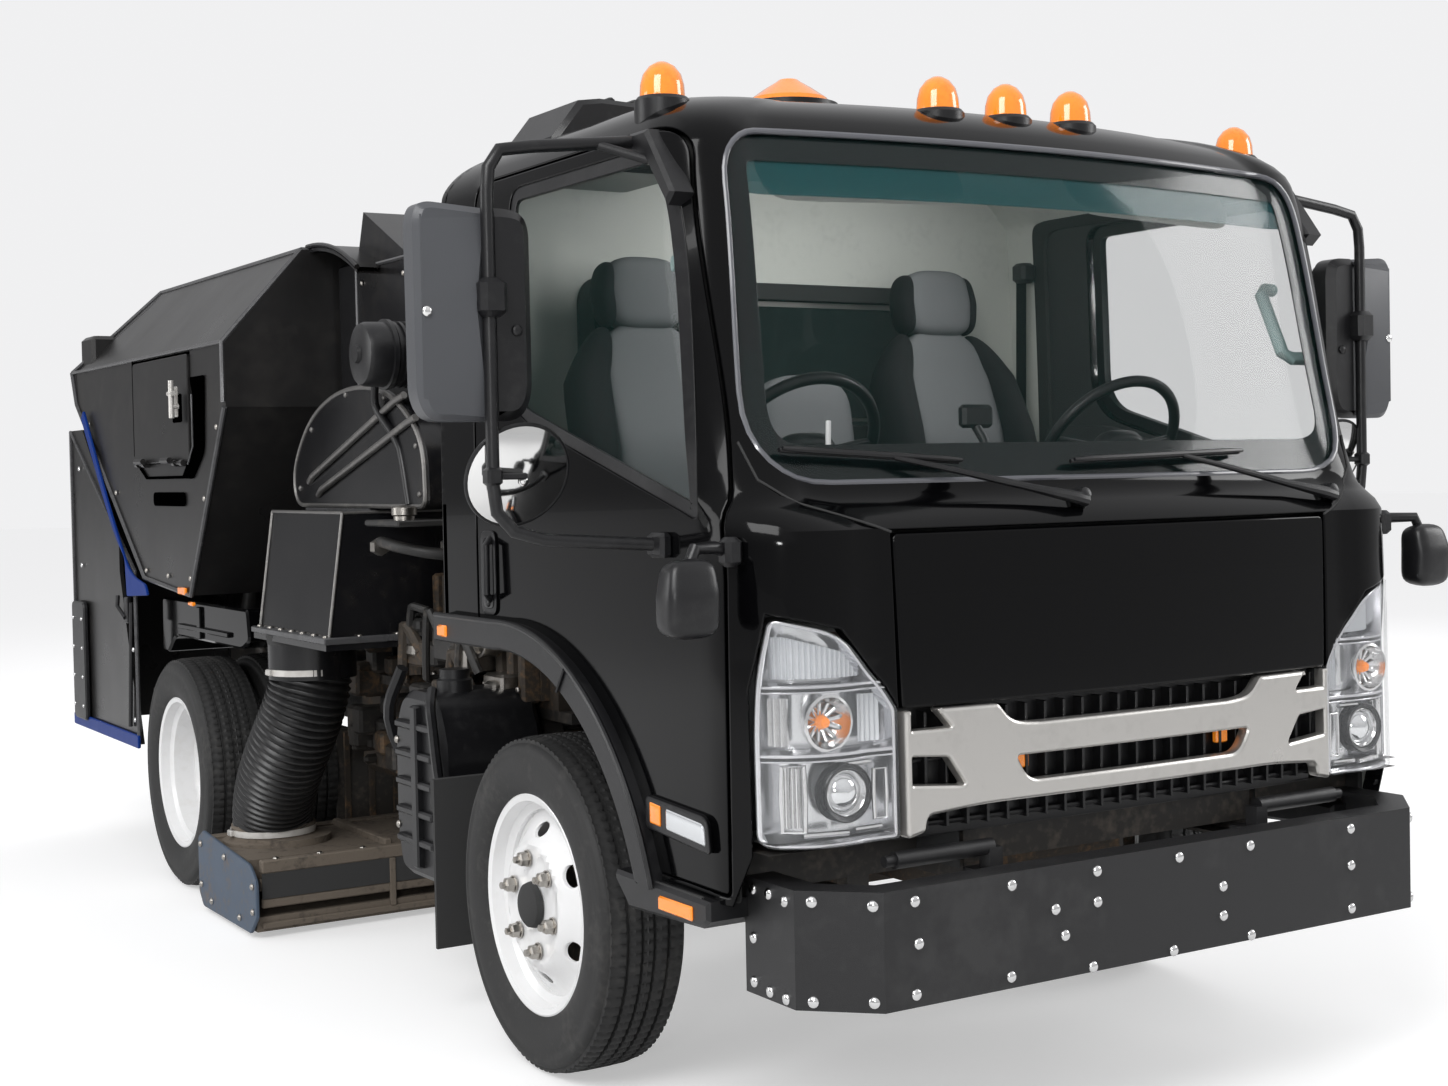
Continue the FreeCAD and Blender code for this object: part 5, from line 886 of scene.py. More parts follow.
class CabForm:
    """The cab's outer surface in two directions: s round it from the middle of the nose, and t up it.

    Each measure of the levels is carried up t by a monotone cubic. Round the cab, the nose is a parabola as
    deep as its bulge, then a circle through three points turns the corner, then a straight side runs back.
    """

    nose_run: float = 0.72
    corner_run: float = 0.33
    table_steps: int = 800
    dome_start: float = 2.15
    dome_rise: float = 0.07

    def __init__(self) -> None:
        """Lays the levels out along t."""
        self.values = {size.name: np.array([getattr(level, size.name) for level in LEVELS])
                       for size in fields(Level)}
        steps = np.hypot(np.diff(self.values["height"]), np.diff(self.values["nose"]))
        self.marks = np.concatenate([[0.0], np.cumsum(steps)])
        self.table = np.linspace(0.0, self.marks[-1], self.table_steps)
        self.heights = self.measure("height", self.table)

    def measure(self, key: str, t: np.ndarray) -> np.ndarray:
        """One measure at places t."""
        return monotone(t, self.marks, self.values[key])

    def corner_end(self, t: np.ndarray) -> np.ndarray:
        """Where the corner ends and the straight side starts."""
        return -(self.measure("nose", t) - self.measure("bulge", t)) + self.measure("corner", t)

    def t_of(self, z: np.ndarray) -> np.ndarray:
        """Place t of a height."""
        return np.interp(z, self.heights, self.table)

    def corner(self, t: np.ndarray, inset: float) -> tuple[np.ndarray, ...]:
        """Centre, radius and both end angles of the corner's circle.

        Args:
            t: Places up the cab.
            inset: Depth below the surface.

        Returns:
            Centre x and y, radius, and the angles at its start and end.
        """
        half, flat = self.measure("half", t) - inset, self.measure("flat", t)
        front = -(self.measure("nose", t) - inset - self.measure("bulge", t))
        side = front + self.measure("corner", t)
        bx, by = (flat + 3 * half) / 4, (3 * front + side) / 4
        d = 2 * (flat * (by - side) + bx * (side - front) + half * (front - by))
        p, q, r = flat ** 2 + front ** 2, bx ** 2 + by ** 2, half ** 2 + side ** 2
        cx = (p * (by - side) + q * (side - front) + r * (front - by)) / d
        cy = (p * (half - bx) + q * (flat - half) + r * (bx - flat)) / d
        return (cx, cy, np.hypot(flat - cx, front - cy), np.arctan2(front - cy, flat - cx),
                np.arctan2(side - cy, half - cx))

    def place(self, s: np.ndarray, t: np.ndarray, inset: float = 0.0) -> np.ndarray:
        """Points of the surface, moved inwards by an inset.

        Args:
            s: Places round the cab.
            t: Places up the cab.
            inset: Depth below the surface.

        Returns:
            An (n, 3) array, or one point.
        """
        s, t = np.broadcast_arrays(np.asarray(s, float), np.asarray(t, float))
        way, run = np.where(s < 0, -1.0, 1.0), np.abs(s)
        half, flat = self.measure("half", t) - inset, self.measure("flat", t)
        nose, bulge = self.measure("nose", t) - inset, self.measure("bulge", t)
        cx, cy, radius, start, end = self.corner(t, inset)
        share = run / self.nose_run
        turn = start + (end - start) * np.clip((run - self.nose_run) / self.corner_run, 0, 1)
        back = -(nose - bulge) + self.measure("corner", t) + run - self.nose_run - self.corner_run
        x = np.where(share <= 1, share * flat, cx + radius * np.cos(turn))
        y = np.where(share <= 1, -nose + bulge * share ** 2, cy + radius * np.sin(turn))
        beside = run > self.nose_run + self.corner_run
        x, y = np.where(beside, half, x), np.where(beside, back, y)
        height = self.measure("height", t)
        dome = np.clip((height - self.dome_start) / self.dome_rise, 0, 1)
        return np.stack([x * way, y, height - inset * dome], axis=-1)

    def from_front(self, outline: np.ndarray) -> np.ndarray:
        """An outline seen from the front, (x, z), as (s, t).

        Args:
            outline: An (n, 2) array of (x, z).

        Returns:
            An (n, 2) array of (s, t).
        """
        x, t = np.abs(outline[:, 0]), self.t_of(outline[:, 1])
        flat = self.measure("flat", t)
        cx, _, radius, start, end = self.corner(t, 0.0)
        turn = -np.arccos(np.clip((x - cx) / radius, -1, 1))
        round_it = self.nose_run + self.corner_run * (turn - start) / (end - start)
        s = np.where(x <= flat, x / flat * self.nose_run, round_it)
        return np.stack([s * np.where(outline[:, 0] < 0, -1, 1), t], axis=1)

    def from_side(self, outline: np.ndarray, side: float = -1.0) -> np.ndarray:
        """An outline seen from the side, (y, z), as (s, t) on the right (-1) or left (1).

        Args:
            outline: An (n, 2) array of (y, z).
            side: -1 on the truck's right, 1 on its left.

        Returns:
            An (n, 2) array of (s, t).
        """
        y, t = outline[:, 0], self.t_of(outline[:, 1])
        _, cy, radius, start, end = self.corner(t, 0.0)
        edge = self.corner_end(t)
        turn = np.arcsin(np.clip((y - cy) / radius, -1, 1))
        round_it = self.nose_run + self.corner_run * (turn - start) / (end - start)
        s = np.where(y >= edge, self.nose_run + self.corner_run + y - edge, round_it)
        return np.stack([s * side, t], axis=1)

    def under(self, depth: float) -> Callable[..., np.ndarray]:
        """The surface at a depth below the outer one, for Solid.skin."""
        return lambda s, t, inset: self.place(s, t, depth + inset)

    def at_front(self, x: float, z: float, inset: float = 0.0) -> np.ndarray:
        """The point of the surface at (x, z)."""
        s, t = self.from_front(np.array([[x, z]]))[0]
        return self.place(s, t, inset)

    def at_side(self, y: float, z: float, inset: float = 0.0, side: float = -1.0) -> np.ndarray:
        """The point of the surface at (y, z) on one side."""
        s, t = self.from_side(np.array([[y, z]]), side)[0]
        return self.place(s, t, inset)


CAB = CabForm()


def filled(outer: np.ndarray, holes: Sequence[np.ndarray], step: float) -> tuple[np.ndarray, list[list[int]]]:
    """Triangles over an outline with holes, with a net of points inside so that they can be bent.

    Args:
        outer: The outline.
        holes: Outlines left open.
        step: Spacing of the inner points.

    Returns:
        Points and triangles.
    """
    loops = [np.asarray(outer, float), *[np.asarray(h, float) for h in holes]]
    points = [p for loop in loops for p in loop]
    edges, start = [], 0
    for loop in loops:
        n = len(loop)
        edges += [(start + i, start + (i + 1) % n) for i in range(n)]
        start += n
    low, high = loops[0].min(axis=0), loops[0].max(axis=0)
    a, b = np.meshgrid(*(np.arange(low[k] + step / 2, high[k], step) for k in (0, 1)))
    net = np.stack([a.ravel(), b.ravel()], axis=1)
    clear = step * CLEAR_SHARE
    keep = inside(net, offset(loops[0], -clear))
    for hole in loops[1:]:
        keep &= ~inside(net, offset(hole, clear))
    points += list(net[keep])
    made = delaunay_2d_cdt([Vector((float(p[0]), float(p[1]))) for p in points], edges, [], 0, 1e-6)
    where = np.array([[v.x, v.y] for v in made[0]])
    middles = np.array([where[list(face)].mean(axis=0) for face in made[2]])
    wanted = inside(middles, loops[0])
    for hole in loops[1:]:
        wanted &= ~inside(middles, hole)
    return where, [list(face) for face, good in zip(made[2], wanted) if good]





NODE_FINISHES = {
    BLACK_PAINT: ("cab_shell", "door_right", "door_left", "front_panel"),
    GLASS: ("door_glass_right", "door_glass_left", "cab_glass"),
    LENS: ("headlamps",),
    SILVER: ("grille",),
    TRIM: ("fender_flares", "cab_steps", "roof_box", "mirror_right", "mirror_left", "look_down_mirrors",
           "steering_wheel_right", "steering_wheel_left"),
    BUMPER_BLACK: ("bumper",),
    AMBER: ("roof_lights",),
    CLOTH: ("seats",),
    DARK_TRIM: ("dash",),
    TYRE: ("front_tyre_right", "front_tyre_left", "rear_tyres_right", "rear_tyres_left"),
    WHITE_STEEL: ("front_rim_right", "front_rim_left", "rear_rims_right", "rear_rims_left"),
    BROWN_IRON: ("front_axle", "knuckle_right", "knuckle_left", "rear_axle", "chassis_engine",
                 "sweeper_engine"),
    CHASSIS: ("leaf_springs", "frame_rail_right", "frame_rail_left", "cross_members", "deck",
              "lift_barrels"),
    SATIN_BLACK: ("side_tanks", "belt_guard", "air_cleaner"),
    DUCT_BLACK: ("duct_tower", "suction_chute", "blast_chute"),
    RUBBER: ("mud_flaps", "air_hoses"),
    DUSTY_DECK: ("pickup_head",),
    BLUE_GREY: ("head_side_plates",),
    HOPPER_GREY: ("hopper_shell", "hopper_door", "side_hatch", "rear_side_panels", "rear_panel"),
    RED: ("tail_lamps",),
    CHROME: ("lift_rods",),
}


def dress_nodes() -> None:
    """Gives every CAD node that is shown its finish."""
    for finish, nodes in NODE_FINISHES.items():
        for node in nodes:
            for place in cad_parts[node].material_slots:
                place.material = finish.build()
            log.info("%s: %s", node, finish.name)


@dataclass
class Studio:
    """Floor, sky, lamps and camera."""

    floor_half: float = 60.0
    floor_shade: float = 0.66
    floor_glow: float = 0.43
    eye: Point = (-2.9914, -5.9437, 1.444)
    yaw: float = 0.5741
    pitch: float = 0.0258
    roll: float = -0.0196
    lens: float = 49.38
    shift: Flat = (-0.0496, -0.0162)
    sensor: float = 36.0
    far: float = 300.0
    floor_drop: float = 0.0005
    floor_rough: float = 0.9
    floor_mirror: float = 0.3
    sky_power: float = 0.9
    sky_blue: float = 1.02
    backdrop: Point = (0.97, 0.97, 0.98)
    ahead: Flat = (0.54, -0.84)
    mirror_share: float = 0.46
    mirror_base: float = 0.12

    def build(self) -> None:
        """Makes the whole studio."""
        self.floor()
        self.sky()
        self.lamps()
        self.camera()

    def floor(self) -> None:
        """A wide pale floor just below the tyres."""
        half = self.floor_half
        level = CAD_BOUNDS[0][2] - self.floor_drop
        mesh = bpy.data.meshes.new("floor")
        mesh.from_pydata([(x, y, level) for x, y, _ in rect(-half, half, -half, half)], [], [(0, 1, 2, 3)])
        material = bpy.data.materials.new("floor")
        material.use_nodes = True
        shader = material.node_tree.nodes["Principled BSDF"]
        shader.inputs["Base Color"].default_value = (self.floor_shade,) * 3 + (1.0,)
        shader.inputs["Roughness"].default_value = self.floor_rough
        light = material.node_tree.nodes.new("ShaderNodeLightPath")
        seen = Wave(material.node_tree, light.outputs["Is Camera Ray"])
        seen = seen + Wave(material.node_tree, light.outputs["Is Glossy Ray"]) * self.floor_mirror
        material.node_tree.links.new((seen * self.floor_glow).socket, shader.inputs["Emission Strength"])
        shader.inputs["Emission Color"].default_value = (1.0, 1.0, 1.0, 1.0)
        mesh.materials.append(material)
        thing = bpy.data.objects.new("floor", mesh)
        bpy.context.scene.collection.objects.link(thing)

    def sky(self) -> None:
        """A soft sky, brightest overhead and darker towards the horizon, which glossy paint mirrors.

        Camera and transmission rays see the backdrop's colour. Glossy rays see base + share * (a + 1) / 2 of
        it, where a is how far their direction points ahead of the truck's near corner.
        """
        world = bpy.data.worlds.new("sky")
        bpy.context.scene.world = world
        world.use_nodes = True
        tree = world.node_tree
        back = tree.nodes["Background"]
        place = tree.nodes.new("ShaderNodeTexCoord")
        split = tree.nodes.new("ShaderNodeSeparateXYZ")
        tree.links.new(place.outputs["Generated"], split.inputs[0])
        ramp = tree.nodes.new("ShaderNodeValToRGB")
        stops = ((0.0, 0.1), (0.49, 0.1), (0.56, 0.16), (0.7, 0.55), (1.0, 0.9))
        height = Wave(tree, split.outputs["Z"]) * 0.5 + 0.5
        tree.links.new(height.socket, ramp.inputs["Fac"])
        ramp.color_ramp.elements[0].position, ramp.color_ramp.elements[1].position = stops[0][0], stops[-1][0]
        for position, _ in stops[1:-1]:
            ramp.color_ramp.elements.new(position)
        for element, (_, shade) in zip(ramp.color_ramp.elements, stops):
            element.color = (shade, shade, shade * self.sky_blue, 1.0)
        light = tree.nodes.new("ShaderNodeLightPath")
        mix = tree.nodes.new("ShaderNodeMix")
        mix.data_type = "RGBA"
        mix.inputs["B"].default_value = (*self.backdrop, 1.0)
        seen = Wave(tree, light.outputs["Is Camera Ray"]) + Wave(tree, light.outputs["Is Transmission Ray"])
        along, across = (Wave(tree, split.outputs[axis]) * share for axis, share in zip("XY", self.ahead))
        ahead = along + across
        facing = (ahead * 0.5 + 0.5) * self.mirror_share + self.mirror_base
        seen = seen + Wave(tree, light.outputs["Is Glossy Ray"]) * facing
        tree.links.new(seen.clamp().socket, mix.inputs["Factor"])
        tree.links.new(ramp.outputs["Color"], mix.inputs["A"])
        tree.links.new(mix.outputs["Result"], back.inputs["Color"])
        back.inputs["Strength"].default_value = self.sky_power

    def lamps(self) -> None:
        """Soft square lamps: (name, place, aim, size, power) of each; two of them don't show in paint."""
        for name, place, aim, size, power in (
                ("key", (-7.0, -6.0, 7.5), (0.0, 0.0, 1.0), 5.0, 620.0),
                ("front", (8.5, -5.6, 5.2), (0.0, -1.5, 1.0), 4.0, 300.0),
                ("fill", (-8.0, 3.0, 3.0), (0.0, 1.0, 0.8), 4.0, 170.0),
                ("rear", (6.0, 7.0, 6.0), (0.0, 1.0, 1.0), 5.0, 250.0),
                ("cabin", (0.0, AXLE - 0.3, 2.14), (0.0, AXLE + 0.2, 1.2), 0.9, 11.0),
                ("strip", (-6.5, -9.0, 2.6), (-0.9, -2.4, 1.2), 0.7, 90.0)):
            lamp = bpy.data.lights.new(name, "AREA")
            lamp.size = size
            lamp.energy = power
            thing = bpy.data.objects.new(name, lamp)
            thing.location = place
            thing.visible_glossy = name not in ("rear", "cabin")
            thing.rotation_euler = (Vector(aim) - Vector(place)).to_track_quat("-Z", "Y").to_euler()
            bpy.context.scene.collection.objects.link(thing)

    def camera(self) -> None:
        """The camera where the photograph was taken from, turned by yaw, pitch and roll."""
        camera = bpy.data.cameras.new("camera")
        camera.lens = self.lens
        camera.sensor_width = self.sensor
        camera.shift_x, camera.shift_y = self.shift
        camera.clip_end = self.far
        ahead = Vector((math.sin(self.yaw) * math.cos(self.pitch), math.cos(self.yaw) * math.cos(self.pitch),
                        -math.sin(self.pitch)))
        right = Vector((math.cos(self.yaw), -math.sin(self.yaw), 0.0))
        up = right.cross(ahead)
        level = right * math.cos(self.roll) + up * math.sin(self.roll)
        upward = up * math.cos(self.roll) - right * math.sin(self.roll)
        turn = Matrix((level, upward, -ahead)).transposed().to_4x4()
        thing = bpy.data.objects.new("camera", camera)
        thing.matrix_world = Matrix.Translation(self.eye) @ turn
        bpy.context.scene.collection.objects.link(thing)
        bpy.context.scene.camera = thing


SCREEN = [(-0.885, 1.412, 0.19), (0.885, 1.412, 0.19), (0.842, 2.165, 0.12), (-0.842, 2.165, 0.12)]
WINDOW = [(-0.846, 1.34, 0.03), (-0.76, 1.99, 0.25), (-0.672, 2.13, 0.06), (0.055, 2.13, 0.06),
          (0.055, 1.592, 0.12)]


def arch(grow: float) -> list[Flat]:
    """The wheel arch from behind the axle to its low front end, grown by a band."""
    middle = (-0.6 + 0.716 * 0.36 - grow * 0.7, 0.56 + 0.456 * 0.72 + grow * 0.7)
    return arc((0.116, 1.016 + grow), middle, (-0.6 - grow, 0.56), 30)


def door_outline(shrink: float) -> np.ndarray:
    """A door from the side: pillar, top, back edge and the arch below.

    Args:
        shrink: How far it is drawn in.

    Returns:
        An (n, 2) array of (y, z).
    """
    low = [p for p in arch(0.012 + shrink) if p[1] > 0.582 + shrink]
    corners = [(-0.936 + shrink, 0.582 + shrink, 0.012), (-0.936 + shrink, 1.312, 0.1),
               (-0.882 + shrink, 1.5, 0.6), (-0.735 + shrink, 2.168 - shrink, 0.07),
               (0.262 - shrink, 2.168 - shrink, 0.07), (0.262 - shrink, 1.028 + shrink, 0.012)]
    return rounded(corners + [(y, z, 0.0) for y, z in low], 0.02)


@dataclass
class CabShell:
    """The cab's painted panels, glass and seals."""

    thickness: float = 0.03
    gap: float = 0.004
    glass_inset: float = 0.01
    border: float = 0.052
    window_frame: float = 0.03

    def build(self) -> None:
        """Makes the panels and the glass."""
        self.shell()
        self.rear_wall()
        for side, name, body in ((-1.0, "right", Body.DOOR_R), (1.0, "left", Body.DOOR_L)):
            self.door(side, name, body)
        self.front_panel()
        self.windscreen()
        self.floor()

    def screen(self, shrink: float, roundness: float = 1.0) -> np.ndarray:
        """The windscreen's outline drawn in, as (s, t)."""
        plain = offset(rounded([(x, z, r * roundness) for x, z, r in SCREEN], 0.025), -shrink)
        return CAB.from_front(plain)

    def shell(self) -> None:
        """Pillars, roof and sides in one skin round the cab."""
        low_line, high_line, brow_steps = 0.562, 2.15, 90
        half = [(0.0, 1.314), (0.634, 1.314), (0.628, 0.95), (0.655, 0.994), (0.768, 1.12), (0.905, 1.153),
                (0.93, 1.003), (0.93, 0.668)]
        dense: list[Flat] = []
        for (ax, az), (bx, bz) in zip(half, half[1:]):
            steps = max(1, int(math.hypot(bx - ax, bz - az) / 0.02))
            dense += [(ax + (bx - ax) * k / steps, az + (bz - az) * k / steps) for k in range(steps)]
        front = CAB.from_front(np.array(dense + [half[-1]]))
        low = [(y, low_line) for y in np.linspace(-0.94, -0.62, 12)]
        rise = [p for p in reversed(arch(0.0)) if p[1] > low_line]
        back = [(y, 1.016) for y in np.linspace(0.14, 0.478, 14)]
        back += [(0.478, z) for z in np.linspace(1.04, high_line, 40)]
        side = CAB.from_side(np.array(low + rise + back), 1.0)
        top_t = np.linspace(CAB.t_of(high_line), CAB.table[-1], 30)[1:]
        edge = [self.back_s(t) for t in top_t]
        side = np.vstack([side, np.stack([edge, top_t], axis=1)])
        right = np.vstack([front, side])
        ring_s = np.linspace(-edge[-1], edge[-1], brow_steps)
        top = np.stack([ring_s[::-1][1:-1], np.full(brow_steps - 2, top_t[-1])], axis=1)
        left = (right * np.array([-1.0, 1.0]))[::-1][:-1]
        outer = np.vstack([right, top, left])
        doors = [CAB.from_side(door_outline(0.0), way) for way in (-1.0, 1.0)]
        shell = Solid().skin(outer, [self.screen(0.0), *doors], CAB.place, self.thickness, 0.035, 0.005, 0, 1)
        for side, name in SIDES:
            self.door_seal(side, name)
        roof = Solid()
        rim = CAB.place(ring_s, np.full(brow_steps, top_t[-1]), 0.0)
        middle = np.array([0.0, -0.08, 2.312])
        share = np.linspace(0.0, 1.0, 10)[:, None, None]
        bow = rim[None] * (1 - share) + middle[None, None] * share
        bow[..., 2] = rim[None, :, 2] + (middle[2] - rim[None, :, 2]) * (1 - (1 - share[..., 0]) ** 2)
        roof.grid(bow, close_v=True)
        lined = bow.copy()
        lined[..., 2] -= self.thickness
        roof.grid(lined[::-1], close_v=True, mark=1)
        shell.join(roof)
        shell.put("cab shell", Body.CAB, (BLACK_PAINT, LINER), ["cab_shell"], "cab_paint", outward=False)

    @staticmethod
    def back_s(t: float) -> float:
        """How far round the rear corner lies at t."""
        return float(CAB.nose_run + CAB.corner_run + CAB.measure("back", t) - CAB.corner_end(t))

    def door_seal(self, side: float, name: str) -> None:
        """A dark jamb behind the door's gap, so that the gap reads black.

        Args:
            side: -1 on the truck's right, 1 on its left.
            name: right or left, for the pieces' names.
        """
        outline = CAB.from_side(door_outline(-0.02), side)
        inner = CAB.from_side(door_outline(0.028), side)
        jamb = Solid().skin(outline, [inner], CAB.under(self.thickness + 0.001), 0.008, 0.05, 0.002)
        jamb.put(f"door seal {name}", Body.CAB, RUBBER, outward=False)

    def rear_wall(self) -> None:
        """The flat rear wall with its window, painted dark as the shade behind it, and the window's dark
        frame and rails inside.
        """
        heights = np.concatenate([np.linspace(1.016, 2.15, 30), np.linspace(2.16, 2.3, 14)])
        half = CAB.measure("half", CAB.t_of(heights))
        outline = np.vstack([np.stack([half, heights], 1), np.stack([-half, heights], 1)[::-1]])
        hole = rounded(rect(-0.56, 0.56, 1.53, 1.96, 0.07))

        def wall(x: np.ndarray, z: np.ndarray, inset: float) -> np.ndarray:
            """A point of the rear wall; it leans in above the brow as the levels do."""
            back = CAB.measure("back", CAB.t_of(z))
            return np.stack(np.broadcast_arrays(-x, back - inset, z), axis=-1)

        made = Solid().skin(outline, [hole], wall, self.thickness, 0.06, 0.004, 0, 1)
        made.put("cab rear wall", Body.CAB, (BLACK_PAINT, LINER), outward=False)
        inner = offset(hole, -0.035)
        made = Solid().skin(offset(hole, 0.012), [inner],
                            lambda x, z, d: wall(x, z, self.thickness + 0.012 - d), 0.012, 0.05, 0.003)
        made.put("rear window frame", Body.CAB, RUBBER, outward=False)
        # Near-opaque dark glass: painted shade in place of the view through.
        pane = Solid().skin(offset(hole, -0.006), [], lambda x, z, d: wall(x, z, 0.012 + d),
                            0.005, 0.2, 0.001)
        pane.put("rear window", Body.CAB, REAR_GLASS_PAINTED_SHADE, ["cab_glass"], "glass", outward=False)
        rail = Solid()
        for low, high in ((1.575, 1.59), (1.905, 1.925)):
            rail.box((-0.545, 0.462, low), (0.545, 0.47, high), 0.003)
        rail.put("rear window rails", Body.CAB, SILVER)

    def door(self, side: float, name: str, body: Body) -> None:
        """One door's skin with its window opening, rubber seals and glass.

        Args:
            side: -1 on the truck's right, 1 on its left.
            name: right or left, for the pieces' names.
            body: The body it rides on.
        """
        outline = CAB.from_side(door_outline(self.gap), side)
        opening = rounded(WINDOW, 0.02)
        hole = CAB.from_side(opening, side)
        made = Solid().skin(outline, [hole], CAB.place, self.thickness, 0.03, 0.005, 0, 1)
        made.put(f"door {name}", body, (BLACK_PAINT, DARK_TRIM), [f"door_{name}"], "cab_paint", outward=False)
        inner = CAB.from_side(offset(opening, -self.window_frame), side)
        made = Solid().skin(CAB.from_side(offset(opening, 0.001), side), [inner],
                            CAB.under(0.004), 0.014, 0.05, 0.003)
        made.put(f"window seal {name}", body, TRIM, outward=False)
        made = Solid().skin(CAB.from_side(offset(opening, -0.006), side), [],
                            CAB.under(0.012), 0.004, 0.08, 0.001)
        made.put(f"window glass {name}", body, GLASS, [f"door_glass_{name}"], "glass", outward=False)
        self.door_card(side, name, body)

    def door_card(self, side: float, name: str, body: Body) -> None:
        """The inner trim of a door below its window, with an armrest.

        Args:
            side: -1 on the truck's right, 1 on its left.
            name: right or left, for the pieces' names.
            body: The body it rides on.
        """
        outline = rounded([(-0.82, 0.98, 0.1), (-0.82, 1.33, 0.03), (-0.06, 1.55, 0.05), (0.2, 1.56, 0.05),
                           (0.2, 1.1, 0.1), (-0.25, 1.09, 0.1)])
        made = Solid().skin(CAB.from_side(outline, side), [], CAB.under(0.034), 0.03, 0.08, 0.012)
        made.put(f"door trim {name}", body, DARK_TRIM, outward=False)
        rest = Solid().box((side * 0.86, -0.45, 1.3), (side * 0.93, 0.05, 1.35), 0.02)
        rest.put(f"armrest {name}", body, DARK_TRIM)

    def front_panel(self) -> None:
        """The hinged panel over the grille: slightly proud edges and a rolled rim."""
        outline = rounded([(-0.62, 0.948, 0.012), (0.62, 0.948, 0.012), (0.631, 1.308, 0.02),
                           (-0.631, 1.308, 0.02)], 0.03)
        made = Solid().skin(CAB.from_front(outline), [], CAB.place, self.thickness, 0.04, 0.006)
        made.put("front panel", Body.CAB, BLACK_PAINT, ["front_panel"], "cab_paint", outward=False)

    def windscreen(self) -> None:
        """Glass, black border, tinted band, and a seal painted grey as the highlight on its black rubber."""
        made = Solid().skin(self.screen(0.004), [], CAB.under(self.glass_inset), 0.005, 0.05, 0.001)
        made.put("windscreen", Body.CAB, GLASS, slot="glass", outward=False)
        inner = offset(rounded([(-0.872, 1.44, 0.15), (0.872, 1.44, 0.15), (0.835, 2.15, 0.08),
                                (-0.835, 2.15, 0.08)], 0.025), -self.border)
        made = Solid().skin(self.screen(0.005), [CAB.from_front(inner)], CAB.under(self.glass_inset + 0.0055),
                            0.003, 0.04, 0.001)
        made.put("windscreen border", Body.CAB, BORDER, outward=False)
        tint = rounded([(-0.84, 2.025, 0.0), (0.84, 2.025, 0.0), (0.8, 2.12, 0.05), (-0.8, 2.12, 0.05)], 0.03)
        made = Solid().skin(CAB.from_front(tint), [], CAB.under(self.glass_inset + 0.01), 0.002, 0.06, 0.0005)
        made.put("windscreen tint", Body.CAB, TINT, outward=False)
        # The seal's grey is a painted highlight on black rubber.
        ring = self.screen(0.0)
        path = CAB.place(ring[:, 0], ring[:, 1], 0.004)
        loop(path, 0.007).put("windscreen seal", Body.CAB, SEAL_PAINTED_HIGHLIGHT)

    def floor(self) -> None:
        """Floor pans over the wheels, and the engine tunnel between them."""
        line = [(0.47, 1.024)] + [(y, z + 0.008) for y, z in arch(0.0)]
        line += [(-0.86, 0.568), (-0.872, 0.676), (-1.03, 0.676)]
        floor = Solid()
        for side in (-1.0, 1.0):
            rows = []
            for x in (0.43, 0.92):
                rows.append([(x * side, y, z) for y, z in line])
            under = np.array(rows)
            over = under + np.array([0.0, 0.0, 0.022])
            floor.grid(under if side > 0 else under[::-1])
            floor.grid(over[::-1] if side > 0 else over, mark=1)
        tunnel = [(-0.43, 0.57), (-0.43, 0.945), (0.43, 0.945), (0.43, 0.57)]
        rows = [[(x, y, z) for x, z in tunnel] for y in (-1.02, -0.2)]
        floor.grid(np.array(rows))
        floor.grid(np.array([[(x * 1.02, y, z + 0.02) for x, y, z in row] for row in rows])[::-1], mark=1)
        top = [(-0.43, 1.03), (0.43, 1.03)]
        floor.grid(np.array([[(x, y, z) for x, z in top] for y in (-0.2, 0.47)]), mark=1)
        floor.put("cab floor", Body.CAB, (CHASSIS, DARK_TRIM), outward=False)


def loop(path: np.ndarray, radius: float, steps: int = 10) -> Solid:
    """A round bead along a closed path: each ring lies across the run from the point before to the next.

    Args:
        path: An (n, 3) array.
        radius: Its radius.
        steps: Facets round it.

    Returns:
        The bead.
    """
    way = np.roll(path, -1, axis=0) - np.roll(path, 1, axis=0)
    way /= np.linalg.norm(way, axis=1)[:, None]
    middle = path.mean(axis=0)
    outward = path - middle
    outward -= way * np.sum(outward * way, axis=1)[:, None]
    outward /= np.linalg.norm(outward, axis=1)[:, None]
    third = np.cross(way, outward)
    turn = turns(steps)
    rings = (path[:, None] + radius * (np.cos(turn)[None, :, None] * outward[:, None]
                                       + np.sin(turn)[None, :, None] * third[:, None]))
    return Solid().grid(rings, close_u=True, close_v=True)


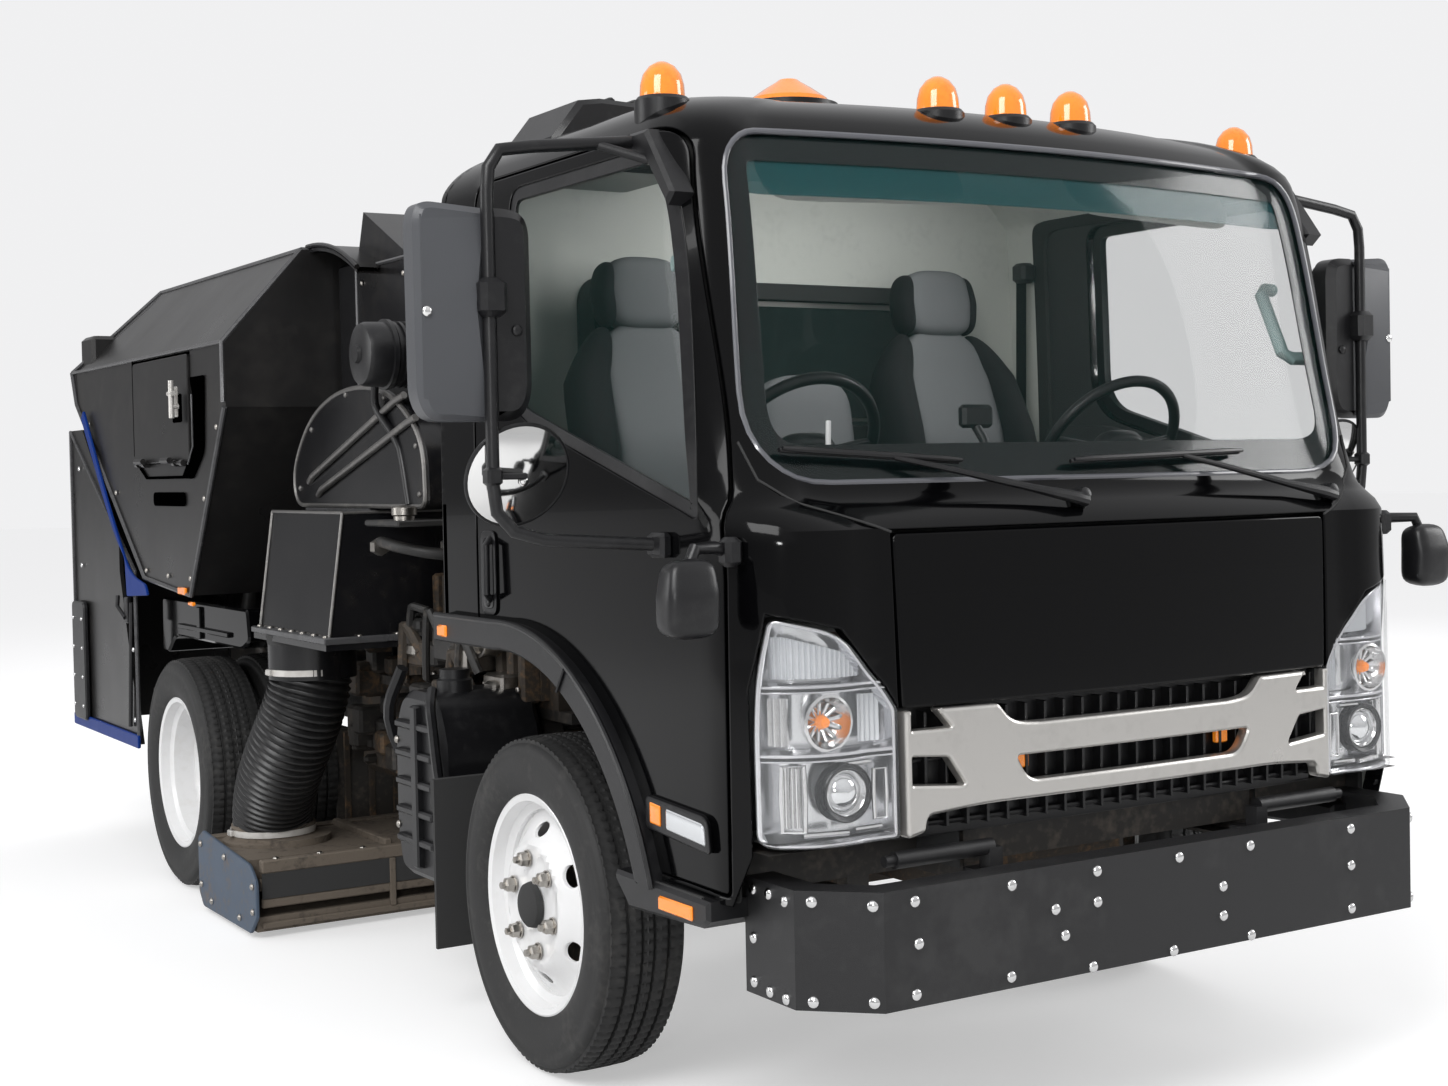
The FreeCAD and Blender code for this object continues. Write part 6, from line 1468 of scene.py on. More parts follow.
@dataclass
class Wheels:
    """Tyres with ribs, grooves and sipes, white discs, nuts and hub caps."""

    radius: float = 0.405
    width: float = 0.226
    front_half: float = 0.855
    rear_half: float = 0.925
    twin: float = 0.254
    wheelbase: float = 2.769
    sipes: int = 96
    groove: float = 0.01
    rim: float = 0.255
    nuts: int = 6
    nut_circle: float = 0.111
    nut_turn: float = 0.3
    hand_circle: float = 0.179
    hand_arc: float = 0.165
    hand_half: Flat = (0.017, 0.026)
    disc_flat: float = 0.142
    disc_edge: float = 0.026
    ridge: float = 0.006
    ridge_width: float = 0.012
    shoulder: float = 0.02
    crown_drop: float = 0.006
    sipe_depth: float = 0.005
    lip: float = 0.0012
    sipe_run: float = 0.009

    def build(self) -> None:
        """Makes all wheels."""
        for side, name, body in ((-1.0, "right", Body.FRONT_R), (1.0, "left", Body.FRONT_L)):
            place = (side * self.front_half, 0.0, self.radius)
            self.tyre(place, 0.0).put(f"front tyre {name}", body, TYRE, [f"front_tyre_{name}"], "tyre", 40)
            rim = self.barrel(place)
            rim.join(self.disc(place, side, 0.092, 0.04))
            rim.put(f"front wheel disc {name}", body, WHITE_STEEL, [f"front_rim_{name}"], "wheel_white", 34)
            self.hub(place, side, 0.096).put(f"front hub {name}", body, (NUT_STEEL, RUBBER, TRIM))
        for side, name, body in ((-1.0, "right", Body.REAR_R), (1.0, "left", Body.REAR_L)):
            outer = (side * self.rear_half, self.wheelbase, self.radius)
            inner = (side * (self.rear_half - self.twin), self.wheelbase, self.radius)
            pair = self.tyre(outer, 0.0).join(self.tyre(inner, 0.5))
            pair.put(f"rear tyres {name}", body, TYRE, [f"rear_tyres_{name}"], "tyre", 40)
            rim = self.barrel(outer).join(self.barrel(inner))
            rim.join(self.disc(outer, side, -0.115, -0.02)).join(self.disc(inner, side, 0.125, 0.03))
            rim.put(f"rear wheel discs {name}", body, WHITE_STEEL, [f"rear_rims_{name}"], "wheel_white", 34)
            hub = self.hub(outer, side, -0.11, 0.066)
            hub.put(f"rear hub {name}", body, (NUT_STEEL, RUBBER, WHITE_STEEL))

    def tyre(self, centre: Point, phase: float) -> Solid:
        """A tyre turned from its section.

        Across the tread the radius falls by the groove depth in four grooves, and on the ribs' edges it falls
        a little at each sipe: r = R - groove * in_groove(x) - sipe * at_sipe(angle) * near_rib_edge(x).

        Args:
            centre: The wheel's middle.
            phase: Turn of the sipes, as a share of their quarter spacing.

        Returns:
            The tyre.
        """
        half, top = self.width / 2, self.radius
        tread = half - self.shoulder
        ribs = [(-1.0, -0.6), (-0.52, -0.2), (-0.13, 0.13), (0.2, 0.52), (0.6, 1.0)]
        wall = [(-0.088, 0.262), (-0.096, 0.268), (-0.104, 0.283), (-0.1105, 0.305), (-0.113, 0.325),
                (-0.1115, 0.345), (-0.1085, 0.362), (-0.1095, 0.364), (-0.1065, 0.378), (-0.103, 0.384)]
        rows = [(x, r, 0) for x, r in wall]
        for low, high in ribs:
            crown = [top - self.crown_drop * abs(v) ** 3 for v in (low, high)]
            left, right = low * tread, high * tread
            rows += [(left, crown[0] - self.groove, 0), (left + self.lip, crown[0], 1),
                     (left + self.sipe_run, crown[0], 1),
                     ((low + high) / 2 * tread, (crown[0] + crown[1]) / 2, 2),
                     (right - self.sipe_run, crown[1], 1), (right - self.lip, crown[1], 1),
                     (right, crown[1] - self.groove, 0)]
        rows += [(-x, r, 0) for x, r in reversed(wall)]
        rows += [(0.071, 0.262, 0), (-0.071, 0.262, 0)]
        x, radius, kind = np.array(rows).T
        steps = self.sipes * 4
        turn = (np.arange(steps) + phase) * math.tau / steps
        cut_at = (np.arange(steps) % 4 == 0) * 1.0
        r = radius[:, None] - self.sipe_depth * (kind[:, None] == 1) * cut_at[None, :]
        points = np.stack([np.broadcast_to(x[:, None], r.shape), r * np.cos(turn), r * np.sin(turn)], axis=-1)
        return Solid().grid(points + np.array(centre), close_u=True, close_v=True)

    def barrel(self, centre: Point) -> Solid:
        """The rim's barrel with its flanges and drop centre.

        Args:
            centre: The wheel's middle.

        Returns:
            The barrel.
        """
        r = self.rim
        profile = [(-0.096, r + 0.008), (-0.094, r + 0.012), (-0.089, r + 0.011), (-0.086, r + 0.002),
                   (-0.06, r - 0.004), (-0.05, r - 0.022), (0.05, r - 0.022), (0.06, r - 0.004),
                   (0.086, r + 0.002), (0.089, r + 0.011), (0.094, r + 0.012), (0.096, r + 0.008),
                   (0.092, r - 0.006), (0.062, r - 0.012), (0.052, r - 0.03), (-0.052, r - 0.03),
                   (-0.062, r - 0.012), (-0.092, r - 0.006), (-0.096, r + 0.008)]
        return Solid().lathe(profile, centre, steps=96)

    def disc(self, centre: Point, side: float, out: float, root: float) -> Solid:
        """The pressed disc: flat where the nuts sit, then dished to the barrel, with oval hand holes.

        Args:
            centre: The wheel's middle.
            side: -1 on the truck's right, 1 on its left.
            out: The nut face's place, outwards from the tyre's middle.
            root: The same of the disc's edge.

        Returns:
            The disc.
        """
        def lift(y: np.ndarray, z: np.ndarray, inset: float) -> np.ndarray:
            """x falls from the nut face to the root by a smooth step of the radius.

            Args:
                y: Along the truck from the wheel's middle.
                z: Up from it.
                inset: Depth below the surface.

            Returns:
                The places.
            """
            y, z = np.broadcast_arrays(np.asarray(y, float), np.asarray(z, float))
            r = np.hypot(y, z)
            u = np.clip((r - self.disc_flat) / (self.rim - 0.03 - self.disc_flat), 0, 1)
            ridge = self.ridge * np.exp(-((r - self.disc_flat) / self.ridge_width) ** 2)
            along = out + (root - out) * (u * u * (3 - 2 * u)) + ridge * np.sign(out)
            return np.stack([centre[0] + side * (along - inset), centre[1] + y, centre[2] + z], axis=-1)

        turn, small = turns(120), turns(28)
        edge = (self.rim - self.disc_edge) * np.stack([np.cos(turn), np.sin(turn)], 1)
        r = self.hand_circle + self.hand_half[0] * np.cos(small)
        holes = []
        for i in range(self.nuts):
            a = math.tau * (i + 0.5) / self.nuts + self.hand_half[1] * np.sin(small) / self.hand_arc
            holes.append(np.stack([r * np.cos(a), r * np.sin(a)], 1))
        made = Solid().skin(edge, holes, lift, 0.01, 0.014, 0.002)
        if side < 0:
            made.faces = [f[::-1] for f in made.faces]
        return made

    def hub(self, centre: Point, side: float, out: float, cap: float = 0.052) -> Solid:
        """Wheel nuts with washers, and the dark hub cap.

        Args:
            centre: The wheel's middle.
            side: -1 on the truck's right, 1 on its left.
            out: The nut face's place, outwards from the tyre's middle.
            cap: Radius of the hub cap.

        Returns:
            The nuts and the cap.
        """
        solid = Solid()
        face = centre[0] + side * out
        for angle in turns(self.nuts) + self.nut_turn:
            place = (face, centre[1] + self.nut_circle * math.cos(angle),
                     centre[2] + self.nut_circle * math.sin(angle))
            solid.lathe([(0.0, 0.0), (0.0, 0.021), (side * 0.004, 0.021), (side * 0.004, 0.018)],
                        place, steps=20)
            solid.lathe([(side * 0.004, 0.0185), (side * 0.022, 0.0175), (side * 0.026, 0.013),
                         (side * 0.026, 0.009), (side * 0.036, 0.009), (side * 0.038, 0.006),
                         (side * 0.038, 0.0)], place, steps=6)
        height = 0.022 if out > 0 else 0.075
        profile = [(0.0, cap + 0.004), (side * 0.006, cap + 0.003), (side * height * 0.7, cap),
                   (side * height, cap * 0.82), (side * (height + 0.004), cap * 0.4),
                   (side * (height + 0.004), 0.0)]
        solid.lathe(profile, (face, centre[1], centre[2]), steps=40, mark=1 if out > 0 else 2)
        return solid


@dataclass
class Front:
    """Grille, headlamps and bumper."""

    bolt_radius: float = 0.0125
    grille_out: float = 0.01
    grille_depth: float = 0.03
    flute: float = 0.012
    flute_depth: float = 0.003
    bolt_height: float = 0.008

    def build(self) -> None:
        """Makes the pieces of the front."""
        self.grille()
        for side, name in SIDES:
            self.lamp(side, name)
        self.bumper()

    def grille(self) -> None:
        """One silver form with a dished top, a wide slot and two end slots, over a dark ribbed back."""
        half = [(-0.3, 0.897, 0.03), (-0.352, 0.905, 0.03), (-0.385, 0.943, 0.008), (-0.542, 0.944, 0.006),
                (-0.505, 0.903, 0.006), (-0.604, 0.903, 0.004), (-0.604, 0.944, 0.003), (-0.62, 0.944, 0.003),
                (-0.62, 0.682, 0.01), (-0.576, 0.692, 0.01), (-0.57, 0.725, 0.015), (-0.425, 0.736, 0.05)]
        outer = half + flipped(half)[::-1]
        slot = [(-0.341, 0.829, 0.012), (0.341, 0.829, 0.012), (0.309, 0.775, 0.03), (-0.309, 0.775, 0.03)]
        end = [(-0.604, 0.849, 0.004), (-0.516, 0.842, 0.008), (-0.473, 0.78, 0.012), (-0.604, 0.791, 0.004)]
        holes = [slot, end, flipped(end)]
        silver = Solid().skin(CAB.from_front(rounded(outer, 0.02)),
                              [CAB.from_front(rounded(h, 0.02)) for h in holes], CAB.under(-self.grille_out),
                              self.grille_depth, 0.05, 0.008)
        silver.put("grille bars", Body.CAB, SILVER, ["grille"], "satin_metal", outward=False)
        dark = Solid()
        back = rounded(rect(-0.616, 0.616, 0.672, 0.944, 0), 0.05)
        dark.skin(CAB.from_front(back), [], CAB.under(0.055), 0.01, 0.08, 0.002)
        for x in np.linspace(-0.598, 0.598, 24):
            low, high = CAB.at_front(x, 0.69, 0.03), CAB.at_front(x, 0.935, 0.03)
            dark.box((x - 0.0035, low[1], 0.69), (x + 0.0035, high[1] + 0.03, 0.935), 0.0015)
        for z in (0.7, 0.765, 0.835, 0.89):
            ring = [CAB.at_front(x, z, 0.045) for x in np.linspace(-0.6, 0.6, 25)]
            dark.tube(ring, 0.006, 8)
        for side in (-1, 1):
            spot = CAB.at_front(side * 0.295, 0.812, 0.036)
            dark.box(spot - np.array([0.018, 0.004, 0.017]), spot + np.array([0.018, 0.012, 0.017]), 0.003, 1)
        dark.put("grille ribs", Body.CAB, (TRIM, AMBER))

    def lamp(self, side: float, name: str) -> None:
        """A three-stack headlamp: fluted top, indicator with an amber star, ringed projector, clear cover.

        Args:
            side: -1 on the truck's right, 1 on its left.
            name: right or left, for the pieces' names.
        """
        def form(points: Sequence[Sequence[float]]) -> np.ndarray:
            """An outline on this side, as (s, t)."""
            return CAB.from_front(rounded([(side * x, z, r) for x, z, r in points], 0.02))

        def fluted(x0: float, x1: float, z0: float, z1: Callable[[float], float], inset: float,
                   mark: int) -> None:
            """A ribbed pane: its inset goes in and out by 3 mm in x, with a rib each 12 mm.

            Args:
                x0: Inner edge.
                x1: Outer edge.
                z0: Lower edge.
                z1: Gives the upper edge at x.
                inset: Depth below the surface.
                mark: Material place of the faces.
            """
            columns = np.arange(x0, x1, self.flute / 4)
            rows = [[CAB.at_front(side * x, z0 + (z1(x) - z0) * v,
                                  inset + self.flute_depth * math.cos(x * math.tau / self.flute))
                     for x in columns] for v in np.linspace(0.0, 1.0, 5)]
            parts.grid(np.array(rows), mark=mark)

        outer = [(0.634, 0.686, 0.012), (0.925, 0.686, 0.03), (0.926, 1.003, 0.2), (0.902, 1.145, 0.02),
                 (0.77, 1.112, 0.05), (0.66, 0.99, 0.02), (0.634, 0.95, 0.01)]
        back = Solid()
        back.skin(form(outer), [], CAB.under(0.075), 0.006, 0.05, 0.002)
        ring = CAB.from_front(offset(rounded([(side * x, z, r) for x, z, r in outer], 0.02), -0.008))
        back.skin(form(outer), [ring], CAB.under(0.006), 0.072, 0.04, 0.003, 1, 1)
        for low, high, mark in ((0.86, 0.866, 2), (0.866, 0.873, 1), (0.856, 0.86, 1), (0.998, 1.004, 2),
                                (1.004, 1.01, 1), (0.994, 0.998, 1)):
            back.skin(form([(0.637, low, 0), (0.92, low, 0), (0.92, high, 0),
                            (0.637 if high < 0.98 else 0.664, high, 0)]), [], CAB.under(0.004 + 0.004 * mark),
                      0.06, 0.04, 0.001, mark, mark)
        back.put(f"headlamp housing {name}", Body.CAB, (REFLECTOR, LAMP_TRIM, TRIM), ["headlamps"],
                 "lamp_clear", outward=False)
        parts = Solid()
        fluted(0.665, 0.9, 1.02, lambda x: min(0.955 + 1.1 * (x - 0.634), 1.105, 1.06 + 0.26 * (x - 0.7)),
               0.04, 4)
        fluted(0.65, 0.705, 0.885, lambda x: 0.982, 0.04, 4)
        fluted(0.868, 0.905, 0.885, lambda x: 0.982, 0.035, 0)
        bowl = CAB.at_front(side * 0.795, 0.933, 0.01)
        parts.lathe([(0.002, 0.058), (0.0, 0.052), (0.012, 0.05), (0.03, 0.04), (0.044, 0.022), (0.05, 0.0)],
                    bowl, "y", 40)
        for turn in np.arange(12) * math.tau / 12 + 0.2:
            way = np.array([math.cos(turn), 0.0, math.sin(turn)])
            parts.tube([bowl + way * 0.012 + (0, 0.034, 0), bowl + way * 0.04 + (0, 0.024, 0)], 0.0045, 8)
        parts.lathe([(0.01, 0.0), (0.013, 0.01), (0.024, 0.015), (0.04, 0.015), (0.045, 0.0)],
                    bowl, "y", 20, 1)
        eye = CAB.at_front(side * 0.758, 0.79, 0.008)
        parts.lathe([(0.0, 0.06), (-0.004, 0.057), (0.0, 0.05), (0.03, 0.046), (0.03, 0.06)], eye, "y", 44, 2)
        parts.lathe([(0.004, 0.049), (0.002, 0.046), (0.01, 0.04), (0.02, 0.039)], eye, "y", 44)
        parts.lathe([(0.022, 0.04), (0.01, 0.034), (0.002, 0.022), (-0.002, 0.01), (-0.003, 0.0)],
                    eye, "y", 36, 3)
        for x, low, high, width in ((0.866, 0.715, 0.848, 0.02), (0.668, 0.73, 0.83, 0.014)):
            ring = [CAB.at_front(side * (x + u * width), z, 0.018)
                    for u, z in ((-1, low), (1, low), (1.1, (low + high) / 2), (1, high), (-1, high),
                                 (-1.1, (low + high) / 2))]
            parts.join(loop(np.array(ring), 0.005, 8))
        fluted(0.848, 0.884, 0.722, lambda x: 0.842, 0.03, 0)
        for x, z, length in ((0.8, 0.708, 0.05), (0.7, 0.712, 0.035), (0.81, 0.866, 0.05),
                             (0.72, 0.846, 0.03)):
            low, high = CAB.at_front(side * (x - length), z, 0.02), CAB.at_front(side * (x + length), z, 0.02)
            parts.tube([low, high], 0.006, 8)
        parts.put(f"headlamp inside {name}", Body.CAB, (CHROME, AMBER, TRIM, MIRROR_GLASS, CLEAR),
                  outward=False)
        cover = Solid()
        cover.skin(form(outer), [], CAB.under(-0.003), 0.003, 0.03, 0.003)
        cover.put(f"headlamp cover {name}", Body.CAB, LENS, outward=False)

    def bumper(self) -> None:
        """Domed bolts along the bumper's plates and the seams between them; the CAD bumper stays."""
        bolts = Solid()
        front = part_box("bumper")[0][1] - AXLE
        rows = [(-0.69, 0.585), (-0.682, 0.5), (-0.69, 0.4), (-0.445, 0.585), (-0.45, 0.398), (-0.33, 0.52),
                (-0.305, 0.462), (-0.215, 0.585), (-0.215, 0.52), (-0.23, 0.385), (0.02, 0.585), (0.0, 0.385),
                (0.15, 0.505), (0.15, 0.44), (0.235, 0.585), (0.235, 0.385), (0.56, 0.585), (0.56, 0.5),
                (0.56, 0.4)]
        for x, z in rows:
            bolts.bolt((x, front, z), (0, -1, 0), self.bolt_radius, self.bolt_height)
        for side in (-1.0, 1.0):
            for share, z in ((0.12, 0.585), (0.12, 0.395), (0.8, 0.59), (0.8, 0.392)):
                x = side * (0.765 + 0.127 * share)
                bolts.bolt((x, front + 0.127 * share, z), (side, -1, 0), self.bolt_radius, self.bolt_height)
            for y, z in ((0.16, 0.585), (0.22, 0.59), (0.28, 0.59), (0.28, 0.49), (0.28, 0.4), (0.22, 0.392),
                         (0.16, 0.39)):
                bolts.bolt((side * 0.892, front + y, z), (side, 0, 0), self.bolt_radius, self.bolt_height)
        bolts.put("bumper bolts", Body.CHASSIS, CHROME)


def pillow(spine: Sequence[Point], widths: Sequence[float], thick: Sequence[float], across: Point = (1, 0, 0),
           square: float = 0.55, blunt: float = 5.0, mark: int = 0, solid: Optional[Solid] = None) -> Solid:
    """A stuffed form along a spine: each ring is a superellipse, drawn in towards both ends.

    At a share u of the spine the ring is width * w * |cos a|^square across and thick * w * |sin a|^square
    along the normal, where w = (1 - |2u - 1|^blunt)^(1/2).

    Args:
        spine: Points along its middle.
        widths: Half widths along it.
        thick: Half depths along it.
        across: The direction of its width.
        square: Exponent of the section: 1 is an ellipse, 0 a box.
        blunt: Exponent of the ends: higher is blunter.
        mark: Material place of the faces.
        solid: Takes the form; a new solid if left out.

    Returns:
        The solid that holds it.
    """
    rows, steps = 22, 32
    share = 0.5 - 0.5 * np.cos(np.linspace(0.02, 0.98, rows) * math.pi)
    knots = np.linspace(0, 1, len(spine))
    middle = np.stack([np.interp(share, knots, [p[k] for p in spine]) for k in range(3)], axis=1)
    way = np.gradient(middle, axis=0)
    way /= np.linalg.norm(way, axis=1)[:, None]
    across = np.array(across, float)
    normal = np.cross(way, across)
    normal /= np.linalg.norm(normal, axis=1)[:, None]
    shrink = np.sqrt(1 - np.abs(2 * share - 1) ** blunt)
    turn = turns(steps)
    flat = np.sign(np.cos(turn)) * np.abs(np.cos(turn)) ** square
    deep = np.sign(np.sin(turn)) * np.abs(np.sin(turn)) ** square
    half = (np.interp(share, np.linspace(0, 1, len(widths)), widths) * shrink)[:, None, None]
    depth = (np.interp(share, np.linspace(0, 1, len(thick)), thick) * shrink)[:, None, None]
    side = half * flat[None, :, None] * across
    rings = middle[:, None] + side + depth * deep[None, :, None] * normal[:, None]
    solid = solid or Solid()
    start = solid.count
    solid.grid(rings, close_v=True, mark=mark)
    end = start + rows * steps
    return solid.close(range(start, start + steps), range(end - 1, end - steps - 1, -1), mark)


@dataclass
class Cabin:
    """Seats, dash hood, steering wheels, visors, grab handles and belts."""

    seat_half: float = 0.48
    seat_back: float = 0.2
    rim: float = 0.205

    def build(self) -> None:
        """Makes the pieces of the cabin."""
        for side, name in SIDES:
            self.seat(side * self.seat_half, name)
            self.wheel(side * self.seat_half, name, Body.WHEEL_R if side < 0 else Body.WHEEL_L)
            self.fittings(side, name)
        y = self.seat_back
        middle = pillow([(0, y - 0.02, 1.3), (0, y + 0.02, 1.5), (0, y + 0.05, 1.7)], [0.15], [0.06], blunt=6)
        pillow([(0, y - 0.5, 1.25), (0, y, 1.25)], [0.15], [0.06], solid=middle)
        middle.put("middle seat", Body.CAB, CLOTH)
        hood = Solid()
        for start, end, height, reach in ((-0.84, 0.84, 1.375, 0.17), (0.1, 0.78, 1.435, 0.13),
                                          (-0.78, -0.2, 1.41, 0.12)):
            pillow([(start, -0.76, height), (end, -0.76, height)], [reach], [0.055],
                   (0, 1, 0), solid=hood, blunt=8)
        hood.put("dash hood", Body.CAB, DARK_TRIM)
        mount = Solid().tube([(-0.1, -0.7, 1.4), (-0.1, -0.7, 1.5), (-0.11, -0.66, 1.56)], 0.012)
        mount.box((-0.15, -0.69, 1.53), (-0.06, -0.66, 1.585), 0.008)
        mount.put("device mount", Body.CAB, TRIM)
        rod = Solid().tube([CAB.at_front(-0.649, 1.417, 0.09), CAB.at_front(-0.621, 1.543, 0.09)], 0.006)
        rod.put("white rod", Body.CAB, WHITE_STEEL)

    def seat(self, x: float, name: str) -> None:
        """One seat: cushion, backrest with dark side bolsters, and a headrest on two rods.

        Args:
            x: The seat's middle.
            name: right or left, for the pieces' names.
        """
        y = self.seat_back
        back = pillow([(x, y - 0.02, 1.24), (x, y - 0.05, 1.5), (x, y + 0.03, 1.7), (x, y + 0.06, 1.84)],
                      [0.17, 0.15, 0.17, 0.1], [0.055, 0.05, 0.05, 0.045], blunt=7)
        for way in (-1, 1):
            pillow([(x + way * 0.2, y - 0.02, 1.24), (x + way * 0.2, y - 0.05, 1.5),
                    (x + way * 0.185, y + 0.02, 1.68), (x + way * 0.12, y + 0.06, 1.82)],
                   [0.05, 0.05, 0.055, 0.04], [0.075, 0.085, 0.07, 0.05], mark=1, solid=back, square=0.8)
        back.put(f"seat back {name}", Body.CAB, (CLOTH, CLOTH_DARK), ["seats"])
        head = pillow([(x, y + 0.045, 1.81), (x, y + 0.055, 1.91), (x, y + 0.07, 2.005)], [0.1, 0.115, 0.1],
                      [0.052], blunt=7)
        for way in (-1, 1):
            pillow([(x + way * 0.105, y + 0.05, 1.82), (x + way * 0.11, y + 0.06, 1.91),
                    (x + way * 0.1, y + 0.07, 1.99)], [0.022, 0.03, 0.022], [0.045],
                   mark=1, solid=head, square=0.8)
            head.tube([(x + way * 0.05, y + 0.05, 1.76), (x + way * 0.05, y + 0.05, 1.86)], 0.006, mark=1)
        head.put(f"headrest {name}", Body.CAB, (CLOTH, CLOTH_DARK))
        base = pillow([(x, y - 0.53, 1.255), (x, y - 0.3, 1.265), (x, y - 0.02, 1.24)], [0.18],
                      [0.065], blunt=7)
        for way in (-1, 1):
            pillow([(x + way * 0.205, y - 0.52, 1.26), (x + way * 0.205, y - 0.02, 1.25)], [0.045], [0.08],
                   mark=1, solid=base, square=0.8)
        base.put(f"seat cushion {name}", Body.CAB, (CLOTH, CLOTH_DARK))
        foot = Solid().box((x - 0.16, y - 0.44, 1.071), (x + 0.16, y - 0.06, 1.2), 0.01)
        foot.put(f"seat stand {name}", Body.CAB, DARK_TRIM)

    def wheel(self, x: float, name: str, body: Body) -> None:
        """A steering wheel: rim, three spokes and a padded hub, leaning with its column.

        Args:
            x: The column's place across the truck.
            name: right or left, for the pieces' names.
            body: The body it rides on.
        """
        lean = math.radians(35)
        centre = np.array([x, -0.48, 1.48])
        up = np.array([0.0, -math.sin(lean), math.cos(lean)])
        axis = np.array([0.0, -math.cos(lean), -math.sin(lean)])
        across = np.array([1.0, 0.0, 0.0])
        turn = turns(64)
        path = centre + self.rim * (np.cos(turn)[:, None] * across + np.sin(turn)[:, None] * up)
        wheel = loop(path, 0.0145, 12)
        for angle in (0.12, math.pi - 0.12, 1.5 * math.pi):
            way = math.cos(angle) * across + math.sin(angle) * up
            pillow([centre + axis * 0.03, centre + way * 0.1 + axis * 0.02, centre + way * self.rim],
                   [0.026, 0.017], [0.009], np.cross(way, axis), solid=wheel, blunt=10)
        pillow([centre - up * 0.07 + axis * 0.03, centre + up * 0.07 + axis * 0.03], [0.075],
               [0.03], solid=wheel)
        wheel.tube([centre + axis * 0.02, centre + axis * 0.1], 0.026)
        wheel.put(f"steering wheel {name}", body, TRIM, [f"steering_wheel_{name}"])

    @staticmethod
    def fittings(side: float, name: str) -> None:
        """Sun visor, pillar grab handle and seat belt of one side.

        Args:
            side: -1 on the truck's right, 1 on its left.
            name: right or left, for the pieces' names.
        """
        visor = pillow([(side * 0.16, -0.7, 2.105), (side * 0.7, -0.68, 2.09)], [0.075], [0.012],
                       (0, 0.5, 0.86), blunt=12)
        visor.tube([(side * 0.14, -0.69, 2.15), (side * 0.72, -0.67, 2.14)], 0.008)
        visor.put(f"sun visor {name}", Body.CAB, LINER)
        grab = Solid().tube([(side * 0.9, -0.655, 1.885), (side * 0.865, -0.665, 1.885),
                             (side * 0.835, -0.68, 1.87), (side * 0.83, -0.755, 1.715),
                             (side * 0.85, -0.77, 1.7), (side * 0.9, -0.775, 1.7)], 0.017)
        grab.put(f"grab handle {name}", Body.CAB, GRAB)
        rows = [[(side * (0.868 - 0.02 * share), 0.33 + along, 2.0 - 0.9 * share)
                 for along in (-0.023, 0.023)] for share in np.linspace(0, 1, 12)]
        belt = Solid().grid(np.array(rows)).grid(np.array(rows)[::-1] - np.array([side * 0.0015, 0, 0]))
        strap = belt.put(f"seat belt {name}", Body.CAB, CLOTH_DARK, outward=False)
        anchor = Solid().box((side * 0.85, 0.3, 1.99), (side * 0.905, 0.36, 2.05), 0.01)
        anchor.box((side * 0.82, 0.28, 1.0), (side * 0.905, 0.38, 1.13), 0.015)
        anchor.put(f"belt anchors {name}", Body.CAB, DARK_TRIM)


@dataclass
class RoofKit:
    """Dome marker lights, the low beacon and the ribbed box on the roof."""

    def build(self) -> None:
        """Makes the pieces of the roof."""
        domes = Solid()
        for x, y, z in ((-0.863, -0.562, 2.242), (0.863, -0.562, 2.232), (0.0, -0.675, 2.25),
                        (-0.2, -0.675, 2.25), (0.2, -0.675, 2.25)):
            place = (x, y, z)
            domes.lathe([(-0.05, 0.0), (-0.05, 0.062), (0.004, 0.062), (0.012, 0.055), (0.012, 0.0)],
                        place, "z", 28, 1)
            dome = [(0.01, 0.0), (0.01, 0.05), (0.04, 0.048), (0.062, 0.042), (0.08, 0.028), (0.089, 0.012),
                    (0.091, 0.0)]
            domes.lathe(dome, place, "z", 28)
        domes.put("dome lights", Body.CAB, (AMBER, TRIM), ["roof_lights"], "lamp_amber")
        beacon = Solid().lathe([(0, 0), (0, 0.125), (0.03, 0.125), (0.03, 0.0)],
                               (-0.25, -0.12, 2.33), "z", 40, 1)
        beacon.lathe([(0.028, 0), (0.028, 0.105), (0.045, 0.098), (0.07, 0.062), (0.088, 0.032),
                      (0.094, 0.024), (0.095, 0.0)], (-0.25, -0.12, 2.33), "z", 40)
        beacon.put("roof beacon", Body.CAB, (AMBER, TRIM))
        outline = [(-0.8, 2.22), (-0.44, 2.22), (-0.44, 2.35), (-0.48, 2.378), (-0.66, 2.384), (-0.72, 2.375),
                   (-0.795, 2.28)]
        box = Solid().plate(outline, lambda a, b, d: (a, 0.11 + d, b), 0.31, 0.014)
        for x in (-0.62, -0.55, -0.49):
            box.box((x - 0.01, 0.13, 2.3), (x + 0.01, 0.4, 2.392), 0.005)
        box.box((-0.83, 0.09, 2.2), (-0.42, 0.44, 2.262), 0.01)
        box.put("roof box", Body.CAB, TRIM, ["roof_box"])


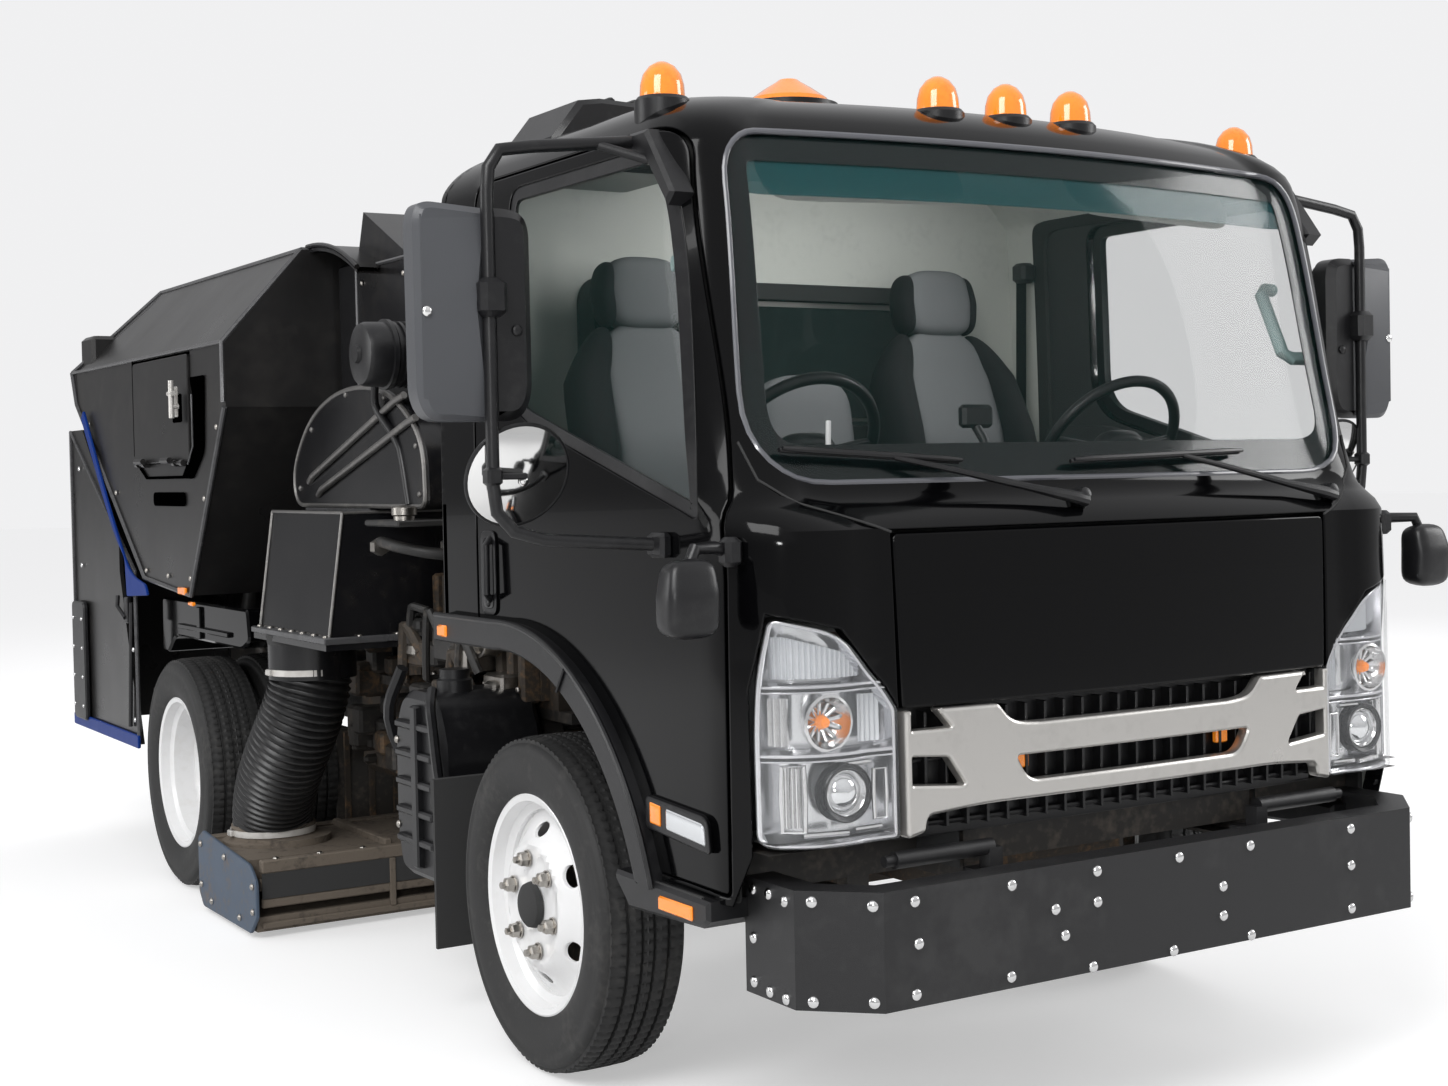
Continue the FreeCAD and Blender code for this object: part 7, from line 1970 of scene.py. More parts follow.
@dataclass
class Mirrors:
    """Mirror loops on the doors, look-down mirrors, and wipers, handles and lamps of the cab's outside."""

    pipe: float = 0.014

    def build(self) -> None:
        """Makes both sides; the left is the right one's mirror image."""
        for name, door, flip in (("right", Body.DOOR_R, False), ("left", Body.DOOR_L, True)):
            for piece, finish, body, replaced, made in (
                    ("mirror", (TRIM, MIRROR_BACK, POLISHED), door, [f"mirror_{name}"], self.loop_mirror()),
                    ("look-down mirror", (TRIM, MIRROR_GLASS), Body.CAB, ["look_down_mirrors"],
                     self.look_down()),
                    ("door handle", (TRIM, BORDER), door, [], self.handle()),
                    ("side lamp", (TRIM, AMBER, CLEAR), door, [], self.side_lamp()),
                    ("flare", (TRIM, AMBER), Body.CAB, ["fender_flares"], self.flare()),
                    ("step", (TRIM, AMBER, RUBBER), Body.CAB, ["cab_steps"], self.step())):
                (made.mirrored() if flip else made).put(f"{piece} {name}", body, finish, replaced)
        self.wipers()

    def loop_mirror(self) -> Solid:
        """Pipe loop with its feet, the large two-part housing, its glass, and the round polished mirror.

        Returns:
            The piece.
        """
        corners = [(-0.925, -0.6, 2.15), (-1.2, -0.6, 2.12), (-1.27, -0.6, 2.108), (-1.295, -0.6, 2.07),
                   (-1.3, -0.6, 2.02), (-1.3, -0.6, 1.42), (-1.293, -0.6, 1.365), (-1.26, -0.61, 1.325),
                   (-1.2, -0.63, 1.306), (-0.95, -0.7, 1.288)]
        made = Solid().tube(corners, self.pipe, 14)
        made.plate([(-0.585, 2.165), (-0.665, 2.165), (-0.775, 2.02), (-0.745, 1.995), (-0.66, 2.1),
                    (-0.585, 2.115)], lambda a, b, d: (-0.965 + d, a, b), 0.06, 0.008)
        made.box((-0.985, -0.735, 1.262), (-0.955, -0.665, 1.315), 0.008)
        made.tube([(-1.05, -0.6, 2.135), (-0.955, -0.66, 2.1)], 0.01)
        made.box((-1.328, -0.632, 1.765), (-1.268, -0.545, 1.845), 0.012)
        left = [(-1.45, 1.6, 0.03), (-1.425, 1.553, 0.03), (-1.288, 1.553, 0.008), (-1.288, 1.99, 0.008),
                (-1.435, 2.0, 0.03), (-1.452, 1.97, 0.02)]
        right = [(-1.3, 1.553, 0.01), (-1.225, 1.553, 0.04), (-1.195, 1.6, 0.04), (-1.195, 1.965, 0.04),
                 (-1.225, 1.992, 0.04), (-1.3, 1.992, 0.01)]
        made.plate(rounded(left, 0.015), lambda a, b, d: (a, -0.585 + d, b), 0.075, 0.014, 1)
        made.plate(rounded(right, 0.015), lambda a, b, d: (a, -0.592 + d, b), 0.085, 0.02)
        ridge = [(-1.44, 1.6), (-1.3, 1.565), (-1.3, 1.98), (-1.44, 1.97)]
        peak = (-1.33, -0.606, 1.79)
        pyramid = [(0, 1, 4), (1, 2, 4), (2, 3, 4), (3, 0, 4), (3, 2, 1, 0)]
        made.add([(x, -0.584, z) for x, z in ridge] + [peak], pyramid, 1)
        made.plate(rounded(rect(-1.435, -1.21, 1.575, 1.975, 0.03), 0.02),
                   lambda a, b, d: (a, -0.505 - d, b), 0.004, 0.0, 2)
        made.bolt((-1.43, -0.588, 1.775), (0, -1, 0), 0.011, 0.006, 2)
        made.bolt((-1.235, -0.594, 1.74), (0, -1, 0), 0.012, 0.006)
        rise = [(0.028 * (1 - share ** 2), 0.114 * share) for share in np.linspace(0, 1, 12)]
        disc = Solid().lathe([(-a, r) for a, r in rise] + [(0.012, 0.114), (0.012, 0.0)],
                             (0, 0, 0), "y", 48, 2)
        ring = [(0.114 * math.cos(a), 0.003, 0.114 * math.sin(a)) for a in turns(48)]
        disc.join(loop(np.array(ring), 0.005, 8)).bolt((0, -0.03, 0), (0, -1, 0), 0.011, 0.008, 2)
        tilt = Matrix.Rotation(math.radians(24), 3, "X")
        disc.points = [p @ np.array(tilt).T + np.array((-1.224, -0.555, 1.44)) for p in disc.points]
        made.join(disc)
        made.box((-1.3, -0.607, 1.432), (-1.224, -0.585, 1.446), 0.003)
        return made.box((-1.318, -0.618, 1.42), (-1.284, -0.582, 1.458), 0.006)

    def look_down(self) -> Solid:
        """A rounded black housing on a bent arm that mounts ahead of the door.

        Returns:
            The piece.
        """
        made = pillow([(-1.075, -0.995, 1.115), (-1.075, -1.0, 1.2), (-1.07, -0.99, 1.272)],
                      [0.058, 0.06, 0.05], [0.04, 0.042, 0.034], blunt=8, square=0.5)
        made.tube([(-0.94, -0.955, 1.275), (-0.99, -0.96, 1.29), (-1.05, -0.985, 1.29),
                   (-1.075, -0.99, 1.24)], 0.013)
        return made.box((-0.975, -0.985, 1.25), (-0.935, -0.94, 1.31), 0.01)

    @staticmethod
    def from_side(solid: Solid, outline: Sequence[Sequence[float]], out: float, depth: float,
                  mark: int = 0) -> Solid:
        """Adds a raised patch on the cab's right side."""
        return solid.skin(CAB.from_side(rounded(outline, 0.015)), [], CAB.under(-out), depth, 0.03,
                          min(0.006, depth / 3), mark, mark)

    def handle(self) -> Solid:
        """A vertical pull handle over a dark recess.

        Returns:
            The piece.
        """
        made = self.from_side(Solid(), rect(0.145, 0.235, 1.095, 1.305, 0.03), 0.006, 0.012)
        self.from_side(made, rect(0.16, 0.22, 1.112, 1.288, 0.02), 0.008, 0.006, 1)
        grip = [CAB.at_side(0.175, z, out)
                for z, out in ((1.285, -0.005), (1.27, -0.026), (1.15, -0.028), (1.135, -0.005))]
        made.tube(grip, 0.009)
        return made.bolt(CAB.at_side(0.19, 1.125, -0.008), (-1, 0, 0), 0.009, 0.005)

    def side_lamp(self) -> Solid:
        """A black bezel with a small amber and a clear window.

        Returns:
            The piece.
        """
        made = self.from_side(Solid(), [(-0.88, 0.662, 0.015), (-0.605, 0.682, 0.015), (-0.605, 0.752, 0.015),
                                        (-0.87, 0.738, 0.03)], 0.016, 0.03)
        self.from_side(made, [(-0.675, 0.692, 0.006), (-0.625, 0.695, 0.006), (-0.625, 0.742, 0.006),
                              (-0.675, 0.738, 0.006)], 0.019, 0.02, 1)
        return self.from_side(made, [(-0.862, 0.678, 0.008), (-0.695, 0.69, 0.008), (-0.695, 0.736, 0.008),
                                     (-0.858, 0.724, 0.02)], 0.019, 0.02, 2)

    @staticmethod
    def flare() -> Solid:
        """Two-part wheel arch flare with a rolled outer lip and an amber lamp at its tail.

        Returns:
            The piece.
        """
        made = Solid()
        tail = [(0.47, 1.016), (0.29, 1.016)]
        low = [*tail, *arch(0.0)]
        high = [(y, z + 0.068) for y, z in tail] + list(arch(0.068))
        rows = []
        inner = [(y * 0.99 + m * 0.01, z + 0.006) for (y, z), (m, _) in zip(low, high)]
        crest = [(y, z + 0.005) for y, z in high]
        for x, ring in ((-0.905, low), (-0.988, low), (-0.994, inner), (-0.994, high), (-0.984, crest),
                        (-0.958, high), (-0.905, high), (-0.905, low)):
            rows.append([(x, y, z) for y, z in ring])
        made.grid(np.array(rows).transpose(1, 0, 2))
        lip = [(-0.99, y, z) for y, z in high]
        made.tube(lip, 0.007, 8)
        joint = [(-0.997, y, z) for y, z in (arch(0.0)[12], arch(0.034)[12], arch(0.068)[12])]
        made.tube(joint, 0.004, 6)
        return made.box((-1.0, 0.385, 1.03), (-0.985, 0.44, 1.06), 0.004, 1)

    @staticmethod
    def step() -> Solid:
        """The step below the door: a black moulding with an amber marker and a grooved tread.

        Returns:
            The piece.
        """
        outline = [(-0.872, 0.512), (-0.56, 0.5), (-0.497, 0.555), (-0.497, 0.575), (-0.9, 0.57),
                   (-0.9, 0.53)]
        made = Solid().plate(outline, lambda a, b, d: (-0.988 + d, a, b), 0.156, 0.008)
        made.box((-0.993, -0.84, 0.522), (-0.984, -0.7, 0.552), 0.003, 1)
        for x in np.linspace(-0.975, -0.86, 6):
            made.box((x - 0.005, -0.86, 0.568), (x + 0.005, -0.53, 0.574), 0.002, 2)
        return made

    @staticmethod
    def wipers() -> None:
        """Two wiper arms and blades on the windscreen, and the seam of the cowl below it."""
        made = Solid()
        for start, end, pivot, joint in (((-0.811, 1.482), (-0.385, 1.451), (-0.109, 1.362), (-0.55, 1.463)),
                                         ((-0.084, 1.448), (0.46, 1.462), (0.697, 1.354), (0.25, 1.457))):
            blade = [CAB.at_front(*(np.array(start) * (1 - s) + np.array(end) * s), -0.004)
                     for s in np.linspace(0, 1, 14)]
            made.tube(blade, 0.005, 8)
            made.tube([p + np.array([0, -0.014, 0.004]) for p in blade], [0.004] + [0.007] * 12 + [0.004], 8)
            arm = [CAB.at_front(*(np.array(pivot) * (1 - s) + np.array(joint) * s), lift)
                   for s, lift in ((0, -0.03), (0.08, -0.045), (0.3, -0.045), (0.7, -0.035), (1.0, -0.018))]
            made.tube(arm, [0.014, 0.014, 0.009, 0.007, 0.006], 10)
            foot = CAB.at_front(*pivot, 0.01)
            made.bolt(foot, (0, -1, 0.4), 0.024, 0.05)
        made.put("wipers", Body.CAB, TRIM)
        seam = Solid()
        for side in (-1, 1):
            line = [(-0.89, 1.5), (-0.868, 1.422), (-0.8, 1.372), (-0.634, 1.311)]
            share = np.linspace(0, 3, 16)
            run = zip(*(np.interp(share, range(4), [p[k] for p in line]) for k in (0, 1)))
            seam.tube([CAB.at_front(side * x, z, -0.0005) for x, z in run], 0.0028, 6)
        seam.put("cowl seams", Body.CAB, RUBBER)


@dataclass
class Machinery:
    """Sweeper engine, belt guard, air cleaner, chutes, hoses and the pickup head."""

    ribs: int = 30
    hose: float = 0.128
    rib_depth: float = 0.01
    belly: float = 0.006

    def build(self) -> None:
        """Makes the pieces between the cab and the hopper."""
        self.belt_guard()
        self.air_cleaner()
        self.chutes()
        self.engine()
        for side, name in SIDES:
            self.air_hose(side, name)
        self.head()
        self.tanks()

    def belt_guard(self) -> None:
        """A teardrop guard with a rolled edge and two pressed ribs, painted lighter in worn steel as
        highlights and wear.
        """
        outline = [(0.97, 1.345, 0.05), (0.98, 1.56, 0.12), (1.25, 1.715, 0.3), (1.62, 1.735, 0.3),
                   (1.93, 1.655, 0.3), (2.1, 1.5, 0.1), (2.11, 1.4, 0.08), (2.06, 1.345, 0.05)]
        guard = Solid().side_plate(outline, -0.8, 0.17, 0.012)
        ring = rounded(outline, 0.02)
        edge = loop(np.array([(-0.797, y, z) for y, z in offset(ring, -0.01)]), 0.008, 8)
        guard.join(edge)
        guard.marks[-len(edge.faces):] = [1] * len(edge.faces)
        for shift in (0.0, 0.085):
            guard.pipe([(-0.8, 1.95 - shift, 1.43 - shift * 0.5), (-0.808, 1.9 - shift, 1.448 - shift * 0.5),
                        (-0.808, 1.17 - shift, 1.665 - shift * 0.8),
                        (-0.8, 1.12 - shift, 1.68 - shift * 0.8)], 0.011, 1)
        guard.studs([(-0.8, y, z) for y, z in ((2.04, 1.41), (1.92, 1.6), (1.6, 1.7), (1.28, 1.68),
                                               (1.04, 1.53), (1.02, 1.39))], (-1, 0, 0), 0.009, 1)
        guard.put("belt guard", Body.CHASSIS, (DUCT_BLACK, WORN_EDGE_AND_HIGHLIGHT), ["belt_guard"])

    def air_cleaner(self) -> None:
        """A ribbed canister across the truck with its end cap, clamps and intake hose."""
        place = (-0.04, 1.18, 1.8)
        profile = [(-0.875, 0.0), (-0.875, 0.07), (-0.868, 0.088), (-0.855, 0.094), (-0.8, 0.096),
                   (-0.798, 0.104), (-0.785, 0.104), (-0.783, 0.092)]
        for start in np.arange(-0.78, -0.7, 0.02):
            profile += [(start, 0.098), (start + 0.009, 0.098), (start + 0.01, 0.09), (start + 0.019, 0.09)]
        profile += [(-0.68, 0.094), (-0.6, 0.094), (-0.598, 0.1), (-0.585, 0.1), (-0.58, 0.08),
                    (-0.54, 0.075), (-0.54, 0.0)]
        made = Solid()
        made.lathe(profile, place, "x", 40)
        for x in (-0.7, -0.635):
            made.lathe([(x, 0.095), (x, 0.099), (x + 0.016, 0.099), (x + 0.016, 0.095)], place, "x", 40, 1)
        made.lathe([(-0.885, 0.0), (-0.885, 0.025), (-0.87, 0.03)], place, "x", 24)
        made.pipe([(-0.56, 1.18, 1.8), (-0.47, 1.2, 1.79), (-0.43, 1.25, 1.68), (-0.43, 1.27, 1.5),
                   (-0.43, 1.2, 1.3)], 0.055, bends=20)
        made.pipe([(-0.66, 1.1, 1.76), (-0.66, 0.98, 1.62), (-0.64, 0.9, 1.42), (-0.62, 0.86, 1.2)],
                  0.014, bends=16)
        made.pipe([(-0.83, 1.26, 1.74), (-0.82, 1.3, 1.66), (-0.8, 1.16, 1.52), (-0.8, 1.1, 1.36)],
                  0.012, bends=16)
        made.box((-0.73, 1.12, 1.62), (-0.69, 1.24, 1.71)).box((-0.78, 1.1, 1.62), (-0.56, 1.26, 1.635))
        made.put("air cleaner", Body.CHASSIS, (TRIM, WORN_EDGE_AND_HIGHLIGHT), ["air_cleaner"])

    @staticmethod
    def chutes() -> None:
        """Flanges, bolts and boots of the suction and blast chutes, and the tower's folded edges; flanges and
        edges are painted lighter than the duct as highlights and rubbed wear.
        """
        made = Solid()
        for side in (-1.0, 1.0):
            made.box((side * 0.975, 1.355, 0.945), (side * 0.3, 2.05, 0.965), 0.003)
            made.box((side * 0.8, 1.42, 1.335), (side * 0.32, 2.0, 1.35), 0.003)
            made.studs([(side * 0.955, y, 0.965) for y in np.linspace(1.4, 2.02, 7)], (0, 0, 1), 0.009, 1)
            made.studs([(side * x, 1.372, 0.965) for x in (0.86, 0.74, 0.62, 0.5, 0.38)], (0, 0, 1), 0.009, 1)
            # Thin lines along the flange folds in worn steel: painted highlights.
            for y in (1.379, 2.026):
                made.pipe([(side * 0.951, y, 0.966), (side * 0.901, y, 1.337)], 0.005, 3, 8)
            made.pipe([(side * 0.322, 1.379, 1.337), (side * 0.901, 1.379, 1.337),
                       (side * 0.901, 2.026, 1.337)], 0.005, 3, 8)
            place = (side * 0.828, 1.888, 0.0)
            made.lathe([(0.955, 0.142), (0.94, 0.145), (0.9, 0.138), (0.85, 0.134), (0.8, 0.134),
                        (0.8, 0.12)], place, "z", 40, 2)
        corners = [(-0.618, 1.5), (0.56, 1.5), (0.56, 1.96), (-0.618, 1.96)]
        # Tower's folded edges: beads painted lighter as highlights and rubbed wear.
        for x, y in corners:
            made.pipe([(x, y, 1.34), (x, y, 2.13)], 0.007, 0, 6)
        for a, b in zip(corners, corners[1:] + corners[:1]):
            made.pipe([(*a, 2.13), (*b, 2.13)], 0.007, 0, 6)
            made.box((min(a[0], b[0]) - 0.012, min(a[1], b[1]) - 0.012, 1.345),
                     (max(a[0], b[0]) + 0.012, max(a[1], b[1]) + 0.012, 1.365), 0.002)
        made.pipe([(-0.622, 1.5, 1.72), (-0.622, 1.96, 1.72)], 0.006, 0, 6)
        made.studs([(-0.62, y, 1.76) for y in (1.55, 1.73, 1.91)] + [(-0.62, y, 2.08) for y in (1.55, 1.91)],
                   (-1, 0, 0), 0.009, 1)
        made.put("chute flanges", Body.CHASSIS, (BEAD_WEAR_AND_HIGHLIGHT, NUT_STEEL, RUBBER, WORN_EDGE_AND_HIGHLIGHT))

    def air_hose(self, side: float, name: str) -> None:
        """A corrugated hose from the chute's boot to the head, with a bright band clamp at each end.

        Args:
            side: -1 on the truck's right, 1 on its left.
            name: right or left, for the pieces' names.
        """
        ends = (np.array([side * 0.828, 1.888, 0.83]), np.array([side * 0.885, 2.15, 0.262]))
        share = np.linspace(0, 1, self.ribs * 6 + 1)
        bow = np.array([side * 0.03, -0.03, 0.0])
        smooth = share * share * (3 - 2 * share)
        path = np.stack([ends[0][0] + (ends[1][0] - ends[0][0]) * smooth,
                         ends[0][1] + (ends[1][1] - ends[0][1]) * smooth,
                         ends[0][2] + (ends[1][2] - ends[0][2]) * share], axis=1)
        path += np.sin(share * math.pi)[:, None] * bow
        dips = np.abs(np.cos(share * math.pi * self.ribs)) ** 3
        radius = self.hose - self.rib_depth * dips + self.belly * np.sin(share * math.pi)
        made = Solid().tube(path, radius, 40)
        thing = made.put(f"air hose {name}", None, RIBBED, ["air_hoses"])
        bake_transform(thing)
        for label, body, place in (("upper", Body.CHASSIS, path[2]), ("lower", Body.HEAD, path[-6])):
            band = Solid().lathe([(-0.01, 0.126), (-0.01, 0.139), (0.01, 0.139), (0.01, 0.126)],
                                 place, "z", 48)
            band.box(place + np.array([side * 0.128, -0.02, -0.01]),
                     place + np.array([side * 0.15, 0.02, 0.01]), 0.003)
            band.put(f"hose clamp {label} {name}", body, CLAMP)

    @staticmethod
    def engine() -> None:
        """The sweeper's engine and the driveline below it: blocks, filters, pulleys, pipes and brackets."""
        made = Solid()
        random = np.random.default_rng(7)
        for y in np.linspace(0.7, 1.3, 9):
            made.box((-0.64, y, 0.8), (-0.58, y + 0.035, 1.05 + 0.12 * random.random()), 0.008)
        for row in range(26):
            y, z, w = (low + span * random.random()
                       for low, span in ((0.66, 0.68), (0.5, 0.72), (0.03, 0.06)))
            made.box((-0.68 - 0.05 * random.random(), y, z), (-0.4, y + w * 1.6, z + w), 0.008,
                     int(random.integers(0, 3)))
        for x, y, z, r, mark in ((-0.7, 0.86, 0.98, 0.055, 2), (-0.7, 1.14, 0.74, 0.075, 0),
                                 (-0.7, 0.78, 0.7, 0.06, 1), (-0.7, 1.3, 0.98, 0.05, 1),
                                 (-0.69, 1.02, 1.14, 0.045, 2)):
            profile = [(x, 0), (x, r * 0.3), (x + 0.012, r * 0.35), (x + 0.012, r * 0.8), (x, r * 0.85),
                       (x, r), (x + 0.05, r), (x + 0.05, r * 0.8), (x + 0.2, r * 0.8), (x + 0.2, 0)]
            made.lathe(profile, (0, y, z), "x", 28, mark)
        for row in range(11):
            y, z = 0.68 + 0.06 * row, 0.62 + 0.5 * random.random()
            path = [(-0.7, y, z), (-0.73, y + 0.05, z + 0.12 * random.random()), (-0.71, y + 0.12, z - 0.1),
                    (-0.62, y + 0.16, z - 0.2 + 0.3 * random.random())]
            made.pipe(path, 0.008 + 0.01 * random.random(), row % 2, 8, 12)
        made.box((-0.52, 1.0, 0.42), (-0.1, 2.3, 0.94), 0.03).box((-0.58, 1.3, 0.46), (-0.5, 1.66, 0.8), 0.03)
        for row in range(60):
            y, z, w = (low + span * random.random()
                       for low, span in ((1.0, 1.25), (0.44, 0.42), (0.02, 0.06)))
            made.box((-0.56 - 0.08 * random.random(), y, z), (-0.48, y + w * 1.3, z + w * 1.5), 0.01,
                     int(random.integers(0, 2)))
        made.studs([(-0.585, 1.34 + 0.07 * k, z) for k in range(5) for z in (0.5, 0.64, 0.77)],
                   (-1, 0, 0), 0.012, 2)
        made.pipe([(-0.62, 1.0, 0.62), (-0.66, 1.2, 0.56), (-0.66, 1.55, 0.6), (-0.55, 1.8, 0.7)],
                  0.022, 0, 10, 16)
        made.studs([(-0.645, 0.72 + 0.075 * k, z) for k in range(9) for z in (0.84, 1.0)],
                   (-1, 0, 0), 0.01, 2)
        made.box((-0.58, 2.385, 0.13), (0.58, 2.395, 0.56), 0.003, 1)
        for x in np.linspace(-0.54, 0.54, 13):
            made.box((x - 0.012, 2.378, 0.15), (x + 0.012, 2.39, 0.55), 0.003)
        made.put("engine parts", Body.CHASSIS, (BROWN_IRON, CHASSIS, NUT_STEEL))
        cap = Solid()
        cap.lathe([(1.318, 0), (1.318, 0.03), (1.33, 0.03), (1.334, 0.036), (1.354, 0.036), (1.358, 0.03),
                   (1.362, 0.0)], (-0.86, 0.99, 0), "z", 24)
        cap.box((-0.9, 0.94, 1.3), (-0.6, 1.2, 1.318), 0.004, 1)
        cap.pipe([(-0.86, 1.2, 1.225), (-0.86, 1.17, 1.252), (-0.86, 1.1, 1.246), (-0.8, 1.0, 1.225),
                  (-0.6, 0.96, 1.2)], 0.017, 1, 14, 14)
        cap.lathe([(1.17, 0.0), (1.17, 0.026), (1.205, 0.026), (1.205, 0.0)], (-0.86, 0.0, 1.238), "y", 6)
        cap.put("filler cap and elbow", Body.CHASSIS, (NUT_STEEL, CHASSIS))

    @staticmethod
    def head() -> None:
        """The pickup head's rails, mouth, ribs, hose collars and bolted blue side plates."""
        made = Solid()
        made.box((-1.05, 1.765, 0.205), (1.05, 1.8, 0.246), 0.004)
        made.box((-1.05, 1.77, 0.095), (1.05, 1.79, 0.125), 0.004)
        made.box((-1.05, 1.768, 0.125), (1.05, 1.772, 0.205), 0.0, 1)
        made.box((-1.05, 1.765, 0.03), (1.05, 1.783, 0.05), 0.003)
        made.pipe([(-1.05, 1.8, 0.165), (1.05, 1.8, 0.165)], 0.02, 0, 14)
        made.box((-1.05, 2.28, 0.2), (1.05, 2.325, 0.25), 0.004)
        for x in (-0.62, -0.35, 0.0, 0.35, 0.62):
            made.box((x - 0.012, 1.8, 0.238), (x + 0.012, 2.29, 0.262), 0.003)
            made.box((x - 0.01, 1.763, 0.05), (x + 0.01, 1.775, 0.205), 0.002)
        made.studs([(x, 1.782, 0.246) for x in np.linspace(-1.0, 1.0, 15)], (0, 0, 1), 0.01, 2)
        for side in (-1.0, 1.0):
            made.lathe([(0.236, 0.165), (0.25, 0.165), (0.256, 0.14), (0.3, 0.136), (0.3, 0.12)],
                       (side * 0.885, 2.15, 0), "z", 40)
        made.put("head rails", Body.HEAD, (DUSTY_DECK, RUBBER, NUT_STEEL))
        outline = [(1.735, 0.075, 0.01), (1.8, 0.016, 0.01), (2.3, 0.016, 0.01), (2.345, 0.06, 0.01),
                   (2.345, 0.245, 0.02), (2.29, 0.272, 0.01), (1.8, 0.235, 0.02), (1.735, 0.19, 0.02)]
        plate = Solid().side_plate(outline, -1.082, 0.012, 0.003)
        plate.studs([(-1.083, y, z) for y, z in ((1.765, 0.09), (1.765, 0.17), (1.9, 0.05), (2.05, 0.22),
                                                 (2.2, 0.05), (2.31, 0.09), (2.31, 0.225))],
                    (-1, 0, 0), 0.011, 1)
        plate.join(plate.mirrored())
        plate.put("head side plates", Body.HEAD, (BLUE_GREY, NUT_STEEL), ["head_side_plates"])

    @staticmethod
    def tanks() -> None:
        """The ribbed black plastic housing behind the front wheel, and the fuel tank on the left."""
        made = Solid()
        outline = [(0.655, 0.4, 0.05), (0.7, 0.325, 0.03), (0.96, 0.325, 0.05), (0.995, 0.45, 0.05),
                   (0.995, 0.74, 0.08), (0.93, 0.845, 0.05), (0.72, 0.845, 0.06), (0.655, 0.72, 0.05)]
        made.side_plate(outline, -0.905, 0.31, 0.02)
        for z in (0.42, 0.5, 0.58, 0.66, 0.74):
            made.box((-0.922, 0.7, z), (-0.895, 0.95, z + 0.022), 0.005)
        made.box((-0.925, 0.79, 0.36), (-0.895, 0.83, 0.81), 0.005)
        made.lathe([(0.84, 0.05), (0.875, 0.05), (0.88, 0.042), (0.905, 0.042), (0.906, 0)],
                   (-0.8, 0.8, 0), "z", 24)
        made.pipe([(-0.9, 0.72, 0.86), (-0.93, 0.66, 0.8), (-0.92, 0.64, 0.62), (-0.86, 0.62, 0.45)],
                  0.014, 0, 8, 14)
        made.pipe([(-0.88, 0.98, 0.9), (-0.9, 1.04, 0.78), (-0.82, 1.08, 0.6), (-0.7, 1.1, 0.55)],
                  0.018, 0, 8, 14)
        made.studs([(-0.906, y, z) for y, z in ((0.69, 0.46), (0.97, 0.46), (0.69, 0.7), (0.97, 0.7))],
                   (-1, 0, 0), 0.011, 1)
        made.put("side housing", Body.CHASSIS, (TRIM, NUT_STEEL))
        tank = Solid().box((0.6, 0.7, 0.42), (0.9, 1.25, 0.8), 0.03)
        for y in (0.82, 1.1):
            tank.box((0.595, y, 0.412), (0.908, y + 0.04, 0.81), 0.006, 1)
        tank.lathe([(0.8, 0.04), (0.83, 0.04), (0.835, 0.0)], (0.78, 0.95, 0), "z", 24)
        tank.put("fuel tank", Body.CHASSIS, (CHASSIS, NUT_STEEL), ["side_tanks"])


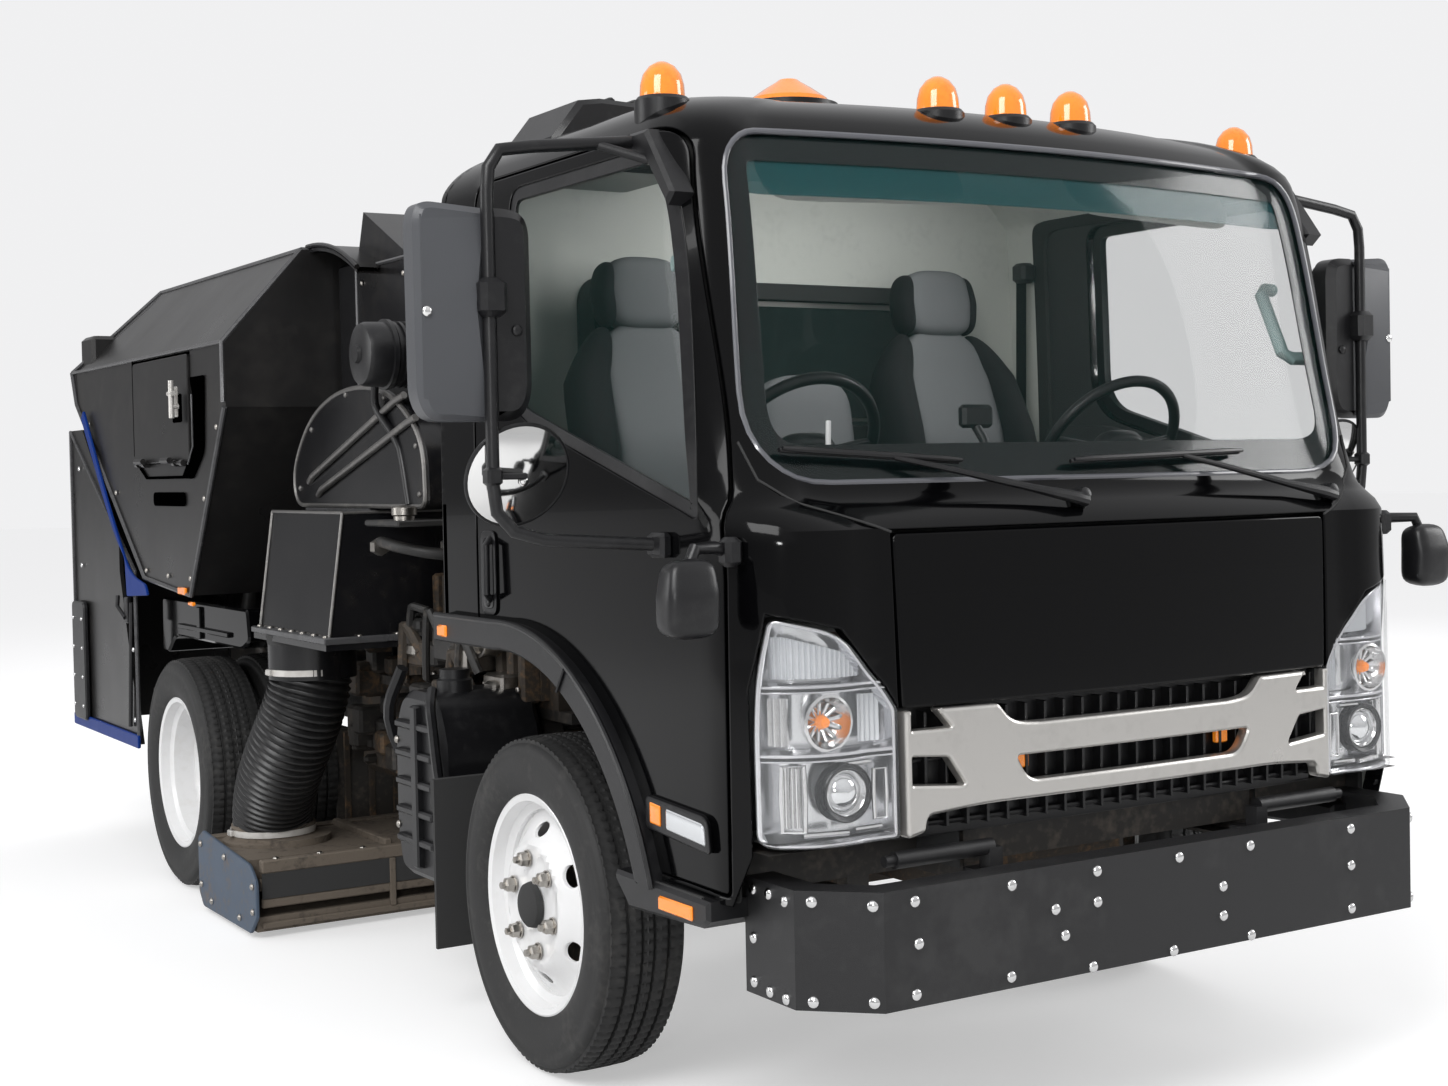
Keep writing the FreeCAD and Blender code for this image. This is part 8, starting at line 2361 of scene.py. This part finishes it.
@dataclass
class Hopper:
    """Details of the hopper, its hatch, the rear panels and the guards."""

    half: float = 1.0

    def build(self) -> None:
        """Makes the pieces at the rear."""
        self.seams()
        self.hatch()
        self.rear_panels()
        self.roof_lid()
        self.guards()

    def seams(self) -> None:
        """Folded flanges along the body's edges, painted lighter as highlights besides rubbed wear; the slot
        and the slotted hole as black plates of painted shade; and the lamps.
        """
        made = Solid()
        for side in (-1.0, 1.0):
            x = side * (self.half + 0.004)
            low = [(x, 2.177, 1.684), (x, 2.62, 1.04), (x, 3.219, 1.081), (x, 4.199, 1.765), (x, 4.266, 1.9)]
            # Flange beads: painted highlight and rubbed wear along the body's edges.
            made.pipe(low, 0.009, 0, 8).pipe([(x, 2.19, 1.9), (x, 4.266, 1.9)], 0.007, 0, 8)
            made.pipe([(side * 0.727, 2.19, 2.214), (side * 0.727, 3.9, 2.214), (x, 4.266, 1.9)], 0.008, 0, 8)
            made.pipe([(x, 2.19, 1.7), (x, 2.19, 1.9), (side * 0.727, 2.19, 2.214)], 0.009, 0, 8)
            for outline in ([(2.4, 1.8, 0.01), (2.56, 1.8, 0.01), (2.535, 1.74, 0.02), (2.535, 1.56, 0.05),
                             (2.69, 1.452, 0.01), (2.56, 1.448, 0.02), (2.42, 1.54, 0.04)],
                            rect(2.66, 3.06, 1.352, 1.402, 0.024)):
                # The slot and the slotted hole are thin black plates: painted shade where the openings are.
                slot = Solid().side_plate(outline, -abs(x) - 0.003, 0.005, 0.001, 1)
                made.join(slot.mirrored() if side > 0 else slot)
            made.pipe([(x + side * 0.004, 2.535, 1.74), (x + side * 0.004, 2.535, 1.56),
                       (x + side * 0.004, 2.6, 1.5)], 0.004, 0, 6)
            made.pipe([(x, 3.3, 1.895), (x, 3.3, 1.54), (x, 3.23, 1.49), (x, 3.15, 1.455), (x, 2.58, 1.455)],
                      0.006, 1, 6)
            made.box((x, 2.665, 1.04), (x + side * 0.01, 2.755, 1.066), 0.003, 2)
            made.box((x - side * 0.01, 2.6, 1.004), (x + side * 0.004, 2.65, 1.018), 0.003, 2)
            made.studs([(x, y, z) for y, z in ((2.27, 1.62), (2.43, 1.38), (2.62, 1.1), (2.9, 1.1),
                                               (3.19, 1.11), (3.6, 1.4), (4.0, 1.68))], (side, 0, 0), 0.01, 3)
        made.pipe([(-0.727, 2.19, 2.214), (0.727, 2.19, 2.214)], 0.009, 0, 8)
        made.put("hopper seams", Body.HOPPER, (BEAD_WEAR_AND_HIGHLIGHT, SLOT_PAINTED_SHADE, AMBER, NUT_STEEL))

    @staticmethod
    def hatch() -> None:
        """The side hatch: a raised framed door with a bright T latch on a black plate of painted shade,
        hinges and a pull.
        """
        made = Solid().side_plate(rect(2.58, 3.293, 1.508, 1.883, 0.02), -1.01, 0.02, 0.003)
        # Black plate behind the latch: painted shade of its recess.
        made.box((-1.036, 2.58, 1.645), (-1.028, 2.68, 1.745), 0.004, 2)
        made.box((-1.042, 2.605, 1.665), (-1.032, 2.65, 1.77), 0.004, 1)
        made.pipe([(-1.035, 2.6, 1.7), (-1.062, 2.6, 1.7)], 0.009, 1)
        made.pipe([(-1.06, 2.6, 1.66), (-1.06, 2.6, 1.79)], 0.01, 1)
        made.pipe([(-1.06, 2.57, 1.745), (-1.06, 2.63, 1.745)], 0.009, 1)
        for y in (2.8, 3.15):
            made.pipe([(-1.03, y - 0.05, 1.515), (-1.03, y + 0.05, 1.515)], 0.011, 0, 10)
        made.put("hatch door", Body.HATCH, (HOPPER_GREY, CLAMP, SLOT_PAINTED_SHADE), ["side_hatch"])

    @staticmethod
    def rear_panels() -> None:
        """Rear side panels with blue strips, gussets, guard rail, toggle latch and lower blue bar."""
        for flip, name in ((False, "right"), (True, "left")):
            made = Solid()
            x = -1.004
            # Edge bead round the panel: painted highlight and rubbed wear.
            made.pipe([(x, 3.36, 0.46), (x, 3.36, 1.1), (x, 4.32, 1.655), (x, 4.32, 0.45), (x, 3.36, 0.45)],
                      0.008, 0, 8)
            made.side_plate([(4.1, 0.46, 0.03), (4.1, 0.95, 0.03), (4.3, 0.95, 0.03), (4.3, 0.46, 0.03)],
                            x - 0.022, 0.022, 0.006, 3)
            made.studs([(x - 0.023, y, z) for y in (4.13, 4.27) for z in (0.52, 0.64, 0.76, 0.88)],
                       (-1, 0, 0), 0.008, 1)
            made.box((x - 0.018, 3.42, 0.9), (x, 3.47, 1.0), 0.004, 3)
            made.pipe([(x - 0.018, 3.45, 0.92), (x - 0.026, 3.53, 0.96), (x - 0.018, 3.55, 1.0)], 0.008, 3)
            made.pipe([(x - 0.006, 3.4, 0.98), (x - 0.006, 3.46, 0.5)], 0.008, 3, 8)
            made.side_plate(rect(3.345, 4.36, 0.425, 0.475, 0.01), x - 0.01, 0.012, 0.003, 2)
            strip = [(4.055, 1.702, 0.01), (4.02, 1.735, 0.01), (3.64, 1.33, 0.3), (3.36, 1.09, 0.1),
                     (3.15, 1.06, 0.02), (3.12, 1.02, 0.01), (3.41, 1.005, 0.01), (3.43, 1.15, 0.03),
                     (3.6, 1.25, 0.3)]
            made.side_plate(strip, x - 0.02, 0.01, 0.002, 2)
            made.studs([(x - 0.002, y, z) for y, z in ((3.4, 0.53), (3.4, 0.8), (4.18, 0.53), (4.18, 1.1),
                                                       (4.18, 1.5))], (-1, 0, 0), 0.01, 1)
            made = made.mirrored() if flip else made
            made.put(f"rear panel trim {name}", Body.CHASSIS, (BEAD_WEAR_AND_HIGHLIGHT, CHROME, BLUE, TRIM))
        lamps = Solid()
        for side in (-1, 1):
            lamps.box((side * 0.7, 4.355, 0.5), (side * 0.92, 4.378, 0.62), 0.006, 1)
            for k in range(3):
                lamps.lathe([(4.375, 0.03), (4.383, 0.028), (4.386, 0.0)],
                            (side * (0.735 + 0.073 * k), 0.0, 0.56), "y", 20, 0 if k != 1 else 2)
        lamps.put("tail lamps", Body.CHASSIS, (RED, TRIM, CLEAR), ["tail_lamps"])

    @staticmethod
    def roof_lid() -> None:
        """The curved lid ahead of the hopper's roof, its duct, and the box at the rear top corner."""
        made = Solid()
        rows = []
        for share in np.linspace(0, 1, 14):
            y, z = 2.2 - 0.46 * share, 2.225 - 0.11 * share ** 2.2
            rows.append([(-0.7, y, z - 0.02), (-0.7, y, z), (0.6, y, z), (0.6, y, z - 0.02)])
        made.grid(np.array(rows), close_v=True)
        made.pipe([(-0.7, 2.2 - 0.46 * s, 2.225 - 0.11 * s ** 2.2) for s in np.linspace(0, 1, 10)],
                  0.009, 0, 8)
        made.box((-0.61, 1.97, 1.45), (0.55, 2.16, 2.16), 0.01)
        made.put("duct lid", Body.CHASSIS, DUCT_BLACK)
        box = Solid()
        for side in (-1.0, 1.0):
            box.box((side * 0.97, 4.06, 1.9), (side * 0.84, 4.25, 2.045), 0.015)
        box.put("rear corner boxes", Body.HOPPER, HOPPER_GREY)

    @staticmethod
    def guards() -> None:
        """Fenders over the rear tyres with their brackets, and flaps behind them."""
        made = Solid()
        for side in (-1.0, 1.0):
            outline = [(2.22, 0.9, 0.02), (2.24, 1.005, 0.02), (3.26, 1.005, 0.02), (3.27, 0.8, 0.02),
                       (3.2, 0.8, 0.01), (3.1, 0.868, 0.05), (2.3, 0.868, 0.03)]
            guard = Solid().side_plate(outline, -0.93, 0.37, 0.008)
            guard.box((-0.942, 2.42, 0.9), (-0.925, 3.02, 0.918), 0.003)
            guard.box((-0.94, 2.75, 0.875), (-0.928, 2.79, 0.99), 0.003)
            made.join(guard.mirrored() if side > 0 else guard)
            made.box((side * 0.58, 2.72, 0.9), (side * 0.64, 2.8, 1.02))
            made.box((side * 0.4, 2.74, 0.93), (side * 0.64, 2.79, 0.96))
            made.box((side * 0.6, 3.3, 0.22), (side * 0.96, 3.31, 0.66), 0.004, 1)
        made.put("rear fenders", Body.CHASSIS, (BLACK_PAINT, RUBBER))


def main() -> None:
    """Builds the truck's visual pieces and the studio."""
    bpy.context.scene.view_settings.view_transform = "Standard"
    dress_nodes()
    for assembly in (CabShell(), Cabin(), RoofKit(), Mirrors(), Wheels(), Front(), Machinery(), Hopper()):
        assembly.build()
    Studio().build()


if __name__ == "__main__":
    main()
